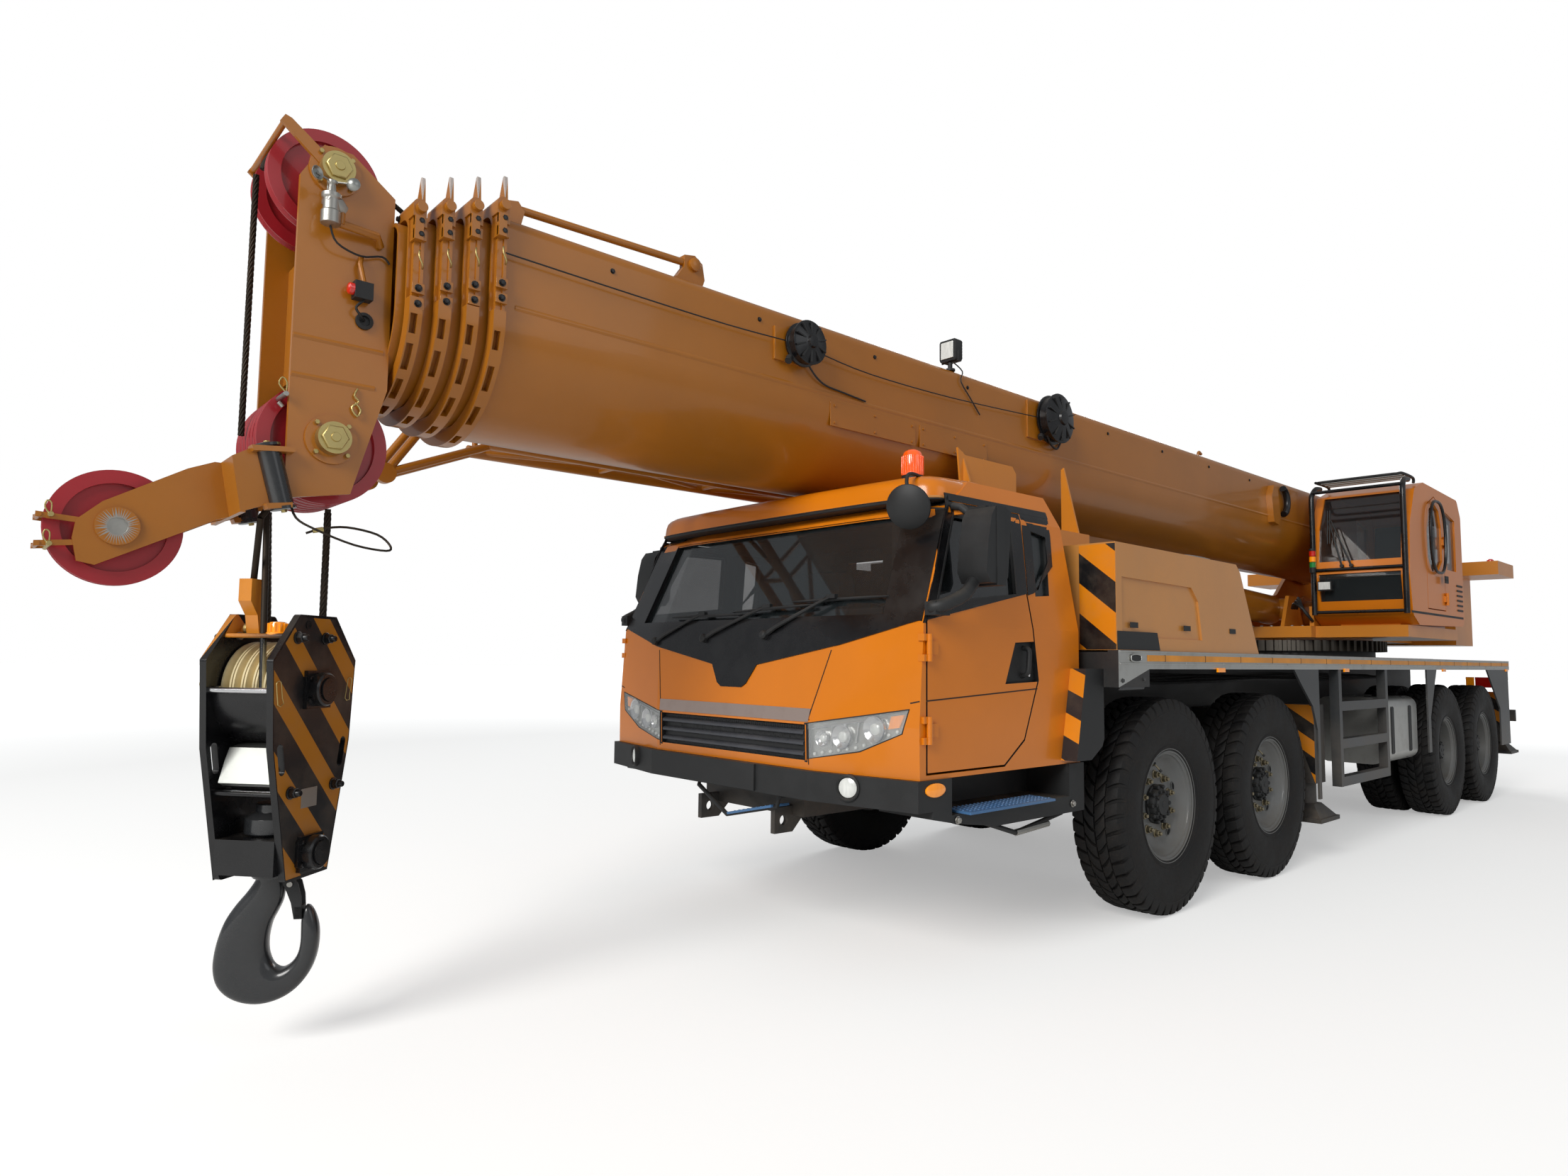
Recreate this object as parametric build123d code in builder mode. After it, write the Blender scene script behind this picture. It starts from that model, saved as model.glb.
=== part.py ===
from build123d import *
import math
import os

# Four-axle truck crane with a five-section telescopic boom, stowed for travel.
# Millimetres. +X is forward, +Y left, +Z up, and the wheels stand on Z = 0.
# The origin lies on the ground under the middle of the crane's length.

SIDES = (("left", 1), ("right", -1))
CLEAR = 0.3  # what a sliding or turning fit leaves free
SHUT_GAP = 10  # round a door or a lid

# Wheels and axles
AXLE_1_X = 2080
AXLE_GAPS = (1450, 4130, 1400)
TYRE_RADIUS = 613
TYRE_HALF_WIDTH = 156.5
TREAD_HALF_WIDTH = 138
BEAD_RADIUS = 310
BEAD_HALF_WIDTH = 104
BULGE_RADIUS = 455
RIM_FLANGE_RADIUS = 330
RIM_FLANGE_HALF = 128
RIM_WALL = 14
DISC_THICK = 14
DISC_OFFSET = 30  # of the front discs, outward from the tyre's middle
HUB_RADIUS = 118
HUB_REACH = 62  # of the hub past the disc
DRUM_RADIUS = 205
DRUM_DEPTH = 150
SPINDLE_RADIUS = 55
OVERALL_HALF = 1375  # half the width over the deck rails
SINGLE_Y = OVERALL_HALF - 223
TWIN_SPACING = 350
TWIN_MIDDLE_Y = OVERALL_HALF - 337.5
KINGPIN_Y = SINGLE_Y - 222
KINGPIN_RADIUS = 26
KNUCKLE_EYE_RADIUS = 58
KNUCKLE_EYE_HALF = 80
KNUCKLE_EAR = 34
AXLE_BEAM_HALF = 60
AXLE_TUBE_RADIUS = 78
DIFF_RADIUS = 180
SPRING_LENGTH = 1120
SPRING_WIDTH = 90
SPRING_THICK = 70

# Chassis
FRAME_HALF = 400
FRAME_TOP = 1390
FRAME_BOTTOM = 800
FRAME_WALL = 14
FRAME_FRONT_X = 2700
NOSE_FRONT_X = 4120
NOSE_TOP = 930
NOSE_BOTTOM = 640
TAIL_X = -7120
TAIL_TOP = 1080
TAIL_BOTTOM = 700
TOW_X = 4180
TOW_Y = 285
TOW_Z = 622
TOW_BORE = 26
DECK_TOP = 1489
DECK_PLATE = 12
DECK_FRONT_X = 2810
DECK_REAR_X = -6060
RAIL_HALF = OVERALL_HALF
RAIL_HEIGHT = 99
RAIL_WIDTH = 60

# Outriggers
BEAM_WIDTH = 170
BEAM_HEIGHT = 230
BEAM_PITCH = 194  # between the left and the right beam of a pair
BEAM_PLAY = 6
HOUSING_WALL = 12
HOUSING_BOTTOM = 818
JACK_Y = OVERALL_HALF - 175
HOUSING_HALF = JACK_Y - 110
JACK_HALF = 100
JACK_TOP = 1130
JACK_BOTTOM = 560
JACK_ROD_RADIUS = 66
PAD_HALF = 190
PAD_THICK = 30
PAD_CONE = 90
BEAM_INNER_END = 1040  # past the middle, on the other side
PAIRS = (
    # name, X of the left beam, underside of the pad
    ("front", -235, 290),
    ("rear", -6250, 430),
)

# Carrier cab: outlines in plan at four heights
CAB_WALL = 45
CAB_REAR_X = 2900
CAB_LEVELS = (
    # height, rear X, side Y, X at the corner, X at the front, half width of the front
    (905, 2900, 1200, 4192, 4293, 640),
    (1130, 2900, 1200, 4195, 4300, 640),
    (1585, 2900, 1200, 4165, 4225, 740),
    (2130, 2985, 1150, 3935, 3985, 760),
    (2290, 3050, 1090, 3700, 3740, 700),
)
CAB_FLOOR = 960
GLASS_THICK = 6
GLASS_INSET = 18
DOOR_OUTLINE = (
    # X, Z, clockwise from the lower front corner
    (4150, 925),
    (4150, 1595),
    (3930, 2165),
    (3350, 2165),
    (3345, 1758),
    (3275, 1330),
    (3400, 1040),
    (3570, 925),
)
DOOR_WINDOW = ((4070, 1680), (3905, 2095), (3440, 2095), (3440, 1745))
QUARTER_WINDOW = ((3275, 1750), (3275, 2090), (3130, 2070), (3150, 1760))
WINDSCREEN_OUTLINE = ((-980, 1620), (980, 1620), (920, 2105), (-920, 2105))
CAB_FRONT_CUT_X = 3780
RECESS_DEPTH = 28
GRILLE_OUTLINE = ((-590, 948), (590, 948), (590, 1116), (-590, 1116))
HEADLAMP_OUTLINE = ((606, 955), (606, 1125), (1150, 1212), (1118, 1100), (900, 1008))
HANDLE_OUTLINE = ((3475, 1515), (3275, 1525), (3263, 1325), (3560, 1315))
HINGE_RADIUS = 9
HINGE_BARREL = 16
DOOR_HINGE_Z = (1120, 1480)

# Deck boxes and underdeck pieces
HOOD_FRONT_X = 2800
HOOD_REAR_X = 980
HOOD_TOP_REAR_X = 1300
HOOD_TOP = 2060
HOOD_HALF = RAIL_HALF - 13
HOOD_INNER = 720
HOOD_CREASE_X = 1930
HOOD_CREASE_Z = 1878
ENGINE_FRONT_X = 2650
ENGINE_REAR_X = 1150
ENGINE_TOP = 2080
ENGINE_HALF = 520
TANK_FRONT_X = -1690
TANK_REAR_X = -2690
TANK_BOTTOM = 590
TANK_TOP = 1150
TANK_INNER = 800
STEP_DEPTH = 65

# Slewing ring and turntable
SLEW_X = -3320
RING_RADIUS = 880
RING_TEETH = 72
TOOTH_HEIGHT = 34
RING_BOTTOM = 1560
RING_TOP = 1665
PEDESTAL_RADIUS = 780
TURN_BOTTOM = 1690
TURN_TOP = 1800
TURN_PLATE = 40
TURN_INNER = 470
FOOT_X = -5120
FOOT_Z = 2600
FOOT_PIN = 75
CYL_FOOT_X = -2820
CYL_FOOT_Z = 1985
CYL_EYE_X = 880
CYL_EYE_Z = 2150
CYL_PIN = 55
BARREL_RADIUS = 150
ROD_RADIUS = 105
WING_FRONT_X = -5760
WING_REAR_X = -6530
WING_HALF = OVERALL_HALF
WING_BOTTOM = 2475
WING_TOP = 2630
WEIGHT_HALF = 950

# Operator's cab
BOOTH_FRONT_X = -2480
BOOTH_REAR_X = -4320
BOOTH_INNER = 520
BOOTH_OUTER = 1345
BOOTH_BOTTOM = 1830
BOOTH_TOP = 3160
BOOTH_WALL = 40
BOOTH_BEND = 80

# Boom: section 1 is the outermost
BOOM_HALF = 420
BOOM_TOP = 3170
BOOM_BOTTOM = 2345
SECTION_STEP_Y = 30
SECTION_STEP_Z = 25
KNEE_SHARE = 0.48  # of a section's depth that is round
BEND_RADIUS = 55
BOOM_WALL = 12
COLLAR_X = 5795
COLLAR_PITCH = 96
COLLAR_LENGTH = 50
FLANGE_RISE = 28
FLANGE_THICK = 12
BAR_RISE = 20
BAR_LENGTH = 36
LUG_RISE = 42
LUG_TOP_Z = 2760
POCKET_WIDTH = 26
POCKETS = (
    # angle below the knee, length of the pocket between two lugs
    (13, 74),
    (33, 105),
    (56, 105),
    (79, 80),
)
CAP_RISE = 45  # of the rounded blocks over a section's top
CAP_WIDTH = 110
FIN_HEIGHT = 148
FIN_WIDTH = 86
HEAD_REAR_X = 6155
HEAD_HALF = 235
HEAD_PLATE = 20
HEAD_TOP = 3175
HEAD_TOP_PIN_X = 6375
HEAD_TOP_PIN_Z = 3200
HEAD_TOP_SHEAVE = 200
HEAD_LOW_PIN_X = 6345
HEAD_LOW_PIN_Z = 2200
HEAD_LOW_SHEAVE = 225
HEAD_LOW_REAR_X = 6270
HEAD_FRONT_X = 6490
HEAD_FOOT_Z = 1970
HEAD_CREST_Z = 3290
HEAD_PIN_RADIUS = 42
HEAD_CAP_RADIUS = 58
HEAD_BOSS_RADIUS = 90
SHEAVE_WIDTH = 46
SHEAVE_PITCH = 52
GROOVE_DEPTH = 24
RIM_THICK = 7
WEB_THICK = 16
AUX_PIN_X = 6944
AUX_PIN_Z = 1838
AUX_RADIUS = 194
AUX_PIN_RADIUS = 43
AUX_PIN_BORE = 29
AUX_PLATE_Y = 50  # half the room between the two arm plates
AUX_PLATE = 14
AUX_HINGE_TOP = (6547, 2138)
AUX_HINGE_FOOT = (6494, 1942)
AUX_HINGE_RADIUS = 38
GUARD_X = 7150
HEAD_GUARD = (6548, 3328)  # the rope guard's bar over the upper sheaves
JIB_WIDTH = 250
JIB_Y = -790
JIB_REAR_X = -700
JIB_FRONT_X = 5350
JIB_LOW = 2500
JIB_HEIGHT = 560
JIB_TUBE = 32
JIB_LACING = 15
JIB_BAYS = 8
JIB_NOSE_X = 5850
JIB_NOSE_Z = 2275

# Hook block, hanging plumb below the lower head sheaves
HOOK_TURN = 40
HOOK_FACE = 110  # from the block's plates to the hook's flat side
BLOCK_X = 6410
BLOCK_OUTLINE = (
    # half width, height
    (105, 1564),
    (239, 1399),
    (217, 1090),
    (118, 618),
)
BLOCK_GAP = 230
BLOCK_PLATE = 25
BLOCK_PIN_Z = 1293
BLOCK_PIN_RADIUS = 42
BLOCK_SHEAVES = 5
BLOCK_PITCH = 44
BLOCK_SHEAVE_WIDTH = 40
BLOCK_SHEAVE_RADIUS = 172
BLOCK_ROD_RADIUS = 9
BEAM_HALF_LENGTH = 150
BEAM_LOW = 645
BEAM_HIGH = 768
SLOT_X = 172
SLOT_Z = 1052
SHANK_RADIUS = 46
HOOK_Z = 360
HOOK_RADIUS = 175
HOOK_THICK = 92
THROAT_X = 63
THROAT_Z = 352
THROAT_RADIUS = 52
FALL_RADIUS = 11
DEAD_END_Y = 172
DEAD_END = (6545, DEAD_END_Y, 1900)

AXLE_X = [AXLE_1_X - sum(AXLE_GAPS[:n]) for n in range(4)]
WHEEL_Z = TYRE_RADIUS
DECK_BOTTOM = DECK_TOP - RAIL_HEIGHT


def block(x0, x1, y0, y1, z0, z1, mode=Mode.ADD):
    """A box between two values on each axis."""
    with Locations(((x0 + x1) / 2, (y0 + y1) / 2, (z0 + z1) / 2)):
        Box(abs(x1 - x0), abs(y1 - y0), abs(z1 - z0), mode=mode)


def side_plate(outline, y0, y1, mode=Mode.ADD):
    """A plate with its outline in X and Z, between two values of Y."""
    with BuildSketch(Plane.XZ.offset(-max(y0, y1))) as face:
        Polygon(*outline, align=None)
    extrude(face.sketch, amount=abs(y1 - y0), mode=mode)


def rod(start, end, radius, mode=Mode.ADD):
    """A round bar from one point to another."""
    path = Vector(*end) - Vector(*start)
    with Locations(Plane(origin=start, z_dir=path)):
        Cylinder(radius, path.length, align=(Align.CENTER, Align.CENTER, Align.MIN), mode=mode)


def turned(outline, centre, side, mode=Mode.ADD):
    """A ring about the Y axis through centre; outline is (outward offset, radius)."""
    with BuildSketch(Plane(origin=centre, x_dir=(0, side, 0), z_dir=(side, 0, 0))) as face:
        Polygon(*outline, align=None)
    revolve(face.sketch, axis=Axis(centre, (0, 1, 0)), mode=mode)


def section_size(number, inset=0):
    """Half width, top and bottom of a boom section, moved inward."""
    n = number - 1
    return (BOOM_HALF - n * SECTION_STEP_Y - inset, BOOM_TOP - n * SECTION_STEP_Z - inset,
            BOOM_BOTTOM + n * SECTION_STEP_Z + inset)


def section_knee(half, top, bottom):
    """The height at which the straight sides turn into the round belly."""
    return bottom + KNEE_SHARE * (top - bottom)


def section_face(x, half, top, bottom, cut=None):
    """A section's U shape across the boom, with straight sides over a round belly."""
    knee = section_knee(half, top, bottom)
    bend = BEND_RADIUS * (1 - math.sqrt(0.5))
    with BuildSketch(Plane.YZ.offset(x)) as face:
        with BuildLine():
            Line((half, knee), (half, top - BEND_RADIUS))
            ThreePointArc((half, top - BEND_RADIUS), (half - bend, top - bend),
                          (half - BEND_RADIUS, top))
            Line((half - BEND_RADIUS, top), (BEND_RADIUS - half, top))
            ThreePointArc((BEND_RADIUS - half, top), (bend - half, top - bend),
                          (-half, top - BEND_RADIUS))
            Line((-half, top - BEND_RADIUS), (-half, knee))
            EllipticalCenterArc((0, knee), half, knee - bottom, start_angle=180, arc_size=180)
        make_face()
        if cut:
            with Locations((0, cut)):
                Rectangle(3 * half, top, align=(Align.CENTER, Align.MIN), mode=Mode.SUBTRACT)
    return face.sketch


def section_solid(size, x0, x1, mode=Mode.ADD, cut=None):
    extrude(section_face(x0, *size, cut), amount=x1 - x0, mode=mode)


def sheave(centre, radius, width, bore):
    """A grooved rope wheel about the Y axis, with a hub, a web and a rim."""
    half, web = width / 2, WEB_THICK / 2
    rim = radius - GROOVE_DEPTH - RIM_THICK - 14
    hub = bore + 26
    outline = ((-half, bore), (-half, hub), (-web, hub), (-web, rim), (-half, rim), (-half, radius),
               (RIM_THICK - half, radius), (-4, radius - GROOVE_DEPTH), (4, radius - GROOVE_DEPTH),
               (half - RIM_THICK, radius), (half, radius), (half, rim), (web, rim), (web, hub),
               (half, hub), (half, bore))
    turned(outline, centre, 1)


def save(piece, name):
    piece.part.label = name
    export_step(piece.part, f"parts/{name}.step")


os.makedirs("parts", exist_ok=True)

# ---------------------------------------------------------------- wheels
TYRE_OUTLINE = (
    (-BEAD_HALF_WIDTH, BEAD_RADIUS),
    (-TYRE_HALF_WIDTH, BULGE_RADIUS),
    (-TREAD_HALF_WIDTH, TYRE_RADIUS),
    (TREAD_HALF_WIDTH, TYRE_RADIUS),
    (TYRE_HALF_WIDTH, BULGE_RADIUS),
    (BEAD_HALF_WIDTH, BEAD_RADIUS),
)
RIM_OUTLINE = (
    (-RIM_FLANGE_HALF, RIM_FLANGE_RADIUS),
    (-BEAD_HALF_WIDTH, BEAD_RADIUS - CLEAR),
    (BEAD_HALF_WIDTH, BEAD_RADIUS - CLEAR),
    (RIM_FLANGE_HALF, RIM_FLANGE_RADIUS),
    (BEAD_HALF_WIDTH, BEAD_RADIUS - RIM_WALL),
    (-BEAD_HALF_WIDTH, BEAD_RADIUS - RIM_WALL),
)


def wheel(number, name, side):
    """The tyre or tyres and the rim or rims of one hub."""
    x = AXLE_X[number - 1]
    twin = number > 2
    offsets = (-TWIN_SPACING / 2, TWIN_SPACING / 2) if twin else (0,)
    middle = TWIN_MIDDLE_Y if twin else SINGLE_Y
    disc = 0 if twin else DISC_OFFSET
    with BuildPart() as tyre:
        for offset in offsets:
            turned(TYRE_OUTLINE, (x, side * (middle + offset), WHEEL_Z), side)
    save(tyre, f"tyre_{number}_{name}")

    centre = (x, side * (middle + disc), WHEEL_Z)
    with BuildPart() as rim:
        for offset in offsets:
            turned(RIM_OUTLINE, (x, side * (middle + offset), WHEEL_Z), side)
        reach = TWIN_SPACING / 2 - BEAD_HALF_WIDTH + 20 if twin else DISC_THICK / 2
        turned(
            (
                (-reach, BEAD_RADIUS - RIM_WALL),
                (-DISC_THICK / 2, HUB_RADIUS + 70),
                (-DISC_THICK / 2, SPINDLE_RADIUS + 30),
                (DISC_THICK / 2, SPINDLE_RADIUS + 30),
                (DISC_THICK / 2, HUB_RADIUS + 70),
                (reach, BEAD_RADIUS - RIM_WALL),
            ),
            centre,
            side,
        )
        turned(
            (
                (-DRUM_DEPTH, SPINDLE_RADIUS + CLEAR),
                (-DRUM_DEPTH, DRUM_RADIUS),
                (-DISC_THICK / 2, DRUM_RADIUS),
                (-DISC_THICK / 2, HUB_RADIUS),
                (HUB_REACH, HUB_RADIUS),
                (HUB_REACH, 0),
                (HUB_REACH - 20, 0),
                (HUB_REACH - 20, SPINDLE_RADIUS + CLEAR),
            ),
            centre,
            side,
        )
    save(rim, f"rim_{number}_{name}")


for number in (1, 2, 3, 4):
    for name, side in SIDES:
        wheel(number, name, side)

# ---------------------------------------------------------------- steering knuckles
HUB_END_Y = SINGLE_Y + DISC_OFFSET + HUB_REACH - 20
BACK_PLATE_Y = KINGPIN_Y + KNUCKLE_EYE_RADIUS + 6
for number in (1, 2):
    for name, side in SIDES:
        x = AXLE_X[number - 1]
        with BuildPart() as knuckle:
            low = WHEEL_Z - KNUCKLE_EYE_HALF - CLEAR
            high = WHEEL_Z + KNUCKLE_EYE_HALF + CLEAR
            for z0, z1 in ((low - KNUCKLE_EAR, low), (high, high + KNUCKLE_EAR)):
                rod((x, side * KINGPIN_Y, z0), (x, side * KINGPIN_Y, z1), KNUCKLE_EYE_RADIUS - 8)
                block(x - 45, x + 45, side * KINGPIN_Y, side * (BACK_PLATE_Y + 25), z0, z1)
            block(
                x - 60, x + 60, side * BACK_PLATE_Y, side * (BACK_PLATE_Y + 25),
                low - KNUCKLE_EAR, high + KNUCKLE_EAR,
            )
            rod((x, side * KINGPIN_Y, low - 5), (x, side * KINGPIN_Y, high + 5), KINGPIN_RADIUS)
            rod(
                (x, side * (BACK_PLATE_Y + 10), WHEEL_Z),
                (x, side * (HUB_END_Y - CLEAR), WHEEL_Z),
                SPINDLE_RADIUS,
            )
        save(knuckle, f"knuckle_{number}_{name}")

# ---------------------------------------------------------------- axles on their springs
DRUM_INNER_Y = TWIN_MIDDLE_Y - DRUM_DEPTH
TWIN_END_Y = TWIN_MIDDLE_Y + HUB_REACH - 20
SPRING_Y = FRAME_HALF + SPRING_WIDTH
with BuildPart() as axles:
    for number, x in enumerate(AXLE_X, 1):
        top = WHEEL_Z + AXLE_BEAM_HALF + 10
        if number <= 2:
            end = KINGPIN_Y - KNUCKLE_EYE_RADIUS + 12
            block(x - AXLE_BEAM_HALF, x + AXLE_BEAM_HALF, -end, end, WHEEL_Z - 70, top)
            for name, side in SIDES:
                y = side * KINGPIN_Y
                z0, z1 = WHEEL_Z - KNUCKLE_EYE_HALF, WHEEL_Z + KNUCKLE_EYE_HALF
                rod((x, y, z0), (x, y, z1), KNUCKLE_EYE_RADIUS)
                rod((x, y, z0), (x, y, z1), KINGPIN_RADIUS + CLEAR, Mode.SUBTRACT)
        else:
            ends = ((-TWIN_END_Y + CLEAR, SPINDLE_RADIUS), (-DRUM_INNER_Y + 6, AXLE_TUBE_RADIUS))
            for y, radius in ends:
                rod((x, y, WHEEL_Z), (x, -y, WHEEL_Z), radius)
            with Locations((x, 0, WHEEL_Z)):
                Sphere(DIFF_RADIUS)
        for name, side in SIDES:
            y0, y1 = side * FRAME_HALF, side * SPRING_Y
            half = SPRING_LENGTH / 2
            block(x - half, x + half, y0, y1, top, top + SPRING_THICK)
            block(x - 70, x + 70, y0, y1, WHEEL_Z, top + SPRING_THICK)
            for end in (-half, half - 60):
                block(x + end, x + end + 60, y0, y1, top, FRAME_BOTTOM + 120)
save(axles, "axles")

# ---------------------------------------------------------------- chassis frame
CELL = BEAM_WIDTH + 2 * BEAM_PLAY
HOUSING_TOP = HOUSING_BOTTOM + 2 * HOUSING_WALL + BEAM_HEIGHT + BEAM_PLAY
BEAM_Z0 = HOUSING_BOTTOM + HOUSING_WALL + CLEAR


def pair_beams(x_left):
    """X of the middle of the left and the right beam of a pair."""
    return {"left": x_left, "right": x_left - BEAM_PITCH}


with BuildPart() as frame:
    block(DECK_REAR_X, FRAME_FRONT_X, -FRAME_HALF, FRAME_HALF, FRAME_BOTTOM, FRAME_TOP)
    block(FRAME_FRONT_X - 300, NOSE_FRONT_X, -FRAME_HALF, FRAME_HALF, NOSE_BOTTOM, NOSE_TOP)
    block(TAIL_X + 60, DECK_REAR_X + 10, -FRAME_HALF, FRAME_HALF, TAIL_BOTTOM, TAIL_TOP)
    block(TAIL_X, TAIL_X + 60, -1230, 1230, 760, 900)
    w = FRAME_WALL
    inner = FRAME_HALF - w
    block(DECK_REAR_X + w, FRAME_FRONT_X - w, -inner, inner, FRAME_BOTTOM + w, FRAME_TOP - w,
          Mode.SUBTRACT)
    block(FRAME_FRONT_X - 300 + w, NOSE_FRONT_X - w, -inner, inner, NOSE_BOTTOM + w, NOSE_TOP - w,
          Mode.SUBTRACT)
    block(TAIL_X + 60 + w, DECK_REAR_X, -inner, inner, TAIL_BOTTOM + w, TAIL_TOP - w, Mode.SUBTRACT)
    for pair, x_left, pad_z in PAIRS:
        xs = pair_beams(x_left)
        x0 = xs["right"] - CELL / 2 - HOUSING_WALL
        x1 = xs["left"] + CELL / 2 + HOUSING_WALL
        block(x0, x1, -HOUSING_HALF, HOUSING_HALF, HOUSING_BOTTOM, HOUSING_TOP)
        for x in xs.values():
            block(x - CELL / 2, x + CELL / 2, -HOUSING_HALF - 1, HOUSING_HALF + 1,
                  HOUSING_BOTTOM + HOUSING_WALL, HOUSING_TOP - HOUSING_WALL, Mode.SUBTRACT)
    for name, side in SIDES:
        side_plate(((4040, 640), (4120, 560), (4240, 560), (4240, 688), (4040, 688)),
                   side * TOW_Y, side * (TOW_Y + 30))
    rod((TOW_X, -500, TOW_Z), (TOW_X, 500, TOW_Z), TOW_BORE, Mode.SUBTRACT)
    with Locations((SLEW_X, 0, FRAME_TOP)):
        Cylinder(PEDESTAL_RADIUS, RING_BOTTOM - FRAME_TOP,
                 align=(Align.CENTER, Align.CENTER, Align.MIN))
save(frame, "chassis_frame")

# ---------------------------------------------------------------- outriggers
for pair, x_left, pad_z in PAIRS:
    for name, side in SIDES:
        x = pair_beams(x_left)[name]
        with BuildPart() as beam:
            block(x - BEAM_WIDTH / 2, x + BEAM_WIDTH / 2, -side * BEAM_INNER_END,
                  side * (JACK_Y - JACK_HALF + 20), BEAM_Z0, BEAM_Z0 + BEAM_HEIGHT)
            block(x - JACK_HALF, x + JACK_HALF, side * (JACK_Y - JACK_HALF),
                  side * (JACK_Y + JACK_HALF), JACK_BOTTOM, JACK_TOP)
            rod((x, side * JACK_Y, JACK_BOTTOM), (x, side * JACK_Y, JACK_TOP - 40),
                JACK_ROD_RADIUS + CLEAR, Mode.SUBTRACT)
        save(beam, f"outrigger_{pair}_{name}")
        with BuildPart() as jack:
            y = side * JACK_Y
            rod((x, y, pad_z), (x, y, JACK_TOP - 60), JACK_ROD_RADIUS)
            block(x - PAD_HALF, x + PAD_HALF, y - PAD_HALF + 30, y + PAD_HALF - 30,
                  pad_z, pad_z + PAD_THICK)
            with BuildSketch(Plane.XY.offset(pad_z + PAD_THICK)):
                with Locations((x, y)):
                    Rectangle(2 * PAD_HALF - 40, 2 * PAD_HALF - 90)
            with BuildSketch(Plane.XY.offset(pad_z + PAD_THICK + PAD_CONE)):
                with Locations((x, y)):
                    Rectangle(150, 150)
            loft()
        save(jack, f"jack_{pair}_{name}")

# ---------------------------------------------------------------- deck and boom rest
REST_X = 1900
REST_FRONT_X = 2930
REST_Z = 2250
REST_PLAY = 45
GUIDE_TOP = 2705
with BuildPart() as deck:
    x0, x1 = DECK_REAR_X, DECK_FRONT_X
    block(x0, x1, -RAIL_HALF, RAIL_HALF, DECK_TOP - 10 - DECK_PLATE, DECK_TOP - 10)
    for name, side in SIDES:
        block(x0, x1, side * (RAIL_HALF - RAIL_WIDTH), side * RAIL_HALF, DECK_BOTTOM, DECK_TOP)
        block(DECK_FRONT_X - 330, DECK_FRONT_X, side * (RAIL_HALF - 130), side * RAIL_HALF,
              DECK_BOTTOM - 95, DECK_BOTTOM)
    count = 9
    step = (x1 - x0 - 60) / (count - 1)
    for n in range(count):
        x = x0 + n * step
        block(x, x + 60, -RAIL_HALF + 20, RAIL_HALF - 20, FRAME_TOP, DECK_TOP - 10 - DECK_PLATE)
    with Locations((SLEW_X, 0, FRAME_TOP)):
        Cylinder(PEDESTAL_RADIUS + 2, 300, align=(Align.CENTER, Align.CENTER, Align.CENTER),
                 mode=Mode.SUBTRACT)
    # boom rest: posts, side beams, a saddle cut to the boom and guides that flare outward
    x0, x1 = REST_X - 60, REST_FRONT_X
    guide_y = BOOM_HALF + REST_PLAY
    for name, side in SIDES:
        for x in (x0, x1 - 160):
            block(x, x + 120, side * 540, side * 660, DECK_TOP - 10, REST_Z - 100)
        block(x0, x1, side * guide_y, side * 660, REST_Z - 100, REST_Z)
        side_plate(
            ((x1 - 540, REST_Z - 1), (x1 - 540, 2600), (x1 - 500, 2641), (x1 - 20, 2640),
             (x1 + 50, 2677), (x1, REST_Z - 1)),
            side * guide_y, side * (guide_y + 12),
        )
        with BuildSketch(Plane.YZ.offset(x0)) as horn:
            Polygon((side * guide_y, REST_Z - 1), (side * guide_y, GUIDE_TOP),
                    (side * (guide_y + 20), GUIDE_TOP + 12), (side * (guide_y + 130), REST_Z - 1),
                    align=None)
        extrude(horn.sketch, amount=14)
        with BuildSketch(Plane.YZ.offset(x1 - 14)) as horn:
            Polygon((side * guide_y, REST_Z - 1), (side * guide_y, 2660), (side * (guide_y + 130), REST_Z - 1),
                    align=None)
        extrude(horn.sketch, amount=14)
    block(REST_X - 60, REST_X + 150, -660, 660, REST_Z - 100, REST_Z)
    block(REST_X - 40, REST_X + 130, -300, 300, REST_Z - 1, BOOM_BOTTOM + 110)
    section_solid(section_size(1, -CLEAR), REST_X - 100, REST_X + 200, Mode.SUBTRACT)
save(deck, "deck")

# ---------------------------------------------------------------- posts, step frame, tank
POSTS = (
    # outline in X and Z, clear of the steered tyres and of the jacks
    ((420, DECK_BOTTOM), (300, 1290), (90, 1130), (10, 960), (10, 470), (-38, 470),
     (-38, DECK_BOTTOM)),
    ((-2760, DECK_BOTTOM), (-2760, 640), (-2840, 640), (-2840, 960), (-3080, DECK_BOTTOM)),
    ((-5020, DECK_BOTTOM), (-5560, 960), (-5560, 560), (-5990, 560), (-5990, DECK_BOTTOM)),
)
with BuildPart() as posts:
    for name, side in SIDES:
        for outline in POSTS:
            side_plate(outline, side * (RAIL_HALF - 14), side * RAIL_HALF)
        jack_x = pair_beams(PAIRS[0][1])[name]
        x1 = jack_x - PAD_HALF - 20
        y0, y1 = side * (RAIL_HALF - STEP_DEPTH), side * RAIL_HALF
        for z in (520, 800, 1080):
            block(x1 - 1160, x1, y0, y1, z, z + 70)
        for x in (x1 - 60, x1 - 1160):
            block(x, x + 60, y0, y1, 520, DECK_BOTTOM)
save(posts, "side_frames")

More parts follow.
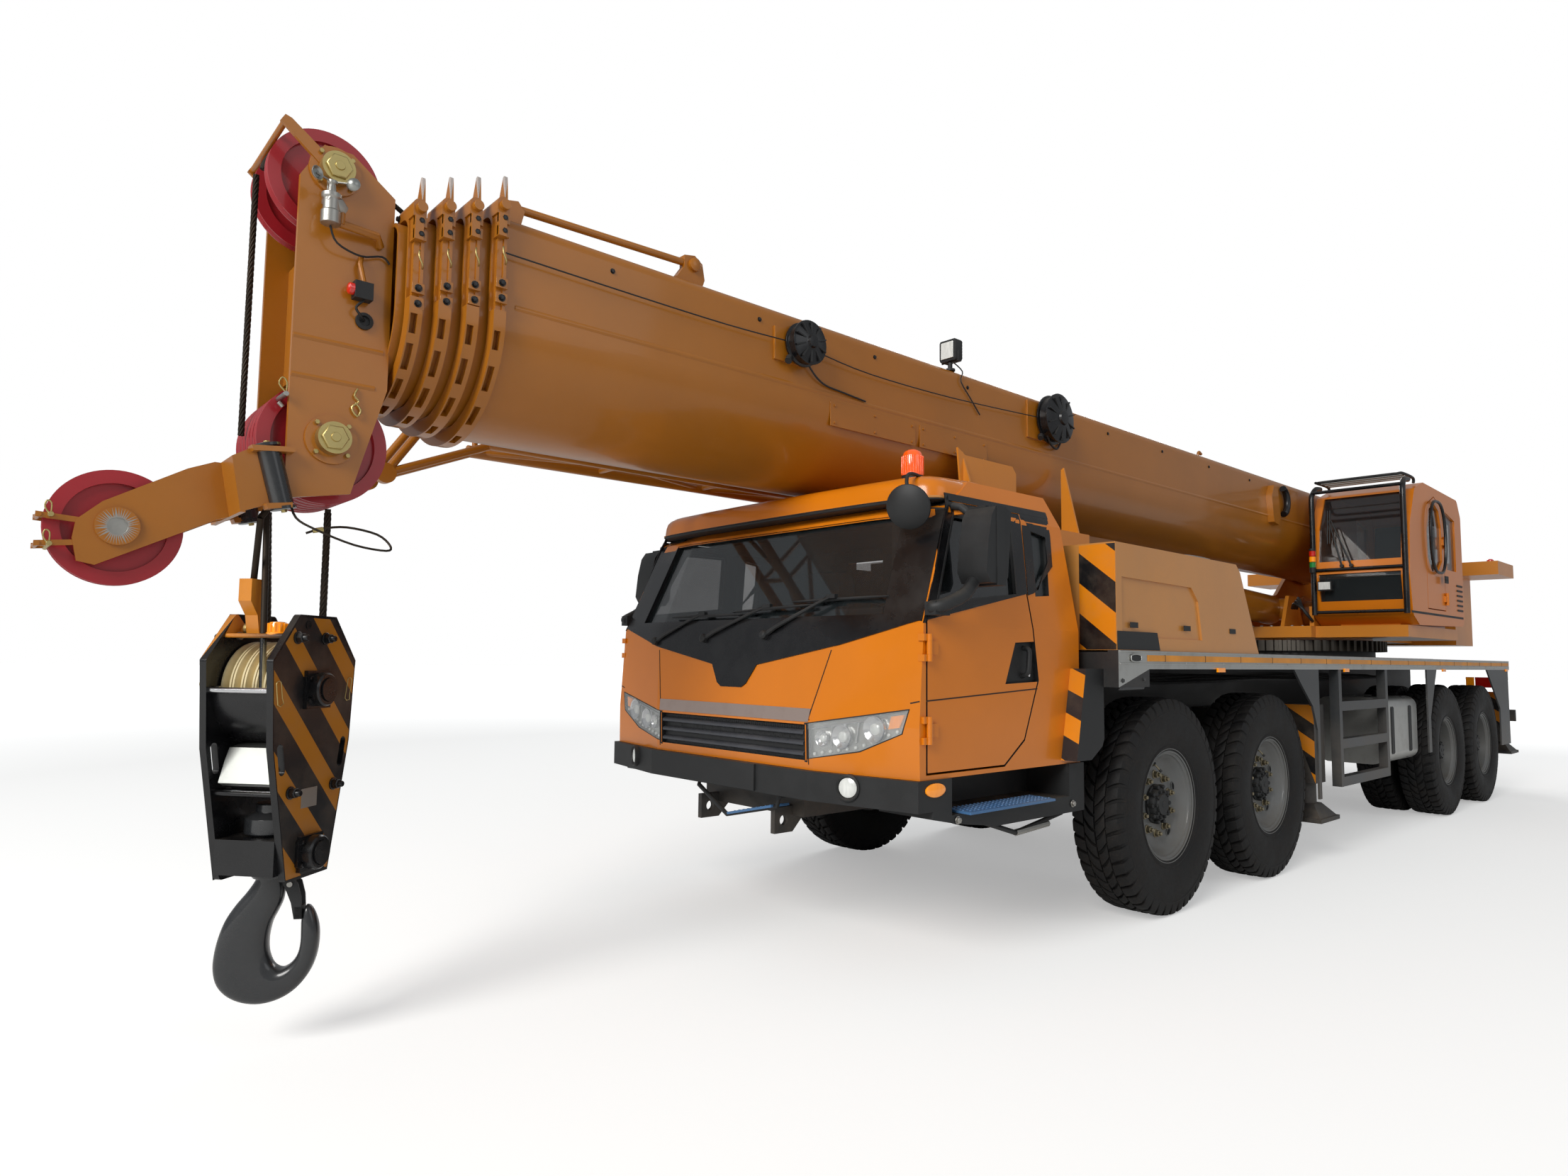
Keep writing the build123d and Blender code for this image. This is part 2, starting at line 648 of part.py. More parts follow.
with BuildPart() as tank:
    for name, side in SIDES:
        y0, y1 = side * TANK_INNER, side * (RAIL_HALF - 75)
        block(TANK_REAR_X, TANK_FRONT_X - (0 if side > 0 else 300), y0, y1, TANK_BOTTOM, TANK_TOP)
        for share in (0.25, 0.75):
            x = TANK_REAR_X + share * (TANK_FRONT_X - TANK_REAR_X - (0 if side > 0 else 300))
            block(x - 30, x + 30, side * FRAME_HALF, y0, TANK_BOTTOM + 250, TANK_BOTTOM + 330)
    tank_edges = tank.edges().filter_by(Axis.X).filter_by(
        lambda e: abs(e.center().Y) > TANK_INNER - 1 and e.length > 500)
    fillet(tank_edges, 90)
save(tank, "fuel_tank")

# ---------------------------------------------------------------- carrier cab
def level_outline(level, inset):
    """The plan outline of one cab level, moved inward."""
    z, rear, side_y, corner, front, half = level
    rear, side_y, corner, front = rear + inset, side_y - inset, corner - inset, front - inset
    return ((rear, -side_y), (corner, -side_y), (front, -half), (front, half), (corner, side_y),
            (rear, side_y))


def cab_form(inset, hollow=False):
    """The cab's outer form moved inward; hollow cuts it to the room between floor and roof."""
    with BuildPart() as form:
        for level in CAB_LEVELS:
            with BuildSketch(Plane.XY.offset(level[0])):
                Polygon(*level_outline(level, inset), align=None)
        loft(ruled=True)
        if hollow:
            roof = CAB_TOP - CAB_WALL
            block(CAB_REAR_X, NOSE_FRONT_X + 500, -2000, 2000, 0, CAB_FLOOR, Mode.SUBTRACT)
            block(CAB_REAR_X, NOSE_FRONT_X + 500, -2000, 2000, roof, CAB_TOP + 500, Mode.SUBTRACT)
    return form.part


def prism(outline, grow=0):
    """A wide solid with an outline in X and Z, for cutting both sides of the cab."""
    with BuildPart() as solid:
        with BuildSketch(Plane.XZ.offset(-2000)):
            Polygon(*outline, align=None)
            if grow:
                offset(amount=grow, kind=Kind.INTERSECTION)
        extrude(amount=4000)
    return solid.part


def front_prism(outline):
    """A solid with an outline in Y and Z, for cutting the cab's front."""
    with BuildPart() as solid:
        with BuildSketch(Plane.YZ.offset(CAB_FRONT_CUT_X)):
            Polygon(*outline, align=None)
        extrude(amount=NOSE_FRONT_X - CAB_FRONT_CUT_X + 500)
    return solid.part


CAB_TOP = CAB_LEVELS[-1][0]
outer_form = cab_form(0)
inner_form = cab_form(CAB_WALL, hollow=True)
wall_form = outer_form - cab_form(CAB_WALL)
pane_form = cab_form(GLASS_INSET) - cab_form(GLASS_INSET + GLASS_THICK)
door_hole = prism(DOOR_OUTLINE)
door_solid = prism(DOOR_OUTLINE, -SHUT_GAP)
door_window = prism(DOOR_WINDOW)
quarter = prism(QUARTER_WINDOW)
handle_recess = prism(HANDLE_OUTLINE)
windscreen = front_prism(WINDSCREEN_OUTLINE)
recess_form = outer_form - cab_form(RECESS_DEPTH)
lamp_left = front_prism(HEADLAMP_OUTLINE)

with BuildPart() as cab:
    add(outer_form)
    add(inner_form, mode=Mode.SUBTRACT)
    add(door_hole, mode=Mode.SUBTRACT)
    add(quarter, mode=Mode.SUBTRACT)
    add(windscreen, mode=Mode.SUBTRACT)
    for outline in (front_prism(GRILLE_OUTLINE), lamp_left, lamp_left.mirror(Plane.XZ)):
        add(recess_form & outline, mode=Mode.SUBTRACT)
    block(2880, NOSE_FRONT_X + 1, -FRAME_HALF, FRAME_HALF, 0, NOSE_TOP, Mode.SUBTRACT)
    block(CAB_REAR_X - 100, CAB_REAR_X + 200, -620, 620, 1650, 2050, Mode.SUBTRACT)
    for name, side in SIDES:
        hinge_y = side * (CAB_LEVELS[0][2] + HINGE_BARREL)
        hinge_x = DOOR_OUTLINE[0][0] - SHUT_GAP / 2
        for z in DOOR_HINGE_Z:
            for z0, z1 in ((z - 60, z - 30), (z + 30, z + 60)):
                rod((hinge_x, hinge_y, z0), (hinge_x, hinge_y, z1), HINGE_BARREL - 2)
                block(hinge_x, hinge_x + 36, side * (CAB_LEVELS[0][2] - 20), hinge_y, z0, z1)
            rod((hinge_x, hinge_y, z - 50), (hinge_x, hinge_y, z + 50), HINGE_RADIUS)
save(cab, "cab_shell")

with BuildPart() as glass:
    add(pane_form)
    add(windscreen, mode=Mode.INTERSECT)
with BuildPart() as quarter_glass:
    add(pane_form)
    add(quarter, mode=Mode.INTERSECT)
with BuildPart() as cab_glass:
    add(glass.part)
    add(quarter_glass.part)
    block(CAB_REAR_X + GLASS_INSET, CAB_REAR_X + GLASS_INSET + GLASS_THICK, -620, 620, 1650, 2050)
save(cab_glass, "cab_glass")

for name, side in SIDES:
    hinge_y = side * (CAB_LEVELS[0][2] + HINGE_BARREL)
    hinge_x = DOOR_OUTLINE[0][0] - SHUT_GAP / 2
    half_space = Pos(3700, side * 1500, 1500) * Box(3000, 1700, 3000)
    with BuildPart() as door:
        add(wall_form)
        add(door_solid, mode=Mode.INTERSECT)
        add(half_space, mode=Mode.INTERSECT)
        add(door_window, mode=Mode.SUBTRACT)
        add(recess_form & handle_recess, mode=Mode.SUBTRACT)
        for z in DOOR_HINGE_Z:
            z0, z1 = z - 30 + CLEAR, z + 30 - CLEAR
            rod((hinge_x, hinge_y, z0), (hinge_x, hinge_y, z1), HINGE_BARREL - 2)
            block(hinge_x - 60, hinge_x, side * (CAB_LEVELS[0][2] - 12), hinge_y, z0, z1)
            rod((hinge_x, hinge_y, z0 - 1), (hinge_x, hinge_y, z1 + 1), HINGE_RADIUS + CLEAR,
                Mode.SUBTRACT)
        # mirror arm and housing
        block(3864, 3892, side * 1130, side * 1330, 2099, 2125)
        block(3840, 3900, side * 1240, side * 1400, 1760, 2115)
    save(door, f"door_{name}")
    with BuildPart() as door_glass:
        add(pane_form)
        add(door_window, mode=Mode.INTERSECT)
        add(half_space, mode=Mode.INTERSECT)
    save(door_glass, f"door_glass_{name}")

# ---------------------------------------------------------------- bumper, steps and mudguards
WHEEL_ARCH = 840
TRIM_TOP = CAB_LEVELS[0][0] - CLEAR
STEP_LOW = 660
STEP_TREAD = 742
BUMPER_LOW = 770
BUMPER_X = 4330
BUMPER_HALF = CAB_LEVELS[0][2] + 15
with BuildPart() as trim:
    for name, side in SIDES:
        y0, y1 = side * 1000, side * 1290
        side_plate(
            ((2940, 925), (3080, 925), (2985, DECK_BOTTOM), (DECK_FRONT_X + 1, DECK_BOTTOM),
             (DECK_FRONT_X + 1, 1000)),
            side * (CAB_LEVELS[0][2] + CLEAR), y1,
        )
        side_plate(
            ((2899, 950), (2899, DECK_BOTTOM), (DECK_FRONT_X + 1, DECK_BOTTOM),
             (DECK_FRONT_X + 1, 1000)),
            y0, side * (CAB_LEVELS[0][2] + 1),
        )
        rod((AXLE_1_X, -1400, WHEEL_Z), (AXLE_1_X, 1400, WHEEL_Z), WHEEL_ARCH, Mode.SUBTRACT)
    for name, side in SIDES:
        side_plate(
            ((2890, STEP_LOW), (3650, STEP_LOW), (3950, 700), (NOSE_FRONT_X + 2, 735),
             (NOSE_FRONT_X + 2, TRIM_TOP), (2890, TRIM_TOP)),
            side * 900, side * (CAB_LEVELS[0][2] + 15),
        )
        block(3030, 3990, side * 960, side * (CAB_LEVELS[0][2] + 16), STEP_TREAD, TRIM_TOP + 1,
              Mode.SUBTRACT)
    with BuildSketch(Plane.XY.offset(BUMPER_LOW)):
        Polygon((NOSE_FRONT_X, -BUMPER_HALF), (BUMPER_X - 110, -BUMPER_HALF), (BUMPER_X, -640),
                (BUMPER_X, 640), (BUMPER_X - 110, BUMPER_HALF), (NOSE_FRONT_X, BUMPER_HALF),
                align=None)
    extrude(amount=TRIM_TOP - BUMPER_LOW)
    block(BUMPER_X - 1, BUMPER_X + 12, -270, 270, BUMPER_LOW + 5, TRIM_TOP)
save(trim, "cab_trim")

# ---------------------------------------------------------------- deck boxes and engine
with BuildPart() as hoods:
    for name, side in SIDES:
        side_plate(
            ((HOOD_REAR_X, DECK_TOP), (HOOD_FRONT_X, DECK_TOP), (HOOD_FRONT_X, HOOD_TOP),
             (HOOD_TOP_REAR_X, HOOD_TOP - 10), (HOOD_TOP_REAR_X - 60, HOOD_TOP - 60)),
            side * HOOD_INNER, side * HOOD_HALF,
        )
        side_plate(
            ((HOOD_FRONT_X - 60, 1560), (HOOD_FRONT_X - 60, HOOD_CREASE_Z),
             (HOOD_CREASE_X, HOOD_CREASE_Z - 12), (HOOD_CREASE_X - 85, HOOD_CREASE_Z - 90),
             (HOOD_CREASE_X - 130, 1560)),
            side * (HOOD_HALF - 12), side * (HOOD_HALF + 1), Mode.SUBTRACT,
        )
save(hoods, "hoods")
with BuildPart() as engine:
    block(ENGINE_REAR_X, ENGINE_FRONT_X, -ENGINE_HALF, ENGINE_HALF, DECK_TOP - 10, ENGINE_TOP)
save(engine, "engine")

# ---------------------------------------------------------------- slewing ring
with BuildPart() as ring:
    with BuildSketch(Plane.XY.offset(RING_BOTTOM)):
        with Locations((SLEW_X, 0)):
            Circle(RING_RADIUS - TOOTH_HEIGHT)
            with PolarLocations(RING_RADIUS - TOOTH_HEIGHT / 2 - 3, RING_TEETH):
                Trapezoid(TOOTH_HEIGHT + 6, 44, 82, rotation=-90)
            Circle(PEDESTAL_RADIUS - 140, mode=Mode.SUBTRACT)
    extrude(amount=RING_TOP - RING_BOTTOM)
save(ring, "slewing_ring")

# ---------------------------------------------------------------- turntable
SIDE_OUTLINE = (
    (-5740, TURN_TOP - 1),
    (-2560, TURN_TOP - 1),
    (-2560, 1990),
    (-3100, 2080),
    (-4300, 2240),
    (-4740, 2560),
    (-4960, 2770),
    (-5280, 2770),
    (-5740, 2470),
)
with BuildPart() as turntable:
    with Locations((SLEW_X, 0, RING_TOP + CLEAR)):
        Cylinder(PEDESTAL_RADIUS - 20, TURN_BOTTOM - RING_TOP - CLEAR + 10,
                 align=(Align.CENTER, Align.CENTER, Align.MIN))
    block(-5740, -2480, -TURN_INNER - TURN_PLATE, TURN_INNER + TURN_PLATE, TURN_BOTTOM, TURN_TOP)
    for name, side in SIDES:
        side_plate(SIDE_OUTLINE, side * TURN_INNER, side * (TURN_INNER + TURN_PLATE))
        rod((FOOT_X, side * (TURN_INNER - 20), FOOT_Z), (FOOT_X, side * (TURN_INNER + 90), FOOT_Z),
            150)
    rod((FOOT_X, -TURN_INNER - 90, FOOT_Z), (FOOT_X, TURN_INNER + 90, FOOT_Z), FOOT_PIN)
    for name, side in SIDES:
        side_plate(
            ((CYL_FOOT_X - 260, TURN_TOP - 1), (CYL_FOOT_X + 260, TURN_TOP - 1),
             (CYL_FOOT_X + 110, CYL_FOOT_Z + 130), (CYL_FOOT_X - 110, CYL_FOOT_Z + 130)),
            side * 200, side * 235,
        )
    rod((CYL_FOOT_X, -235, CYL_FOOT_Z), (CYL_FOOT_X, 235, CYL_FOOT_Z), CYL_PIN)
    block(-4300, -2600, TURN_INNER + TURN_PLATE, BOOTH_OUTER - 60, TURN_BOTTOM, TURN_BOTTOM + 110)
    # two winches between the side plates
    for x, z in ((-5470, 2120), (-4750, 2030)):
        rod((x, -TURN_INNER, z), (x, TURN_INNER, z), 150)
        for y in (-330, 300):
            rod((x, y, z), (x, y + 30, z), 215)
save(turntable, "turntable")

with BuildPart() as weight:
    block(WING_REAR_X, WING_FRONT_X, -WING_HALF, WING_HALF, WING_BOTTOM, WING_TOP)
    block(WING_REAR_X + 20, WING_FRONT_X + 10, -WEIGHT_HALF, WEIGHT_HALF, TURN_BOTTOM - 20,
          WING_BOTTOM)
    block(WING_FRONT_X, -5740, -TURN_INNER, TURN_INNER, TURN_BOTTOM + 20, TURN_TOP - 20)
save(weight, "counterweight")

# ---------------------------------------------------------------- operator's cab
BOOTH_OUTLINE = (
    (BOOTH_REAR_X, BOOTH_BOTTOM + 60),
    (BOOTH_REAR_X + 60, BOOTH_BOTTOM),
    (BOOTH_FRONT_X - 250, BOOTH_BOTTOM - 30),
    (BOOTH_FRONT_X - 60, BOOTH_BOTTOM + 60),
    (BOOTH_FRONT_X, BOOTH_BOTTOM + 420),
    (BOOTH_FRONT_X - 60, BOOTH_TOP - 420),
    (BOOTH_FRONT_X - 240, BOOTH_TOP - 90),
    (BOOTH_FRONT_X - 520, BOOTH_TOP),
    (BOOTH_REAR_X + 120, BOOTH_TOP - 30),
    (BOOTH_REAR_X, BOOTH_TOP - 200),
)
BOOTH_DOOR = ((-3020, 1960), (-3020, 2700), (-3120, 2980), (-3350, 3070), (-3560, 3000),
              (-3640, 2800), (-3640, 1960))
BOOTH_DOOR_WINDOW = ((-3080, 2450), (-3080, 2700), (-3170, 2930), (-3350, 3000), (-3500, 2940),
                     (-3570, 2780), (-3570, 2450), (-3400, 2330), (-3200, 2330))
BOOTH_SIDE_WINDOW = ((-3740, 2380), (-3740, 2960), (-4080, 2900), (-4080, 2380))


def booth_form(inset):
    """The operator's cab with rounded edges, moved inward."""
    with BuildPart() as form:
        with BuildSketch(Plane.XZ.offset(-BOOTH_OUTER + inset)) as face:
            Polygon(*BOOTH_OUTLINE, align=None)
            fillet(face.vertices(), BOOTH_BEND)
            if inset:
                offset(amount=-inset)
        extrude(face.sketch, amount=BOOTH_OUTER - BOOTH_INNER - 2 * inset)
    return form.part


booth_outer = booth_form(0)
booth_inner = booth_form(BOOTH_WALL)
booth_pane = booth_form(GLASS_INSET) - booth_form(GLASS_INSET + GLASS_THICK)
booth_door_hole = prism(BOOTH_DOOR)
booth_door_solid = prism(BOOTH_DOOR, -SHUT_GAP)
booth_door_window = prism(BOOTH_DOOR_WINDOW)
booth_side_window = prism(BOOTH_SIDE_WINDOW)
outer_side = Pos(-3400, BOOTH_OUTER, 2500) * Box(3000, 300, 3000)
booth_front = Pos(BOOTH_FRONT_X - 100, (BOOTH_INNER + BOOTH_OUTER) / 2, 2730) * Box(
    900, BOOTH_OUTER - BOOTH_INNER - 140, 640)
booth_low_front = Pos(BOOTH_FRONT_X, (BOOTH_INNER + BOOTH_OUTER) / 2, 2160) * Box(
    300, BOOTH_OUTER - BOOTH_INNER - 140, 260)
booth_rear = Pos(BOOTH_REAR_X, (BOOTH_INNER + BOOTH_OUTER) / 2, 2650) * Box(
    300, BOOTH_OUTER - BOOTH_INNER - 200, 500)
BOOTH_HINGE_X = BOOTH_DOOR[-1][0] + SHUT_GAP / 2
BOOTH_HINGE_Y = BOOTH_OUTER + HINGE_BARREL
BOOTH_HINGE_Z = (2080, 2640)

with BuildPart() as booth:
    add(booth_outer)
    add(booth_inner, mode=Mode.SUBTRACT)
    for hole in (booth_door_hole & outer_side, booth_side_window, booth_front, booth_low_front,
                 booth_rear):
        add(hole, mode=Mode.SUBTRACT)
    for z in BOOTH_HINGE_Z:
        for z0, z1 in ((z - 60, z - 30), (z + 30, z + 60)):
            rod((BOOTH_HINGE_X, BOOTH_HINGE_Y, z0), (BOOTH_HINGE_X, BOOTH_HINGE_Y, z1),
                HINGE_BARREL - 2)
            block(BOOTH_HINGE_X - 40, BOOTH_HINGE_X, BOOTH_OUTER - 20, BOOTH_HINGE_Y, z0, z1)
        rod((BOOTH_HINGE_X, BOOTH_HINGE_Y, z - 50), (BOOTH_HINGE_X, BOOTH_HINGE_Y, z + 50),
            HINGE_RADIUS)
    block(-4200, -2700, 700, 1200, TURN_BOTTOM + 110, BOOTH_BOTTOM + 20)
save(booth, "operator_cab")

with BuildPart() as booth_glass:
    for hole in (booth_front, booth_low_front, booth_rear, booth_side_window):
        add(booth_pane & hole)
save(booth_glass, "operator_glass")

with BuildPart() as booth_door:
    add(booth_outer - booth_inner)
    add(booth_door_solid, mode=Mode.INTERSECT)
    add(outer_side, mode=Mode.INTERSECT)
    add(booth_door_window, mode=Mode.SUBTRACT)
    for z in BOOTH_HINGE_Z:
        z0, z1 = z - 30 + CLEAR, z + 30 - CLEAR
        rod((BOOTH_HINGE_X, BOOTH_HINGE_Y, z0), (BOOTH_HINGE_X, BOOTH_HINGE_Y, z1),
            HINGE_BARREL - 2)
        block(BOOTH_HINGE_X, BOOTH_HINGE_X + 60, BOOTH_OUTER - 12, BOOTH_HINGE_Y, z0, z1)
        rod((BOOTH_HINGE_X, BOOTH_HINGE_Y, z0 - 1), (BOOTH_HINGE_X, BOOTH_HINGE_Y, z1 + 1),
            HINGE_RADIUS + CLEAR, Mode.SUBTRACT)
save(booth_door, "operator_door")

with BuildPart() as booth_door_glass:
    add(booth_pane & booth_door_window & outer_side)
save(booth_door_glass, "operator_door_glass")

# ---------------------------------------------------------------- luffing cylinder
cyl = Vector(CYL_EYE_X - CYL_FOOT_X, 0, CYL_EYE_Z - CYL_FOOT_Z)
cyl_length = cyl.length
cyl_dir = cyl.normalized()
foot_point = Vector(CYL_FOOT_X, 0, CYL_FOOT_Z)


def along(distance):
    """A point on the cylinder's axis."""
    return tuple(foot_point + cyl_dir * distance)


with BuildPart() as barrel:
    rod(along(0), along(cyl_length - 260), BARREL_RADIUS)
    rod((CYL_FOOT_X, -180, CYL_FOOT_Z), (CYL_FOOT_X, 180, CYL_FOOT_Z), 110)
    rod(along(320), along(cyl_length - 259), ROD_RADIUS + CLEAR, Mode.SUBTRACT)
    rod((CYL_FOOT_X, -181, CYL_FOOT_Z), (CYL_FOOT_X, 181, CYL_FOOT_Z), CYL_PIN + CLEAR,
        Mode.SUBTRACT)
save(barrel, "lift_barrel")
with BuildPart() as piston_rod:
    rod(along(340), along(cyl_length - 60), ROD_RADIUS)
    rod((CYL_EYE_X, -120, CYL_EYE_Z), (CYL_EYE_X, 120, CYL_EYE_Z), 105)
    rod((CYL_EYE_X, -121, CYL_EYE_Z), (CYL_EYE_X, 121, CYL_EYE_Z), CYL_PIN + 12, Mode.SUBTRACT)
save(piston_rod, "lift_rod")

# ---------------------------------------------------------------- boom sections
BOOM_REAR_X = FOOT_X + 380


def collar_start(number):
    return COLLAR_X + (number - 1) * COLLAR_PITCH


def collar(number):
    """The ring on a section's front end: a flange, a bar, pocketed lugs and rounded blocks."""
    x = collar_start(number)
    half, top, bottom = section_size(number)
    section_solid(section_size(number, -FLANGE_RISE), x, x + FLANGE_THICK)
    section_solid(section_size(number, -BAR_RISE), x, x + BAR_LENGTH)
    band = section_size(number, -LUG_RISE)
    section_solid(band, x, x + COLLAR_LENGTH, cut=LUG_TOP_Z)
    knee = section_knee(*band)
    middle = x + FLANGE_THICK + (COLLAR_LENGTH - FLANGE_THICK) / 2
    for name, side in SIDES:
        for angle, length in POCKETS:
            turn = math.radians(angle)
            y, z = band[0] * math.cos(turn), knee - (knee - band[2]) * math.sin(turn)
            outward = (0, side * math.cos(turn) / band[0], -math.sin(turn) / (knee - band[2]))
            with Locations(Plane(origin=(middle, side * y, z), x_dir=(1, 0, 0), z_dir=outward)):
                Box(POCKET_WIDTH, length, 2 * (LUG_RISE - 4), mode=Mode.SUBTRACT)
        # the rounded block at the shoulder, with the bolted block below it
        y0, y1 = side * (half - CAP_WIDTH), side * (half + LUG_RISE)
        round_z = top + CAP_RISE - COLLAR_LENGTH / 2
        block(x, x + COLLAR_LENGTH, y0, y1, top - 25, round_z)
        rod((x + COLLAR_LENGTH / 2, y0, round_z), (x + COLLAR_LENGTH / 2, y1, round_z),
            COLLAR_LENGTH / 2)
        block(x + FLANGE_THICK, x + COLLAR_LENGTH - 6, side * (half - 8), side * (half + LUG_RISE + 8),
              top - 115, top - 25)
    with BuildSketch(Plane.YZ.offset(x)) as fin:
        with BuildLine():
            edge = half + FLANGE_RISE
            Polyline((edge - 14, top + FIN_HEIGHT - 10), (edge, top), (edge - FIN_WIDTH, top),
                     (edge - 34, top + FIN_HEIGHT - 10))
            ThreePointArc((edge - 34, top + FIN_HEIGHT - 10), (edge - 24, top + FIN_HEIGHT),
                          (edge - 14, top + FIN_HEIGHT - 10))
        make_face()
    extrude(fin.sketch, amount=FLANGE_THICK)


def boom_foot():
    """Section 1's side plates with the foot bearing, and the ears for the lifting cylinder."""
    for name, side in SIDES:
        side_plate(
            ((FOOT_X - 190, FOOT_Z - 60), (FOOT_X - 60, FOOT_Z - 190),
             (FOOT_X + 120, FOOT_Z - 190), (BOOM_REAR_X + 400, BOOM_BOTTOM + 190),
             (BOOM_REAR_X + 400, BOOM_TOP - 60), (BOOM_REAR_X + 60, BOOM_TOP - 60),
             (FOOT_X - 60, FOOT_Z + 190), (FOOT_X - 190, FOOT_Z + 60)),
            side * (BOOM_HALF - 2), side * (BOOM_HALF + 26),
        )
        side_plate(
            ((CYL_EYE_X - 300, BOOM_BOTTOM + 40), (CYL_EYE_X + 300, BOOM_BOTTOM + 40),
             (CYL_EYE_X + 100, CYL_EYE_Z - 110), (CYL_EYE_X - 100, CYL_EYE_Z - 110)),
            side * 128, side * 156,
        )
    rod((FOOT_X, -BOOM_HALF - 27, FOOT_Z), (FOOT_X, BOOM_HALF + 27, FOOT_Z), 130)


def head_plates():
    """The head's two plates with their cross plates, pins, bosses and rope guard arm."""
    guard_x, guard_z = HEAD_GUARD
    for name, side in SIDES:
        side_plate(
            ((HEAD_REAR_X, HEAD_TOP - 5), (HEAD_REAR_X, 2420), (HEAD_LOW_REAR_X, 2010),
             (HEAD_FRONT_X, HEAD_FOOT_Z), (HEAD_FRONT_X, HEAD_TOP - 20),
             (HEAD_TOP_PIN_X + 40, HEAD_CREST_Z), (HEAD_TOP_PIN_X - 60, HEAD_CREST_Z)),
            side * (HEAD_HALF - HEAD_PLATE), side * HEAD_HALF,
        )
        for x, z in ((HEAD_TOP_PIN_X, HEAD_TOP_PIN_Z), (HEAD_LOW_PIN_X, HEAD_LOW_PIN_Z)):
            rod((x, side * (HEAD_HALF - 1), z), (x, side * (HEAD_HALF + 10), z), HEAD_BOSS_RADIUS)
            rod((x, side * HEAD_HALF, z), (x, side * (HEAD_HALF + 52), z), HEAD_CAP_RADIUS)
        # the arm that keeps the rope in the upper sheave
        side_plate(
            ((HEAD_TOP_PIN_X - 60, HEAD_TOP_PIN_Z - 20), (HEAD_TOP_PIN_X + 10, HEAD_TOP_PIN_Z - 30),
             (guard_x + 18, guard_z - 8), (guard_x + 4, guard_z + 18), (guard_x - 18, guard_z + 12)),
            side * (HEAD_HALF - 1), side * (HEAD_HALF + 14),
        )
    rod((guard_x, -HEAD_HALF, guard_z), (guard_x, HEAD_HALF, guard_z), 11)
    block(HEAD_REAR_X, HEAD_REAR_X + 16, -HEAD_HALF, HEAD_HALF, 2420, 3000)
    block(HEAD_FRONT_X - 100, HEAD_FRONT_X - 84, -HEAD_HALF + 1, HEAD_HALF - 1, 2480, 2950)
    for x, z in ((HEAD_TOP_PIN_X, HEAD_TOP_PIN_Z), (HEAD_LOW_PIN_X, HEAD_LOW_PIN_Z)):
        rod((x, -HEAD_HALF, z), (x, HEAD_HALF, z), HEAD_PIN_RADIUS)


def aux_arm():
    """The single sheave's arm: a boxed hinge on the head's left pin and two tapering plates."""
    (top_x, top_z), (foot_x, foot_z) = AUX_HINGE_TOP, AUX_HINGE_FOOT
    plate_y = AUX_PLATE_Y + AUX_PLATE
    for name, side in SIDES:
        hinge_y = side * HEAD_HALF
        rod((top_x, hinge_y, top_z), (foot_x, hinge_y, foot_z), AUX_HINGE_RADIUS)
        for x, z in (AUX_HINGE_TOP, AUX_HINGE_FOOT):
            side_plate(((HEAD_FRONT_X - 20, z - 9), (x + 52, z - 22), (x + 60, z - 4),
                        (HEAD_FRONT_X - 20, z + 9)), side * (HEAD_HALF - HEAD_PLATE), side * (HEAD_HALF + 40))
        # the boxed part from the pin to the bend
        side_plate(((foot_x + 40, foot_z), (top_x + 40, top_z), (6656, 2095), (6622, 1905)),
                   side * (HEAD_HALF - AUX_PLATE), hinge_y)
        side_plate(
            ((6655, 2095), (6675, 2095), (6755, 2060), (6988, 1917), (7055, 1850), (7062, 1790),
             (7047, 1716), (6998, 1706), (6937, 1739), (6661, 1890), (6620, 1905)),
            side * AUX_PLATE_Y, side * plate_y,
        )
        rod((AUX_PIN_X, side * AUX_PLATE_Y, AUX_PIN_Z), (AUX_PIN_X, side * (plate_y + 10), AUX_PIN_Z),
            AUX_PIN_RADIUS + 20)
        for z, tip in ((1848, 1858), (1778, 1764)):
            side_plate(((AUX_PIN_X + 86, z + 9), (GUARD_X + 8, tip + 9), (GUARD_X + 8, tip - 9),
                        (AUX_PIN_X + 86, z - 9)),
                       side * AUX_PLATE_Y, side * (AUX_PLATE_Y + 10))
    for tip in (1858, 1764):
        rod((GUARD_X, -plate_y, tip), (GUARD_X, plate_y, tip), 8)
    side_plate(((6640, 2095), (6656, 2095), (6622, 1905), (6606, 1905)), -HEAD_HALF, HEAD_HALF)
    rod((AUX_PIN_X, -AUX_PLATE_Y - 1, AUX_PIN_Z), (AUX_PIN_X, AUX_PLATE_Y + 1, AUX_PIN_Z),
        AUX_PIN_RADIUS)
    rod((AUX_PIN_X, -HEAD_HALF, AUX_PIN_Z), (AUX_PIN_X, HEAD_HALF, AUX_PIN_Z), AUX_PIN_BORE,
        Mode.SUBTRACT)


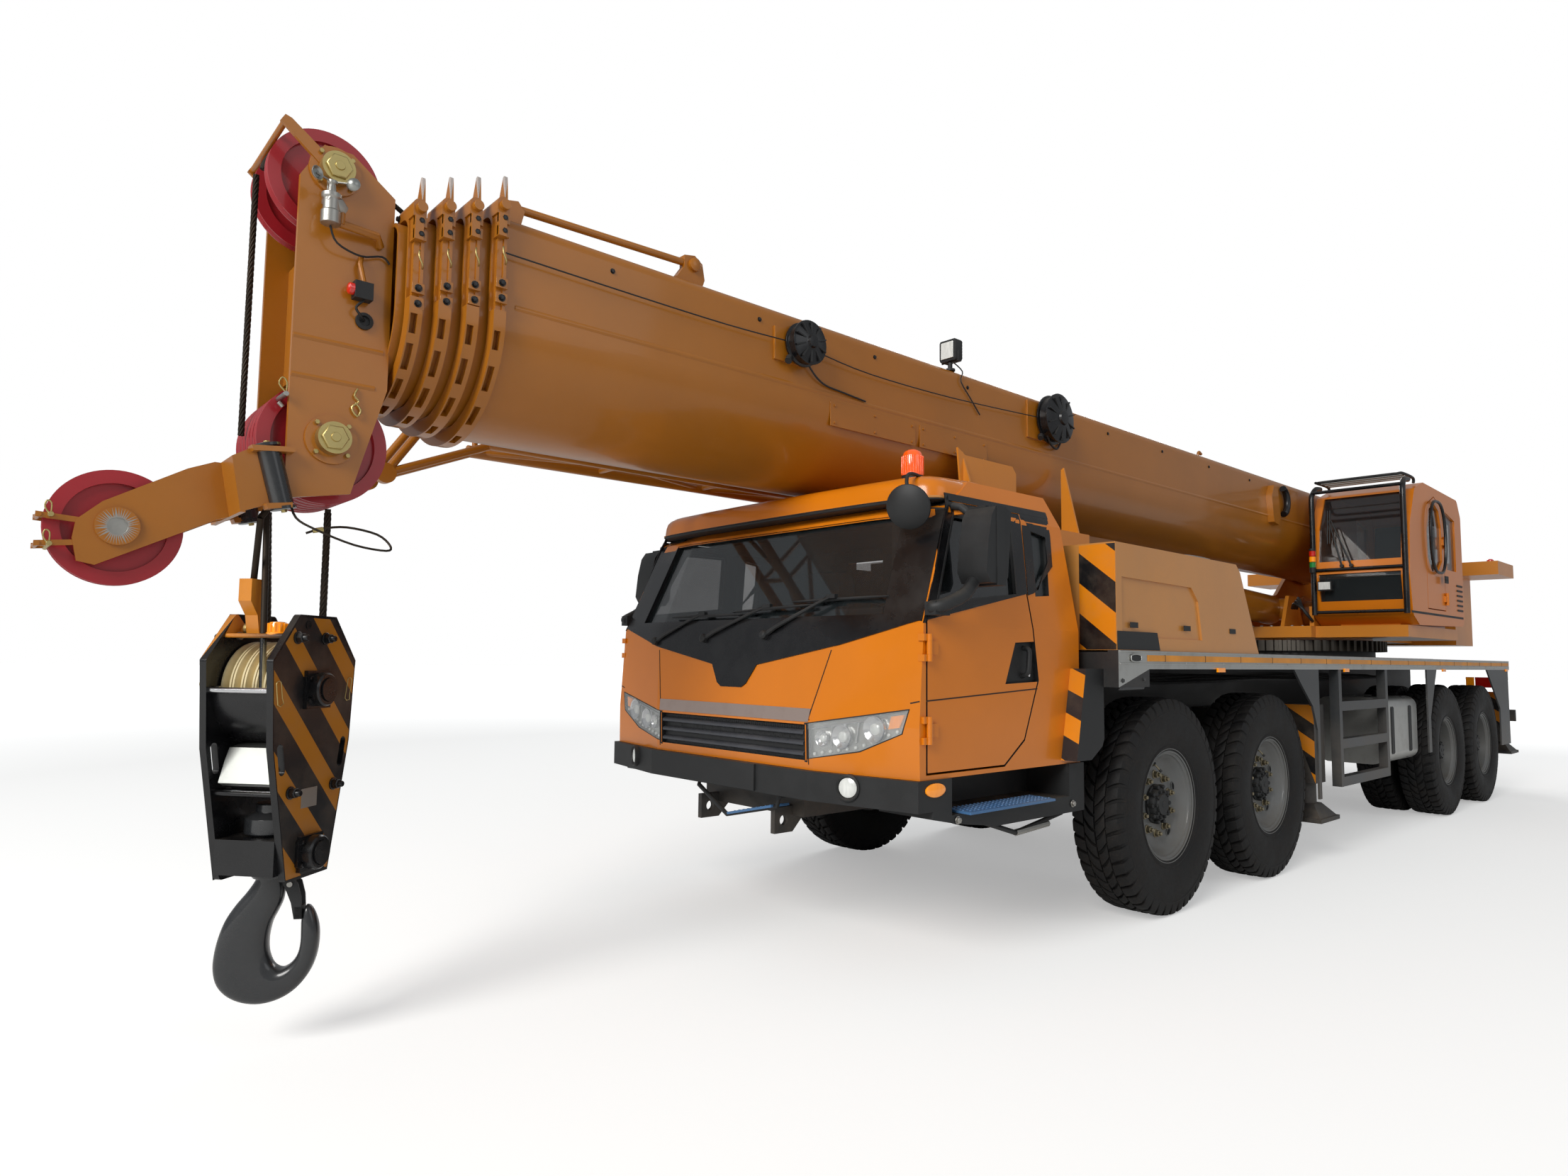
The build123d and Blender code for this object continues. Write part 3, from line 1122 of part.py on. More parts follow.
for number in range(1, 6):
    size = section_size(number)
    inner = section_size(number, BOOM_WALL)
    last = number == 5
    front = HEAD_REAR_X + 5 if last else collar_start(number) + COLLAR_LENGTH
    rear = BOOM_REAR_X + (number - 1) * 70
    with BuildPart() as section:
        section_solid(size, rear, front)
        if not last:
            collar(number)
        if number == 1:
            boom_foot()
        section_solid(inner, rear + 14, front + 1, Mode.SUBTRACT)
        if number > 1:
            # slide pads at the rear end
            outside = section_size(number - 1, BOOM_WALL)
            for name, side in SIDES:
                block(rear + 40, rear + 200, side * (size[0] - 4), side * (outside[0] - CLEAR),
                      size[1] - 200, size[1] - 100)
            block(rear + 40, rear + 200, -90, 90, size[1] - 4, outside[1] - CLEAR)
        if not last:
            # the slide pad under the next section
            nested = section_size(number + 1)
            block(front - 70, front - 5, -80, 80, inner[2] - 4, nested[2] - CLEAR)
        if number == 1:
            rod((FOOT_X, -BOOM_HALF - 30, FOOT_Z), (FOOT_X, BOOM_HALF + 30, FOOT_Z),
                FOOT_PIN + CLEAR, Mode.SUBTRACT)
            rod((CYL_EYE_X, -156, CYL_EYE_Z), (CYL_EYE_X, 156, CYL_EYE_Z), CYL_PIN)
        if last:
            head_plates()
            aux_arm()
    save(section, f"boom_{number}" if not last else "boom_head")

with BuildPart() as sheaves:
    for x, z, radius, count, pitch in (
        (HEAD_TOP_PIN_X, HEAD_TOP_PIN_Z, HEAD_TOP_SHEAVE, 2, 4 * SHEAVE_PITCH),
        (HEAD_LOW_PIN_X, HEAD_LOW_PIN_Z, HEAD_LOW_SHEAVE, 6, SHEAVE_PITCH),
    ):
        for n in range(count):
            y = (n - (count - 1) / 2) * pitch
            sheave((x, y, z), radius, SHEAVE_WIDTH, HEAD_PIN_RADIUS + CLEAR)
    sheave((AUX_PIN_X, 0, AUX_PIN_Z), AUX_RADIUS, SHEAVE_WIDTH, AUX_PIN_RADIUS + CLEAR)
save(sheaves, "head_sheaves")

# ---------------------------------------------------------------- stowed lattice jib
with BuildPart() as jib:
    # four chords, square frames between the bays, zigzag lacing and a nose with its pin lug
    y0, y1 = JIB_Y - JIB_WIDTH / 2, JIB_Y + JIB_WIDTH / 2
    z0, z1 = JIB_LOW, JIB_LOW + JIB_HEIGHT
    for y in (y0, y1):
        for z in (z0, z1):
            rod((JIB_REAR_X, y, z), (JIB_FRONT_X, y, z), JIB_TUBE)
    bay = (JIB_FRONT_X - JIB_REAR_X - 80) / JIB_BAYS
    frames = [JIB_REAR_X + 40 + n * bay for n in range(JIB_BAYS + 1)]
    for x in frames:
        for z in (z0, z1):
            rod((x, y0, z), (x, y1, z), JIB_LACING)
        for y in (y0, y1):
            rod((x, y, z0), (x, y, z1), JIB_LACING)
    for n, (x, ahead) in enumerate(zip(frames, frames[1:])):
        low, high = (z0, z1) if n % 2 == 0 else (z1, z0)
        near, far = (y0, y1) if n % 2 == 0 else (y1, y0)
        for y in (y0, y1):
            rod((x, y, low), (ahead, y, high), JIB_LACING)
        for z in (z0, z1):
            rod((x, near, z), (ahead, far, z), JIB_LACING)
    for y in (y0, y1):
        for z in (z0, z1):
            rod((JIB_FRONT_X - 40, y, z), (JIB_NOSE_X, y, JIB_NOSE_Z), JIB_LACING + 5)
        rod((JIB_NOSE_X, y - 20, JIB_NOSE_Z), (JIB_NOSE_X, y + 20, JIB_NOSE_Z), 48)
    rod((JIB_NOSE_X, y0, JIB_NOSE_Z), (JIB_NOSE_X, y1, JIB_NOSE_Z), 20)
    for x in (200, 4600):
        block(x - 60, x + 60, y1, -BOOM_HALF, z0 + 380, z0 + 440)
save(jib, "jib")

# ---------------------------------------------------------------- hook block
place = Pos(BLOCK_X, 0, 0) * Rot(0, 0, HOOK_TURN)
PLATE_INNER = BLOCK_GAP / 2
PLATE_OUTER = PLATE_INNER + BLOCK_PLATE


def block_width(z):
    """Half the width of the block's plates at a height, from their outline."""
    for (wide_1, high), (wide_2, low) in zip(BLOCK_OUTLINE, BLOCK_OUTLINE[1:]):
        if low <= z <= high:
            return wide_2 + (wide_1 - wide_2) * (z - low) / (high - low)


with BuildPart() as hook_block:
    outline = [(w, z) for w, z in BLOCK_OUTLINE] + [(-w, z) for w, z in BLOCK_OUTLINE[::-1]]
    for name, side in SIDES:
        with BuildSketch(Plane.XZ.offset(-max(side * PLATE_INNER, side * PLATE_OUTER))) as plate:
            Polygon(*outline, align=None)
            fillet(plate.vertices(), 18)
            for end in (-1, 1):
                with Locations((end * SLOT_X, SLOT_Z)):
                    SlotOverall(112, 32, rotation=90 - end * 11, mode=Mode.SUBTRACT)
        extrude(plate.sketch, amount=BLOCK_PLATE)
        # square bosses with round caps on the sheave pin and on the crossbeam's pin
        for z, half in ((BLOCK_PIN_Z, 69), ((BEAM_LOW + BEAM_HIGH) / 2, 63)):
            block(-half, half, side * (PLATE_OUTER - 1), side * (PLATE_OUTER + 16), z - half, z + half)
            rod((0, side * PLATE_OUTER, z), (0, side * (PLATE_OUTER + 58), z), BLOCK_PIN_RADIUS)
    # the round guard under the sheaves, open at the top
    with BuildSketch(Plane.XZ.offset(-PLATE_INNER)) as guard:
        with Locations((0, BLOCK_PIN_Z)):
            Circle(BLOCK_SHEAVE_RADIUS + 30)
            Circle(BLOCK_SHEAVE_RADIUS + 22, mode=Mode.SUBTRACT)
        with Locations((0, BLOCK_PIN_Z)):
            Rectangle(600, 300, align=(Align.CENTER, Align.MIN), mode=Mode.SUBTRACT)
    extrude(guard.sketch, amount=BLOCK_GAP)
    # cross rods along the edges
    for z in (1485, BLOCK_PIN_Z, 930):
        for end in (-1, 1):
            x = end * (block_width(z) - 22)
            rod((x, -PLATE_INNER, z), (x, PLATE_INNER, z), BLOCK_ROD_RADIUS)
    # crossbeam that carries the hook's shank
    block(-BEAM_HALF_LENGTH, BEAM_HALF_LENGTH, -PLATE_INNER, PLATE_INNER, BEAM_LOW, BEAM_HIGH)
    rod((0, 0, BEAM_LOW - 1), (0, 0, BEAM_HIGH + 1), SHANK_RADIUS + CLEAR, Mode.SUBTRACT)
    rod((0, -PLATE_INNER, BLOCK_PIN_Z), (0, PLATE_INNER, BLOCK_PIN_Z), BLOCK_PIN_RADIUS)
    for n in range(BLOCK_SHEAVES):
        y = (n - (BLOCK_SHEAVES - 1) / 2) * BLOCK_PITCH
        sheave((0, y, BLOCK_PIN_Z), BLOCK_SHEAVE_RADIUS, BLOCK_SHEAVE_WIDTH, BLOCK_PIN_RADIUS - 1)
    # wedge socket on its pin between the plates
    rod((60, -PLATE_INNER, 1506), (60, PLATE_INNER, 1506), 18)
    side_plate(((40, 1478), (96, 1478), (112, 1560), (150, 1610), (150, 1690), (76, 1690)), -75, -25)
hook_block.part = place * hook_block.part
with BuildPart() as falls:
    # one rope turn from the head to the block, and the dead end from the head's pin to the socket
    for end, reach in ((1, 150), (-1, 60)):
        top = HEAD_LOW_PIN_Z - math.sqrt(HEAD_LOW_SHEAVE**2 - (reach - FALL_RADIUS) ** 2) - 4
        foot = place * Pos(end * (BLOCK_SHEAVE_RADIUS - 12), BLOCK_PITCH, BLOCK_PIN_Z)
        rod(tuple(foot.position), (HEAD_LOW_PIN_X + end * reach, SHEAVE_PITCH / 2, top), FALL_RADIUS)
    x, y, z = HEAD_LOW_PIN_X, DEAD_END_Y, HEAD_LOW_PIN_Z
    rod((x, y - 14, z), (x, y + 14, z), HEAD_PIN_RADIUS + 30)
    socket = place * Pos(110, -50, 1680)
    rod(tuple(socket.position), DEAD_END, FALL_RADIUS)
    rod(DEAD_END, (x + 40, y, z - 40), FALL_RADIUS)
    rod((x, y - 15, z), (x, y + 15, z), HEAD_PIN_RADIUS + CLEAR, Mode.SUBTRACT)
hook_block.part = hook_block.part + falls.part
save(hook_block, "hook_block")

with BuildPart() as hook:
    rod((0, 0, 560), (0, 0, BEAM_HIGH + 100), SHANK_RADIUS)
    # the nut with its cone
    nut = ((BEAM_HIGH + CLEAR, 96), (BEAM_HIGH + 58, 96), (BEAM_HIGH + 76, 62), (BEAM_HIGH + 112, 62))
    with BuildSketch(Plane.XZ) as nut_face:
        Polygon((0, BEAM_HIGH + CLEAR), *[(radius, z) for z, radius in nut], (0, BEAM_HIGH + 112),
                align=None)
    revolve(nut_face.sketch, axis=Axis.Z)
    with BuildSketch(Plane.XZ.offset(-HOOK_THICK / 2)) as face:
        with Locations((0, HOOK_Z)):
            Circle(HOOK_RADIUS)
        Polygon((-HOOK_RADIUS, HOOK_Z), (-168, 410), (-100, 520), (-46, 640), (46, 640), (46, 560),
                (THROAT_X, HOOK_Z), align=None)
        Polygon((THROAT_X, HOOK_Z), (HOOK_RADIUS, HOOK_Z), (172, 430), (160, 500), (138, 526),
                (118, 510), (THROAT_X, 420), align=None)
        with Locations((THROAT_X, THROAT_Z)):
            Circle(THROAT_RADIUS, mode=Mode.SUBTRACT)
        Polygon((THROAT_X - THROAT_RADIUS, THROAT_Z), (THROAT_X - THROAT_RADIUS, 445), (47, 560),
                (47, 700), (THROAT_X + THROAT_RADIUS, 700), (THROAT_X + THROAT_RADIUS, THROAT_Z),
                align=None, mode=Mode.SUBTRACT)
    extrude(face.sketch, amount=HOOK_THICK)
hook.part = place * Rot(0, 0, HOOK_FACE) * hook.part
save(hook, "hook")
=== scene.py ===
import math

import bmesh
import bpy
from mathutils import Matrix, Vector


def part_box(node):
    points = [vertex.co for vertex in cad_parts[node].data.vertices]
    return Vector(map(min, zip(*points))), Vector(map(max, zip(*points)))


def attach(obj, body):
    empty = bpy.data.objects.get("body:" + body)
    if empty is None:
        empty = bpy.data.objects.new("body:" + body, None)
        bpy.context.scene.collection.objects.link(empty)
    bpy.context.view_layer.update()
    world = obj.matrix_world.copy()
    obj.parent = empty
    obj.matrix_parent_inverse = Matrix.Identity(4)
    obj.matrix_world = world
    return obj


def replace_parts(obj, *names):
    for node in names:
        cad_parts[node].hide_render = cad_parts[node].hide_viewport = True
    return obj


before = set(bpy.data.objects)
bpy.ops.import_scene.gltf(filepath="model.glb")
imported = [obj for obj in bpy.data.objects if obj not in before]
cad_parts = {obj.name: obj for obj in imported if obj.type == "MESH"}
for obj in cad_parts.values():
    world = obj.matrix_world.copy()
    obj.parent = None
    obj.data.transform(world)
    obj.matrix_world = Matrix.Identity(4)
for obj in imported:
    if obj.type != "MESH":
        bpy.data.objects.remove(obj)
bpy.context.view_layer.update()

# Looks for the four-axle truck crane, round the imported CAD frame.
# Metres. +X is forward, +Y left, +Z up, and the wheels stand on Z = 0.

SIDES = (("left", 1), ("right", -1))
AXLE_X = (2.08, 0.63, -3.5, -4.9)
WHEEL_Z = 0.613
SINGLE_Y = 1.152
TWIN_Y = 1.0375
TWIN_HALF_SPACING = 0.175


# ---------------------------------------------------------------- geometry
def turn_to(direction):
    """A matrix whose Z axis points along direction."""
    return Vector(direction).to_track_quat("Z", "Y").to_matrix().to_4x4()


def around(count, shift=0):
    """Even steps round a circle, as angles; the shift is a share of a step."""
    return [2 * math.pi * (n + shift) / count for n in range(count)]


class Piece:
    """Closed forms with their materials, joined as one object of the scene."""

    def __init__(self, name, body, slot, *materials):
        self.name, self.body, self.slot, self.materials = name, body, slot, materials
        self.mesh = bmesh.new()

    def add(self, points, faces, material=0, smooth=False, matrix=None):
        """One closed form from its corners and faces."""
        place = matrix or Matrix()
        made = [self.mesh.verts.new(place @ Vector(p)) for p in points]
        for face in faces:
            f = self.mesh.faces.new([made[n] for n in face])
            f.material_index = material
            f.smooth = smooth

    def rings(self, rings, material=0, smooth=True, closed=False, matrix=None):
        """A skin through rings of points with the same count in each."""
        count = len(rings[0])
        points = [p for ring in rings for p in ring]
        faces = []
        pairs = len(rings) if closed else len(rings) - 1
        for r in range(pairs):
            a, b = r * count, ((r + 1) % len(rings)) * count
            for n in range(count):
                m = (n + 1) % count
                faces.append((a + n, a + m, b + m, b + n))
        if not closed:
            faces.append(tuple(range(count))[::-1])
            last = (len(rings) - 1) * count
            faces.append(tuple(last + n for n in range(count)))
        self.add(points, faces, material, smooth, matrix)

    def box(self, low, high, material=0, matrix=None):
        (x0, y0, z0), (x1, y1, z1) = low, high
        x0, x1 = min(x0, x1), max(x0, x1)
        y0, y1 = min(y0, y1), max(y0, y1)
        z0, z1 = min(z0, z1), max(z0, z1)
        points = [(x, y, z) for x in (x0, x1) for y in (y0, y1) for z in (z0, z1)]
        faces = ((0, 1, 3, 2), (4, 6, 7, 5), (0, 4, 5, 1), (2, 3, 7, 6), (0, 2, 6, 4), (1, 5, 7, 3))
        self.add(points, faces, material, False, matrix)

    def prism(self, outline, axis, low, high, material=0, matrix=None):
        """An outline in the other two axes, in their order, drawn out along axis."""
        def at(u, v, w):
            return {"x": (w, u, v), "y": (u, w, v), "z": (u, v, w)}[axis]
        count = len(outline)
        points = [at(u, v, low) for u, v in outline] + [at(u, v, high) for u, v in outline]
        faces = [tuple(range(count))[::-1], tuple(range(count, 2 * count))]
        for n in range(count):
            m = (n + 1) % count
            faces.append((n, m, count + m, count + n))
        self.add(points, faces, material, False, matrix)

    def tube(self, path, radius, material=0, sides=10, closed=False):
        """A round bar that follows a path of points."""
        points = [Vector(p) for p in path]
        count = len(points)
        rings = []
        normal = None
        for n in range(count):
            if closed:
                ahead, back = points[(n + 1) % count], points[n - 1]
            else:
                ahead, back = points[min(n + 1, count - 1)], points[max(n - 1, 0)]
            along = (ahead - back).normalized()
            if normal is None:
                normal = along.orthogonal().normalized()
            normal = (normal - along * normal.dot(along)).normalized()
            across = along.cross(normal)
            r = radius[n] if isinstance(radius, (list, tuple)) else radius
            rings.append([points[n] + (normal * math.cos(a) + across * math.sin(a)) * r
                for a in around(sides)])
        self.rings(rings, material, True, closed)

    def lathe(self, outline, centre, axis, material=0, sides=32, smooth=True, closed=False):
        """An outline of (along the axis, radius) points turned about the axis."""
        place = Matrix.Translation(centre) @ turn_to(axis)
        rings = []
        for along, radius in outline:
            r = max(radius, 1e-5)
            rings.append([(r * math.cos(a), r * math.sin(a), along) for a in around(sides)])
        self.rings(rings, material, smooth, closed, matrix=place)

    def bend(self, path, steps, radius, material=0, sides=10):
        """A round bar along a smooth curve through points."""
        self.tube(smooth_run(path, steps), radius, material, sides)

    def rod(self, start, end, radius, material=0, sides=16):
        start, end = Vector(start), Vector(end)
        length = (end - start).length
        self.lathe(((0, radius), (length, radius)), start, end - start, material, sides)

    def bolt(self, centre, axis, radius, height, material=0):
        """A hexagon head with a small washer."""
        self.lathe(((0, radius * 1.35), (height * 0.25, radius * 1.35)), centre, axis, material, 12)
        base = Vector(centre) + Vector(axis).normalized() * height * 0.25
        self.lathe(((0, radius), (height * 0.75, radius), (height * 0.8, radius * 0.85)), base, axis,
            material, 6, False)

    def done(self, bevel=0.0, segments=2, angle=35):
        """Makes the object, with eased edges, and ties it to its body."""
        bmesh.ops.recalc_face_normals(self.mesh, faces=self.mesh.faces)
        data = bpy.data.meshes.new(self.name)
        self.mesh.to_mesh(data)
        self.mesh.free()
        data.set_sharp_from_angle(angle=math.radians(angle))
        obj = bpy.data.objects.new(self.name, data)
        bpy.context.scene.collection.objects.link(obj)
        for entry in self.materials:
            data.materials.append(entry)
        if bevel:
            ease = obj.modifiers.new("edges", "BEVEL")
            ease.width, ease.segments = bevel, segments
            ease.limit_method, ease.angle_limit = "ANGLE", math.radians(angle)
            ease.harden_normals = True
        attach(obj, self.body)
        return obj


# ---------------------------------------------------------------- materials
def srgb(red, green, blue):
    """A colour as seen on a screen, 0 to 255, in the linear values that nodes take."""
    def line(v):
        v /= 255
        return v / 12.92 if v <= 0.04045 else ((v + 0.055) / 1.055) ** 2.4
    return (line(red), line(green), line(blue), 1.0)


class Look:
    """A node material built step by step."""

    def __init__(self, name):
        self.material = bpy.data.materials.new(name)
        self.material.use_nodes = True
        self.tree = self.material.node_tree
        self.shader = self.tree.nodes["Principled BSDF"]
        self.place = self.node("ShaderNodeTexCoord").outputs["Object"]

    def node(self, kind, **values):
        made = self.tree.nodes.new(kind)
        for key, value in values.items():
            setattr(made, key, value)
        return made

    def link(self, source, target):
        self.tree.links.new(source, target)

    def noise(self, scale, detail=4.0, rough=0.55, stretch=None):
        """Noise from 0 to 1 over the object's own coordinates, in metres."""
        made = self.node("ShaderNodeTexNoise")
        made.inputs["Scale"].default_value = scale
        made.inputs["Detail"].default_value = detail
        made.inputs["Roughness"].default_value = rough
        source = self.place
        if stretch:
            mapping = self.node("ShaderNodeMapping")
            mapping.inputs["Scale"].default_value = stretch
            self.link(source, mapping.inputs["Vector"])
            source = mapping.outputs["Vector"]
        self.link(source, made.inputs["Vector"])
        return made.outputs["Fac"]

    def span(self, source, low, high, out_low=0.0, out_high=1.0):
        made = self.node("ShaderNodeMapRange")
        made.inputs["From Min"].default_value = low
        made.inputs["From Max"].default_value = high
        made.inputs["To Min"].default_value = out_low
        made.inputs["To Max"].default_value = out_high
        self.link(source, made.inputs["Value"])
        return made.outputs["Result"]

    def math(self, operation, a, b=None, c=None):
        made = self.node("ShaderNodeMath", operation=operation)
        for index, value in enumerate((a, b, c)):
            if value is None:
                continue
            if isinstance(value, (int, float)):
                made.inputs[index].default_value = value
            else:
                self.link(value, made.inputs[index])
        return made.outputs[0]

    def mix(self, share, a, b):
        """One colour into another by a share that varies."""
        made = self.node("ShaderNodeMix", data_type="RGBA")
        self.link(share, made.inputs["Factor"])
        for socket, value in (("A", a), ("B", b)):
            target = [i for i in made.inputs if i.name == socket and i.type == "RGBA"][0]
            if isinstance(value, tuple):
                target.default_value = value
            else:
                self.link(value, target)
        return [o for o in made.outputs if o.type == "RGBA"][0]

    def axis(self, which):
        split = self.node("ShaderNodeSeparateXYZ")
        self.link(self.place, split.inputs[0])
        return split.outputs["XYZ".index(which)]

    def facing_up(self):
        """1 on faces that look up, 0 on the others."""
        geometry = self.node("ShaderNodeNewGeometry")
        split = self.node("ShaderNodeSeparateXYZ")
        self.link(geometry.outputs["Normal"], split.inputs[0])
        return self.span(split.outputs[2], 0.3, 0.95)

    def bump(self, height, distance, strength=1.0):
        made = self.node("ShaderNodeBump")
        made.inputs["Distance"].default_value = distance
        made.inputs["Strength"].default_value = strength
        self.link(height, made.inputs["Height"])
        if self.shader.inputs["Normal"].is_linked:
            before = self.shader.inputs["Normal"].links[0].from_socket
            self.link(before, made.inputs["Normal"])
        self.link(made.outputs["Normal"], self.shader.inputs["Normal"])

    def set(self, **values):
        names = {"colour": "Base Color", "rough": "Roughness", "metal": "Metallic",
            "coat": "Coat Weight", "coat_rough": "Coat Roughness", "glow": "Emission Strength",
            "glow_colour": "Emission Color", "through": "Transmission Weight", "ior": "IOR",
            "specular": "Specular IOR Level", "alpha": "Alpha"}
        for key, value in values.items():
            socket = self.shader.inputs[names[key]]
            if isinstance(value, (int, float, tuple)):
                socket.default_value = value
            else:
                self.link(value, socket)


def paint(name, colour, rough=0.3, coat=0.6, dust=0.25, dust_colour=(150, 128, 104), grain=0.0004,
        shade=0.9, low_dirt=0.0):
    """Sprayed paint: faint colour drift, orange peel, dust on what looks up and in the lows."""
    look = Look(name)
    base = srgb(*colour)
    dark = tuple(c * shade for c in base[:3]) + (1.0,)
    drift = look.span(look.noise(1.7, 5.0), 0.3, 0.7)
    mixed = look.mix(drift, dark, base)
    specks = look.span(look.noise(55.0, 8.0, 0.7), 0.45, 0.75)
    cloud = look.span(look.noise(2.6, 9.0, 0.68), 0.35, 0.75)
    settled = look.math("MULTIPLY_ADD", look.facing_up(), 0.7, 0.3)
    amount = look.math("MULTIPLY", look.math("MULTIPLY", cloud, settled), dust)
    amount = look.math("MULTIPLY_ADD", specks, dust * 0.16, amount)
    if low_dirt:
        low = look.span(look.axis("Z"), 1.3, 0.5, 0.0, low_dirt)
        amount = look.math("ADD", amount, look.math("MULTIPLY", low, cloud))
    look.set(colour=look.mix(amount, mixed, srgb(*dust_colour)))
    look.set(rough=look.math("MULTIPLY_ADD", amount, 0.5, rough), coat=coat, coat_rough=0.08)
    look.bump(look.noise(420.0, 2.0), grain, 0.25)
    look.bump(look.noise(3.5, 2.0), 0.002, 0.15)
    return look.material


def plastic(name, colour, rough=0.5, grain=0.0006, dust=0.2, metal=0.0, scale=260.0):
    """Moulded plastic or matt steel with a fine grain and a little dust."""
    look = Look(name)
    base = srgb(*colour)
    worn = tuple(c * 1.5 + 0.006 for c in base[:3]) + (1.0,)
    cloud = look.span(look.noise(4.0, 8.0, 0.65), 0.4, 0.75)
    mixed = look.mix(cloud, base, worn)
    amount = look.math("MULTIPLY", look.facing_up(), look.math("MULTIPLY", cloud, dust))
    look.set(colour=look.mix(amount, mixed, srgb(140, 126, 108)))
    look.set(rough=look.math("MULTIPLY_ADD", cloud, 0.18, rough), metal=metal)
    look.bump(look.noise(scale, 3.0), grain, 0.5)
    return look.material


def bare_metal(name, colour, rough=0.3, stretch=(1.0, 1.0, 14.0), stain=(70, 52, 38), amount=0.25):
    """Brushed or machined metal with faint stains."""
    look = Look(name)
    base = srgb(*colour)
    cloud = look.span(look.noise(6.0, 8.0, 0.7), 0.5, 0.8)
    share = look.math("MULTIPLY", cloud, amount)
    look.set(colour=look.mix(share, base, srgb(*stain)), metal=1.0)
    brushed = look.noise(90.0, 4.0, 0.6, stretch)
    look.set(rough=look.math("MULTIPLY_ADD", brushed, 0.2, rough))
    look.bump(brushed, 0.0005, 0.25)
    return look.material


def striped(name, direction, period, first, second, offset=0.0, share_first=0.5, rough=0.35):
    """Warning stripes across a direction in the object's own coordinates."""
    look = Look(name)
    dot = look.node("ShaderNodeVectorMath", operation="DOT_PRODUCT")
    dot.inputs[1].default_value = Vector(direction).normalized()
    look.link(look.place, dot.inputs[0])
    scaled = look.math("MULTIPLY_ADD", dot.outputs["Value"], 1 / period, 1000.5 - offset / period)
    part = look.math("ABSOLUTE", look.math("SUBTRACT", look.math("FRACT", scaled), 0.5))
    share = look.span(part, share_first / 2 - 0.004, share_first / 2 + 0.004)
    mixed = look.mix(share, srgb(*first), srgb(*second))
    cloud = look.span(look.noise(5.0, 8.0, 0.7), 0.45, 0.8, 0.0, 0.22)
    look.set(colour=look.mix(cloud, mixed, srgb(146, 124, 100)))
    look.set(rough=look.math("MULTIPLY_ADD", cloud, 0.8, rough), coat=0.25, coat_rough=0.15)
    look.bump(look.noise(300.0, 2.0), 0.0004, 0.3)
    return look.material


def mesh_look(name, rib, opening_shade, size):
    """A moulded honeycomb: pale ribs round near-black cells, which are painted shade for the openings."""
    look = Look(name)
    cells = look.node("ShaderNodeTexVoronoi", feature="DISTANCE_TO_EDGE")
    cells.inputs["Scale"].default_value = 1 / size
    cells.inputs["Randomness"].default_value = 0.12
    look.link(look.place, cells.inputs["Vector"])
    share = look.span(cells.outputs["Distance"], 0.10, 0.16)
    look.set(colour=look.mix(share, srgb(*rib), srgb(*opening_shade)), rough=0.5)
    look.bump(look.span(cells.outputs["Distance"], 0.05, 0.3, 1.0, 0.0), 0.004, 0.8)
    return look.material


def rubber(name):
    look = Look(name)
    cloud = look.span(look.noise(7.0, 9.0, 0.7), 0.4, 0.75)
    fine = look.span(look.noise(60.0, 6.0, 0.7), 0.45, 0.8)
    mixed = look.mix(cloud, srgb(15, 15, 16), srgb(30, 27, 25))
    dirt = look.math("MULTIPLY", fine, look.math("MULTIPLY_ADD", cloud, 0.22, 0.04))
    look.set(colour=look.mix(dirt, mixed, srgb(84, 72, 60)))
    look.set(rough=look.math("MULTIPLY_ADD", cloud, 0.2, 0.62), specular=0.35)
    look.bump(look.noise(180.0, 4.0), 0.0012, 0.5)
    return look.material


def clear_glass(name, tint, alpha=0.5, rough=0.02):
    """Glass that lets the room behind show: a tinted, glossy, part see-through skin."""
    look = Look(name)
    smear = look.span(look.noise(3.0, 7.0, 0.7), 0.45, 0.8, 0.0, 0.10)
    look.set(colour=srgb(*tint), rough=look.math("ADD", smear, rough), specular=0.8)
    look.set(alpha=look.math("MULTIPLY_ADD", smear, 0.6, alpha), coat=1.0, coat_rough=0.01)
    return look.material


def lamp_glass(name, colour, glow=0.0, rough=0.12):
    look = Look(name)
    ribs = look.noise(70.0, 1.0, 0.5, (1.0, 1.0, 0.2))
    look.set(colour=look.mix(look.span(ribs, 0.3, 0.7), srgb(*colour),
        tuple(min(1, c * 1.25) for c in srgb(*colour)[:3]) + (1.0,)))
    look.set(rough=rough, coat=1.0, coat_rough=0.03, specular=0.7)
    if glow:
        look.set(glow=glow, glow_colour=srgb(*colour))
    look.bump(ribs, 0.001, 0.4)
    return look.material


AMBER = (222, 124, 8)
OCHRE = (172, 104, 14)
cab_paint = paint("cab_paint", AMBER, 0.30, 0.35, 0.06, (160, 96, 30))
dusty_paint = paint("dusty_paint", (206, 138, 62), 0.32, 0.5, 0.75, (176, 140, 104))
boom_paint = paint("boom_paint", OCHRE, 0.34, 0.35, 0.22, (150, 118, 80), shade=0.86)
turn_paint = paint("turn_paint", (216, 134, 30), 0.34, 0.4, 0.35, (150, 120, 90))
black_gloss = plastic("black_gloss", (14, 14, 16), 0.22, 0.0002, 0.25)
black_matt = plastic("black_matt", (26, 27, 28), 0.52, 0.0007, 0.3)
dark_paint = paint("dark_paint", (44, 47, 50), 0.42, 0.2, 0.35, (120, 110, 98), low_dirt=0.35)
under_paint = paint("under_paint", (34, 35, 37), 0.5, 0.1, 0.4, (110, 98, 84), low_dirt=0.5)
tyre_rubber = rubber("tyre_rubber")
rim_paint = paint("rim_paint", (104, 106, 106), 0.42, 0.2, 0.55, (96, 86, 72), low_dirt=0.3)
steel = bare_metal("steel", (176, 174, 168), 0.32)
dark_steel = bare_metal("dark_steel", (92, 88, 82), 0.42)
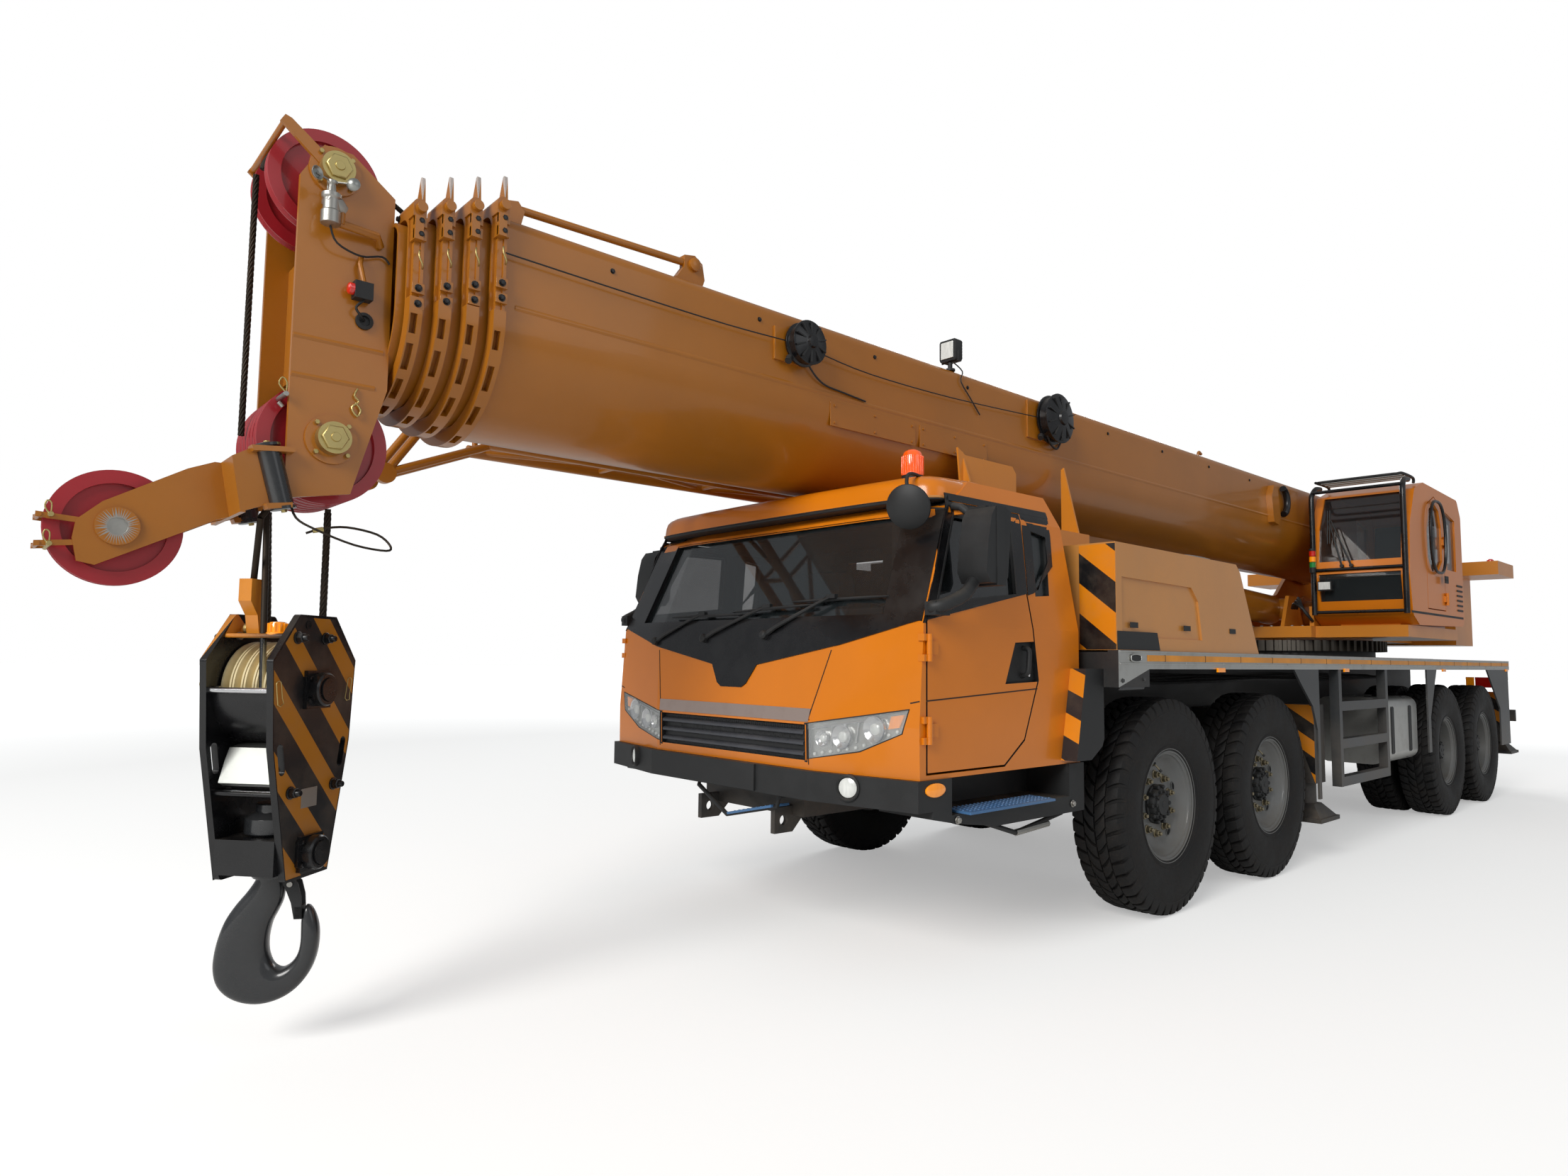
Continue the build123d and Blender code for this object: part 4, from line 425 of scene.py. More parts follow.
aluminium = bare_metal("aluminium", (198, 198, 194), 0.28, (16.0, 1.0, 1.0), (120, 110, 96), 0.35)
chrome = bare_metal("chrome", (214, 214, 216), 0.08, amount=0.06)
zinc = bare_metal("zinc", (196, 178, 120), 0.34, stain=(120, 96, 60), amount=0.4)
sheave_red = paint("sheave_red", (168, 26, 38), 0.4, 0.3, 0.3, (110, 70, 60))
sheave_cream = plastic("sheave_cream", (196, 180, 138), 0.42, 0.0005, 0.4)
hook_black = paint("hook_black", (34, 36, 39), 0.26, 0.5, 0.25, (96, 92, 86))
glass_cab = clear_glass("glass_cab", (40, 46, 48), 0.42)
glass_side = clear_glass("glass_side", (30, 34, 36), 0.62)
seat_cloth = plastic("seat_cloth", (52, 54, 58), 0.85, 0.0012, 0.1, scale=520.0)
nut_metal = bare_metal("nut_metal", (150, 140, 116), 0.36, amount=0.5)
# painted shade: a near-black fill for the shade inside the wheel discs' hand holes
hole_shade = plastic("hole_shade", (8, 8, 8), 0.8, 0.0005, 0.0)
# painted shade: a darkened amber for the shade in panel gaps, laid as strips along the seams
seam_shade = plastic("seam_shade", (38, 22, 8), 0.6, 0.0002, 0.0)
strip_metal = bare_metal("strip_metal", (206, 186, 176), 0.36, (1.0, 14.0, 1.0), (150, 110, 90), 0.2)
bar_grey = plastic("bar_grey", (58, 60, 66), 0.36, 0.0004, 0.2)
lamp_silver = bare_metal("lamp_silver", (190, 190, 186), 0.22, amount=0.1)
step_blue = paint("step_blue", (58, 108, 158), 0.45, 0.1, 0.5, (150, 158, 164))
interior_dark = plastic("interior_dark", (40, 42, 45), 0.7, 0.0008, 0.15)
# the honeycomb's near-black cells are painted shade for its openings
grille_mesh = mesh_look("grille_mesh", (30, 31, 33), (7, 7, 8), 0.017)
lens_glass = clear_glass("lens_glass", (210, 214, 214), 0.22, 0.01)
rail_amber = plastic("rail_amber", (204, 132, 30), 0.35, 0.0002, 0.2)
# painted highlight: a pale colour that stands for the sky light caught on the boom fins' tops
fin_sky_highlight = plastic("fin_sky_highlight", (176, 166, 160), 0.5, 0.0004, 0.3)
rope_dark = bare_metal("rope_dark", (62, 56, 50), 0.5, amount=0.6)
shroud_metal = bare_metal("shroud_metal", (168, 170, 166), 0.30, (1.0, 1.0, 8.0), amount=0.15)
amber_lens = lamp_glass("amber_lens", (240, 140, 10), 0.25)
red_lens = lamp_glass("red_lens", (190, 22, 12), 0.15)
orange_lens = lamp_glass("orange_lens", (232, 84, 8), 0.3)
green_lens = lamp_glass("green_lens", (20, 120, 50), 0.1)
clear_lens = lamp_glass("clear_lens", (212, 214, 210), 0.05)

NODE_LOOKS = {"cab_shell": cab_paint, "door_left": cab_paint, "door_right": cab_paint,
    "cab_glass": glass_cab, "door_glass_left": glass_side, "door_glass_right": glass_side,
    "operator_glass": glass_cab, "operator_door_glass": glass_side, "cab_trim": black_matt,
    "hoods": dusty_paint, "engine": under_paint, "deck": under_paint, "side_frames": dark_paint,
    "fuel_tank": aluminium, "axles": under_paint, "chassis_frame": under_paint,
    "slewing_ring": dark_steel, "turntable": turn_paint, "counterweight": turn_paint,
    "operator_cab": cab_paint, "operator_door": cab_paint, "lift_barrel": boom_paint,
    "lift_rod": chrome, "boom_1": boom_paint, "boom_2": boom_paint, "boom_3": boom_paint,
    "boom_4": boom_paint, "boom_head": boom_paint, "head_sheaves": sheave_red, "jib": boom_paint,
    "hook_block": black_gloss, "hook": hook_black,}
for name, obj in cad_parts.items():
    look = NODE_LOOKS.get(name)
    if look is None:
        look = {"tyre": tyre_rubber, "rim_": rim_paint}.get(name[:4], under_paint)
    obj.data.materials.clear()
    obj.data.materials.append(look)

# ---------------------------------------------------------------- camera, light and stage
CAMERA_AT = Vector((7.351, 3.836, 1.423))
CAMERA_YAW = math.radians(228.13)
CAMERA_PITCH = math.radians(4.345)
CAMERA_ROLL = math.radians(0.631)
camera_data = bpy.data.cameras.new("camera")
camera_data.lens, camera_data.sensor_width, camera_data.clip_end = 21.47, 36.0, 400.0
camera = bpy.data.objects.new("camera", camera_data)
bpy.context.scene.collection.objects.link(camera)
forward = Vector((math.cos(CAMERA_YAW) * math.cos(CAMERA_PITCH),
    math.sin(CAMERA_YAW) * math.cos(CAMERA_PITCH), math.sin(CAMERA_PITCH)))
right = Vector((math.sin(CAMERA_YAW), -math.cos(CAMERA_YAW), 0.0))
up = right.cross(forward)
tilted_right = right * math.cos(CAMERA_ROLL) + up * math.sin(CAMERA_ROLL)
tilted_up = up * math.cos(CAMERA_ROLL) - right * math.sin(CAMERA_ROLL)
axes = Matrix((tilted_right, tilted_up, -forward)).transposed().to_4x4()
camera.matrix_world = Matrix.Translation(CAMERA_AT) @ axes
bpy.context.scene.camera = camera


def area_light(name, at, aim, size, power, colour=(1, 1, 1)):
    data = bpy.data.lights.new(name, "AREA")
    data.shape, data.size, data.energy, data.color = "DISK", size, power, colour
    lamp = bpy.data.objects.new(name, data)
    bpy.context.scene.collection.objects.link(lamp)
    lamp.location = at
    lamp.rotation_euler = (Vector(aim) - Vector(at)).to_track_quat("-Z", "Y").to_euler()


area_light("front", (24.0, 6.0, 13.0), (2.0, 0.0, 1.5), 12.0, 4200.0, (1.0, 0.985, 0.96))
area_light("side", (-2.0, 22.0, 12.0), (-1.0, 0.0, 1.6), 14.0, 420.0, (0.96, 0.98, 1.0))
area_light("back", (-18.0, -12.0, 12.0), (-2.0, 0.0, 1.5), 12.0, 1300.0)

world = bpy.data.worlds.new("studio")
bpy.context.scene.world = world
world.use_nodes = True
nodes, links = world.node_tree.nodes, world.node_tree.links
nodes.clear()
path = nodes.new("ShaderNodeLightPath")
seen = nodes.new("ShaderNodeMath")
seen.operation = "MAXIMUM"
links.new(path.outputs["Is Camera Ray"], seen.inputs[0])
links.new(path.outputs["Is Transmission Ray"], seen.inputs[1])
soft = nodes.new("ShaderNodeBackground")
soft.inputs["Color"].default_value = (0.93, 0.96, 1.0, 1.0)
soft.inputs["Strength"].default_value = 0.34
plain = nodes.new("ShaderNodeBackground")
plain.inputs["Color"].default_value = (1.0, 1.0, 1.0, 1.0)
choose = nodes.new("ShaderNodeMixShader")
output = nodes.new("ShaderNodeOutputWorld")
links.new(seen.outputs[0], choose.inputs[0])
links.new(soft.outputs[0], choose.inputs[1])
links.new(plain.outputs[0], choose.inputs[2])
links.new(choose.outputs[0], output.inputs["Surface"])
bpy.context.scene.view_settings.view_transform = "Standard"

floor_look = Look("floor")
floor_look.set(colour=srgb(236, 236, 234), rough=0.9, specular=0.1)
floor_path = floor_look.node("ShaderNodeLightPath")
floor_place = floor_look.node("ShaderNodeNewGeometry")
floor_reach = floor_look.node("ShaderNodeVectorMath")
floor_reach.operation = "LENGTH"
floor_look.link(floor_place.outputs["Position"], floor_reach.inputs[0])
floor_far = floor_look.node("ShaderNodeMapRange")
floor_look.link(floor_reach.outputs["Value"], floor_far.inputs["Value"])
for name, value in (("From Min", 12.0), ("From Max", 34.0), ("To Min", 0.38), ("To Max", 1.1)):
    floor_far.inputs[name].default_value = value
floor_look.link(floor_look.math("MULTIPLY", floor_path.outputs["Is Camera Ray"],
    floor_far.outputs["Result"]), floor_look.shader.inputs["Emission Strength"])
floor_look.set(glow_colour=(1.0, 1.0, 1.0, 1.0))
FLOOR_HALF = 120.0
floor_mesh = bpy.data.meshes.new("floor")
floor_mesh.from_pydata([(-FLOOR_HALF, -FLOOR_HALF, 0), (FLOOR_HALF, -FLOOR_HALF, 0),
    (FLOOR_HALF, FLOOR_HALF, 0), (-FLOOR_HALF, FLOOR_HALF, 0)], [], [(0, 1, 2, 3)])
floor = bpy.data.objects.new("floor", floor_mesh)
floor_mesh.materials.append(floor_look.material)
bpy.context.scene.collection.objects.link(floor)


# ---------------------------------------------------------------- helpers for the details
def recolour(node, look, test):
    """Gives another look to the faces of a CAD node whose middle and facing pass a test."""
    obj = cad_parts[node]
    obj.data.materials.append(look)
    turn = obj.matrix_world.to_3x3()
    for face in obj.data.polygons:
        if test(obj.matrix_world @ face.center, (turn @ face.normal).normalized()):
            face.material_index = len(obj.data.materials) - 1


def curve_at(points, share):
    """The point at a share of the length of a run of points."""
    lengths = [(Vector(b) - Vector(a)).length for a, b in zip(points, points[1:])]
    left = share * sum(lengths)
    for (a, b), length in zip(zip(points, points[1:]), lengths):
        if left <= length or (a, b) == (points[-2], points[-1]):
            return Vector(a).lerp(Vector(b), left / length)
        left -= length


def smooth_run(points, steps):
    """A Catmull-Rom curve through points of any width."""
    points = [tuple(p) for p in points]
    ends = [points[0]] + points + [points[-1]]
    made = []
    for n in range(len(points) - 1):
        before, a, b, after = ends[n:n + 4]
        for k in range(steps):
            t = k / steps
            made.append(tuple(0.5 * (2 * q + (r - p) * t + (2 * p - 5 * q + 4 * r - s) * t * t
                + (3 * q - p - 3 * r + s) * t ** 3) for p, q, r, s in zip(before, a, b, after)))
    made.append(points[-1])
    return made


def wire_rope(piece, path, radius, material, strands=6, lay=0.13, step=0.011):
    """A laid rope: strands that wind round a path."""
    total = sum((Vector(b) - Vector(a)).length for a, b in zip(path, path[1:]))
    count = max(4, int(total / step))
    middle = [curve_at(path, n / count) for n in range(count + 1)]
    normal = (middle[1] - middle[0]).orthogonal().normalized()
    frames = []
    for n, point in enumerate(middle):
        along = (middle[min(n + 1, count)] - middle[max(n - 1, 0)]).normalized()
        normal = (normal - along * normal.dot(along)).normalized()
        frames.append((point, normal, along.cross(normal)))
    for k in range(strands):
        turns = []
        for n, (point, across, over) in enumerate(frames):
            angle = 2 * math.pi * (k / strands + total * n / count / lay)
            turns.append(point + (across * math.cos(angle) + over * math.sin(angle)) * radius * 0.64)
        piece.tube(turns, radius * 0.36, material, 6)


def arc_points(centre, radius, start, end, count):
    """Points of a flat arc, angles in degrees."""
    made = []
    for n in range(count + 1):
        angle = math.radians(start + (end - start) * n / count)
        made.append((centre[0] + radius * math.cos(angle), centre[1] + radius * math.sin(angle)))
    return made


# ---------------------------------------------------------------- tyres and rims
TREAD_PITCHES = 46
GROOVE = 0.017
CARCASS = (  # across the tyre and its radius, from the bead to the tread's middle
    (-0.118, 0.302), (-0.128, 0.322), (-0.140, 0.338), (-0.136, 0.350), (-0.147, 0.385),
    (-0.1535, 0.430), (-0.1550, 0.470), (-0.1515, 0.510), (-0.1490, 0.528), (-0.1515, 0.533),
    (-0.1485, 0.541), (-0.1435, 0.560), (-0.1360, 0.580), (-0.1240, 0.5915), (-0.0700, 0.5945),
    (0.0, 0.5955),
)
SHOULDER = ((-0.1495, 0.541), (-0.1465, 0.562), (-0.1400, 0.590), (-0.1300, 0.6085), (-0.1000, 0.6112),
    (-0.0660, 0.6122))
CROWN = ((-0.0610, 0.6122), (-0.0300, 0.6128), (-0.0040, 0.6129))


def tread_block(piece, line, side, start, width, slant, wave, centre, dip):
    """A raised block that follows a line across the tread, its grooves slanted and waved."""
    rows = 6 if len(line) > 3 else 4
    points = []
    for r in range(rows + 1):
        share = r / rows
        y, radius = curve_at(line, share)
        turn = start + slant * share + wave * math.sin(math.pi * share)
        wide = width * (1.0 - 0.10 * math.sin(math.pi * share))
        for c, lift in ((0.0, -dip), (0.04, -0.0015), (0.12, 0.0), (0.5, 0.0), (0.88, 0.0),
                (0.96, -0.0015), (1.0, -dip)):
            ends = 0.0 if 0 < r < rows else -0.004
            if r in (0, rows) and c in (0.0, 1.0):
                ends = 0.0
            reach = radius + lift + ends
            angle = turn + wide * (c - 0.5)
            points.append((centre[0] + reach * math.cos(angle), centre[1] + side * y,
                centre[2] + reach * math.sin(angle)))
    columns = 7
    faces = []
    for r in range(rows):
        for c in range(columns - 1):
            a = r * columns + c
            faces.append((a, a + 1, a + columns + 1, a + columns))
    base = len(points)
    for row in (0, rows):
        y, radius = line[0] if row == 0 else line[-1]
        for c in range(columns):
            x, py, z = points[row * columns + c]
            flat = Vector((x - centre[0], 0, z - centre[2])).normalized() * (radius - dip)
            points.append((centre[0] + flat.x, py, centre[2] + flat.z))
    for c in range(columns - 1):
        faces.append((c + 1, c, base + c, base + c + 1))
        last = rows * columns + c
        faces.append((last, last + 1, base + columns + c + 1, base + columns + c))
    piece.add(points, faces, 0, False)


def tyre(piece, centre):
    """One tyre: a ribbed carcass with waved shoulder lugs and two rows of crown blocks."""
    outline = list(CARCASS) + [(-y, r) for y, r in reversed(CARCASS[:-1])]
    piece.lathe(outline, centre, (0, 1, 0), 0, 96, closed=True)
    step = 2 * math.pi / TREAD_PITCHES
    for n in range(TREAD_PITCHES):
        for side in (1, -1):
            shift = step * (n + (0.5 if side < 0 else 0.0))
            tread_block(piece, SHOULDER, side, shift, step * 0.86, -step * 0.35, step * 0.16, centre,
                GROOVE)
            tread_block(piece, CROWN, side, shift + step * 0.1, step * 0.84, -step * 0.75, -step * 0.10,
                centre, GROOVE)


RIM_LIP = (  # along the axis from the tyre's middle and the radius, outside of the wheel
    (0.128, 0.318), (0.1285, 0.330), (0.124, 0.3335), (0.119, 0.330), (0.1185, 0.316),
    (0.124, 0.306), (0.1205, 0.300), (0.112, 0.3015), (0.108, 0.297), (0.104, 0.2885),
    (0.096, 0.286), (0.090, 0.281),
)


WHEEL_NUTS = 10
NUT_CIRCLE = 0.1675
HAND_HOLES = 5
HOLE_CIRCLE = 0.2285
HUB_BOLTS = 10
HUB_CIRCLE = 0.076
FLANGE_CIRCLE = 0.103
VALVE_ANGLE = 1.1


def on_wheel(centre, out, along, radius, angle):
    """A point at a radius and angle round a wheel's axis, so far along it."""
    return (centre[0] + radius * math.cos(angle), centre[1] + out * along,
        centre[2] + radius * math.sin(angle))


def rim(piece, centre, out, disc, depth, inner):
    """A deep steel rim with its lock ring, a dished disc, ten nuts and a bolted hub."""
    axis = (0, out, 0)
    outline = list(RIM_LIP) + [(disc + 0.055, 0.276), (disc + 0.030, 0.262), (disc + 0.012, 0.238),
        (disc + 0.007, 0.205), (disc + 0.007, 0.100), (disc - 0.010, 0.100), (disc - 0.010, 0.205),
        (disc - 0.004, 0.245), (disc + 0.010, 0.272), (disc + 0.020, 0.287), (-0.120, 0.296),
        (-0.128, 0.330), (-0.118, 0.330), (-0.112, 0.309), (0.100, 0.309), (0.112, 0.318)]
    piece.lathe(outline, centre, axis, 0, 96, closed=True)
    for angle in around(WHEEL_NUTS, 0.5):
        at = on_wheel(centre, out, disc + 0.007, NUT_CIRCLE, angle)
        piece.lathe(((0, 0.025), (0.004, 0.025), (0.006, 0.022)), at, axis, 2, 20)
        piece.lathe(((0.005, 0.0195), (0.024, 0.0195), (0.027, 0.017)), at, axis, 2, 6, False)
        piece.lathe(((0.02, 0.011), (0.038, 0.011), (0.041, 0.009)), at, axis, 2, 14)
    for angle in around(HAND_HOLES, 0.2):  # the disc's hand holes: a rolled edge round a near-black plug, a painted shade that fills each opening
        ring = []
        for turn in around(14):
            spread, high = 0.11 * math.cos(turn), 0.014 * math.sin(turn)
            r = HOLE_CIRCLE + high
            along = disc + 0.0105 + (r - 0.205) * 0.13
            ring.append(on_wheel(centre, out, along, r, angle + spread))
        piece.tube(ring, 0.0028, 0, 6, True)
        middle = sum((Vector(p) for p in ring), Vector()) / len(ring)
        inner_ring = [Vector(p).lerp(middle, 0.04) for p in ring]
        inner_ring = [p + Vector((0, out * 0.0015, 0)) for p in inner_ring]
        low_ring = [p - Vector((0, out * 0.006, 0)) for p in inner_ring]
        # the near-black plug in the opening is painted shade
        piece.rings((low_ring, inner_ring), 3, False)
    piece.lathe(((disc - 0.01, 0.112), (disc + 0.018, 0.112), (disc + 0.024, 0.106),
        (disc + 0.024, 0.098), (disc + depth - 0.022, 0.094), (disc + depth - 0.012, 0.088),
        (disc + depth - 0.012, 0.062), (disc + depth, 0.058), (disc + depth, 0.020),
        (disc + depth + 0.004, 0.014)), centre, axis, 1, 48)
    for angle in around(HUB_BOLTS):
        at = on_wheel(centre, out, disc + depth - 0.012, HUB_CIRCLE, angle)
        piece.bolt(at, axis, 0.0085, 0.012, 1)
        at = on_wheel(centre, out, disc + 0.018, FLANGE_CIRCLE, angle)
        piece.lathe(((0, 0.012), (0.03, 0.012), (0.034, 0.009)), at, axis, 1, 10)
    stem = on_wheel(centre, out, disc + 0.04, 0.262, VALVE_ANGLE)
    bend = (stem[0], stem[1] + out * 0.035, stem[2])
    end = (centre[0] + 0.235 * math.cos(VALVE_ANGLE), bend[1] + out * 0.018,
        centre[2] + 0.235 * math.sin(VALVE_ANGLE))
    piece.tube((stem, bend, end), 0.005, 2, 8)
    piece.tube((end, Vector(end).lerp(Vector(bend), -0.5)), 0.0075, 1, 10)
    if inner:  # the brake drum behind the disc
        piece.lathe(((-0.15, 0.062), (-0.15, 0.205), (disc - 0.02, 0.205), (disc - 0.02, 0.11)), centre,
            axis, 1, 40)


for number, axle_x in enumerate(AXLE_X, 1):
    for side_name, side in SIDES:
        twin = number > 2
        middle = TWIN_Y if twin else SINGLE_Y
        offsets = (TWIN_HALF_SPACING, -TWIN_HALF_SPACING) if twin else (0.0,)
        rubber_piece = Piece(f"tyre_{number}_{side_name}_tread", f"wheel_{number}_{side_name}", "tyre",
            tyre_rubber)
        for offset in offsets:
            tyre(rubber_piece, (axle_x, side * (middle + offset), WHEEL_Z))
        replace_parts(rubber_piece.done(angle=30), f"tyre_{number}_{side_name}")
        rim_piece = Piece(f"rim_{number}_{side_name}_dish", f"wheel_{number}_{side_name}", "rim_paint",
            rim_paint, black_matt, nut_metal, hole_shade)
        outer = side * (middle + offsets[0])
        if twin:
            rim(rim_piece, (axle_x, outer, WHEEL_Z), side, -0.085, 0.165, False)
            rim(rim_piece, (axle_x, side * (middle + offsets[1]), WHEEL_Z), -side, -0.085, 0.02, True)
        else:
            rim(rim_piece, (axle_x, outer, WHEEL_Z), side, 0.030, 0.062, True)
        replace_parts(rim_piece.done(angle=30), f"rim_{number}_{side_name}")

# ---------------------------------------------------------------- hook block and hook
BLOCK_X = 6.410
BLOCK = Matrix.Translation((BLOCK_X, 0, 0)) @ Matrix.Rotation(math.radians(40), 4, "Z")
HOOK = Matrix.Translation((BLOCK_X, 0, 0)) @ Matrix.Rotation(math.radians(150), 4, "Z")
PLATE_OUT = 0.140
PLATE_IN = 0.115
BLOCK_PINS = (1.293, 0.7065)
SHEAVE_AXIS_Z = 1.293

plate_axis = BLOCK.to_3x3() @ Vector((0, 1, 0))
plate_stripes = striped("block_stripes", BLOCK.to_3x3() @ Vector((0.743, 0, -0.670)), 0.173,
    (172, 108, 14), (18, 19, 22), offset=0.743 * (BLOCK.to_3x3()
    @ Vector((1, 0, 0))).x * BLOCK_X - 1.055, share_first=0.42)


def in_block(point):
    return BLOCK.inverted() @ point


recolour("hook_block", plate_stripes, lambda p, n: abs(n.dot(plate_axis)) > 0.95
    and abs(in_block(p).y) > PLATE_OUT - 0.002 and abs(in_block(p).y) < PLATE_OUT + 0.002)
recolour("hook_block", sheave_cream, lambda p, n: abs(in_block(p).y) < PLATE_IN - 0.002
    and math.hypot(in_block(p).x, p.z - SHEAVE_AXIS_Z) < 0.174 and p.z > 1.15)
recolour("hook_block", turn_paint, lambda p, n: 1.478 < p.z < 1.70 and in_block(p).y < -0.02
    and 0.03 < in_block(p).x < 0.16)
recolour("hook_block", rope_dark, lambda p, n: p.z > 1.57 and not (1.478 < p.z < 1.70
    and in_block(p).y < -0.02 and 0.03 < in_block(p).x < 0.16))

HOOK_STATIONS = (  # outer and inner edge of the forging in its own plane, thickness, squareness
    (-0.046, 0.660, 0.046, 0.660, 0.092, 2.0), (-0.047, 0.612, 0.047, 0.600, 0.092, 2.1),
    (-0.072, 0.566, 0.049, 0.560, 0.092, 2.4), (-0.110, 0.516, 0.044, 0.525, 0.092, 2.8),
    (-0.141, 0.464, 0.030, 0.490, 0.093, 3.1), (-0.161, 0.405, 0.012, 0.450, 0.094, 3.2),
    (-0.172, 0.345, 0.003, 0.400, 0.095, 3.2), (-0.173, 0.290, 0.004, 0.355, 0.095, 3.2),
    (-0.158, 0.238, 0.012, 0.325, 0.095, 3.2), (-0.122, 0.198, 0.023, 0.303, 0.095, 3.2),
    (-0.070, 0.173, 0.036, 0.291, 0.095, 3.2), (-0.010, 0.166, 0.050, 0.286, 0.094, 3.2),
    (0.052, 0.180, 0.064, 0.290, 0.092, 3.1), (0.104, 0.213, 0.082, 0.303, 0.088, 3.0),
    (0.142, 0.262, 0.098, 0.323, 0.084, 2.9), (0.164, 0.318, 0.108, 0.348, 0.080, 2.8),
    (0.172, 0.378, 0.112, 0.382, 0.075, 2.7), (0.169, 0.432, 0.111, 0.420, 0.068, 2.6),
    (0.156, 0.476, 0.110, 0.452, 0.058, 2.4), (0.140, 0.503, 0.113, 0.478, 0.044, 2.2),
    (0.127, 0.509, 0.118, 0.494, 0.024, 2.0),
)
forging = Piece("hook_forging", "hook", "hook_black", hook_black, black_matt, steel)
rings = []
for x0, z0, x1, z1, thick, square in smooth_run(HOOK_STATIONS, 4):
    ring = []
    for a in around(32):
        u = math.copysign(abs(math.cos(a)) ** (2 / square), math.cos(a))
        v = math.copysign(abs(math.sin(a)) ** (2 / square), math.sin(a))
        ring.append(((x0 + x1) / 2 + u * (x1 - x0) / 2, v * thick / 2, (z0 + z1) / 2 + u * (z1 - z0) / 2))
    rings.append(ring)
forging.rings(rings, 0, True, matrix=HOOK)
forging.lathe(((0.64, 0.046), (0.770, 0.046), (0.770, 0.090), (0.776, 0.096), (0.828, 0.096),
    (0.846, 0.074), (0.850, 0.066), (0.850, 0.062), (0.876, 0.062), (0.880, 0.058)), (BLOCK_X, 0, 0),
    (0, 0, 1), 0, 48, False)
forging.lathe(((0.612, 0.060), (0.620, 0.066), (0.634, 0.066), (0.642, 0.058)), (BLOCK_X, 0, 0),
    (0, 0, 1), 0, 40)
LATCH = ((0.046, 0.592), (0.080, 0.606), (0.098, 0.590), (0.111, 0.542), (0.117, 0.462), (0.090, 0.462),
    (0.078, 0.520), (0.062, 0.560))
for y in (-0.030, 0.022):
    forging.prism(LATCH, "y", y, y + 0.008, 1, HOOK)
forging.prism(((0.090, 0.462), (0.117, 0.462), (0.114, 0.506), (0.088, 0.506)), "y", -0.030, 0.030, 1, HOOK)
forging.lathe(((-0.036, 0.010), (0.036, 0.010)), HOOK @ Vector((0.072, 0, 0.588)),
    HOOK.to_3x3() @ Vector((0, 1, 0)), 2, 12)
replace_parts(forging.done(bevel=0.002, angle=40), "hook")

block = Piece("block_fittings", "hook_block", "black_plastic", black_gloss, steel, chrome, amber_lens,
    zinc, turn_paint, shroud_metal)
inward = BLOCK.to_3x3()
for side in (1, -1):
    out = inward @ Vector((0, side, 0))
    for z in BLOCK_PINS:
        y0, y1 = side * PLATE_OUT, side * (PLATE_OUT + 0.012)
        block.prism(((-0.072, z - 0.040), (-0.060, z - 0.052), (0.060, z - 0.052), (0.072, z - 0.040),
            (0.072, z + 0.046), (0.060, z + 0.058), (-0.060, z + 0.058), (-0.072, z + 0.046)), "y", y0,
            y1, 0, BLOCK)
        for x in (-0.056, 0.056):
            for up_down in (-0.038, 0.042):
                block.bolt(BLOCK @ Vector((x, y1, z + up_down)), out, 0.0085, 0.011, 0)
        block.lathe(((0.0, 0.061), (0.034, 0.061), (0.040, 0.055), (0.040, 0.044), (0.037, 0.042),
            (0.037, 0.010)), BLOCK @ Vector((0, y1, z)), out, 0, 40)
    for x, z in ((0.116, 1.480), (-0.043, 1.480), (0.116, 0.932), (-0.128, 0.934)):
        at = BLOCK @ Vector((x, side * PLATE_OUT, z))
        block.lathe(((0, 0.023), (0.005, 0.023), (0.006, 0.021)), at, out, 0, 20)
        block.lathe(((0.004, 0.019), (0.024, 0.019), (0.027, 0.016)), at, out, 0, 6, False)
        block.lathe(((0.02, 0.0115), (0.040, 0.0115), (0.043, 0.009)), at, out, 0, 14)
    at = BLOCK @ Vector((0.056, side * PLATE_OUT, 1.527))
    block.lathe(((0, 0.017), (0.003, 0.017), (0.003, 0.009), (0.0005, 0.009)), at, out, 0, 20)
    block.box((-0.034, side * PLATE_OUT, 0.868), (0.054, side * (PLATE_OUT + 0.002), 0.937), 1, BLOCK)
    for x in (-0.028, 0.048):
        for z in (0.874, 0.931):
            block.lathe(((0, 0.003), (0.002, 0.0025)), BLOCK @ Vector((x, side * (PLATE_OUT + 0.002),
                z)), out, 1, 8)
    for x, z, lean in ((0.205, 1.285, 0.22), (-0.192, 1.290, -0.15)):  # spring clips
        place = BLOCK @ Matrix.Translation((x, side * (PLATE_OUT + 0.007), z)) @ Matrix.Rotation(lean,
            4, "Y")
        clip = [place @ Vector((u, 0, w)) for u, w in [(-0.010, -0.020), (-0.012, 0.020)]
            + arc_points((0.0, 0.030), 0.013, 160, -20, 8) + [(0.014, 0.010), (0.016, -0.038),
            (0.004, -0.046), (-0.014, -0.040), (-0.010, -0.020)]]
        block.tube(clip, 0.0018, 4, 6)
    edge = [(half, z) for half, z in ((0.105, 1.564), (0.239, 1.399), (0.217, 1.090), (0.118, 0.618))]
    loop = edge + [(-x, z) for x, z in reversed(edge)]
    for (x0, z0), (x1, z1) in zip(loop, loop[1:] + loop[:1]):  # the dark painted rim of the plate
        middle = Vector((0, 1.1))
        ring0 = [Vector((x0, z0)), Vector((x0, z0)).lerp(middle, 0.022)]
        ring1 = [Vector((x1, z1)), Vector((x1, z1)).lerp(middle, 0.022)]
        block.prism([(p.x, p.y) for p in (ring0[0], ring1[0], ring1[1], ring0[1])], "y",
            side * PLATE_OUT, side * (PLATE_OUT + 0.0006), 0, BLOCK)

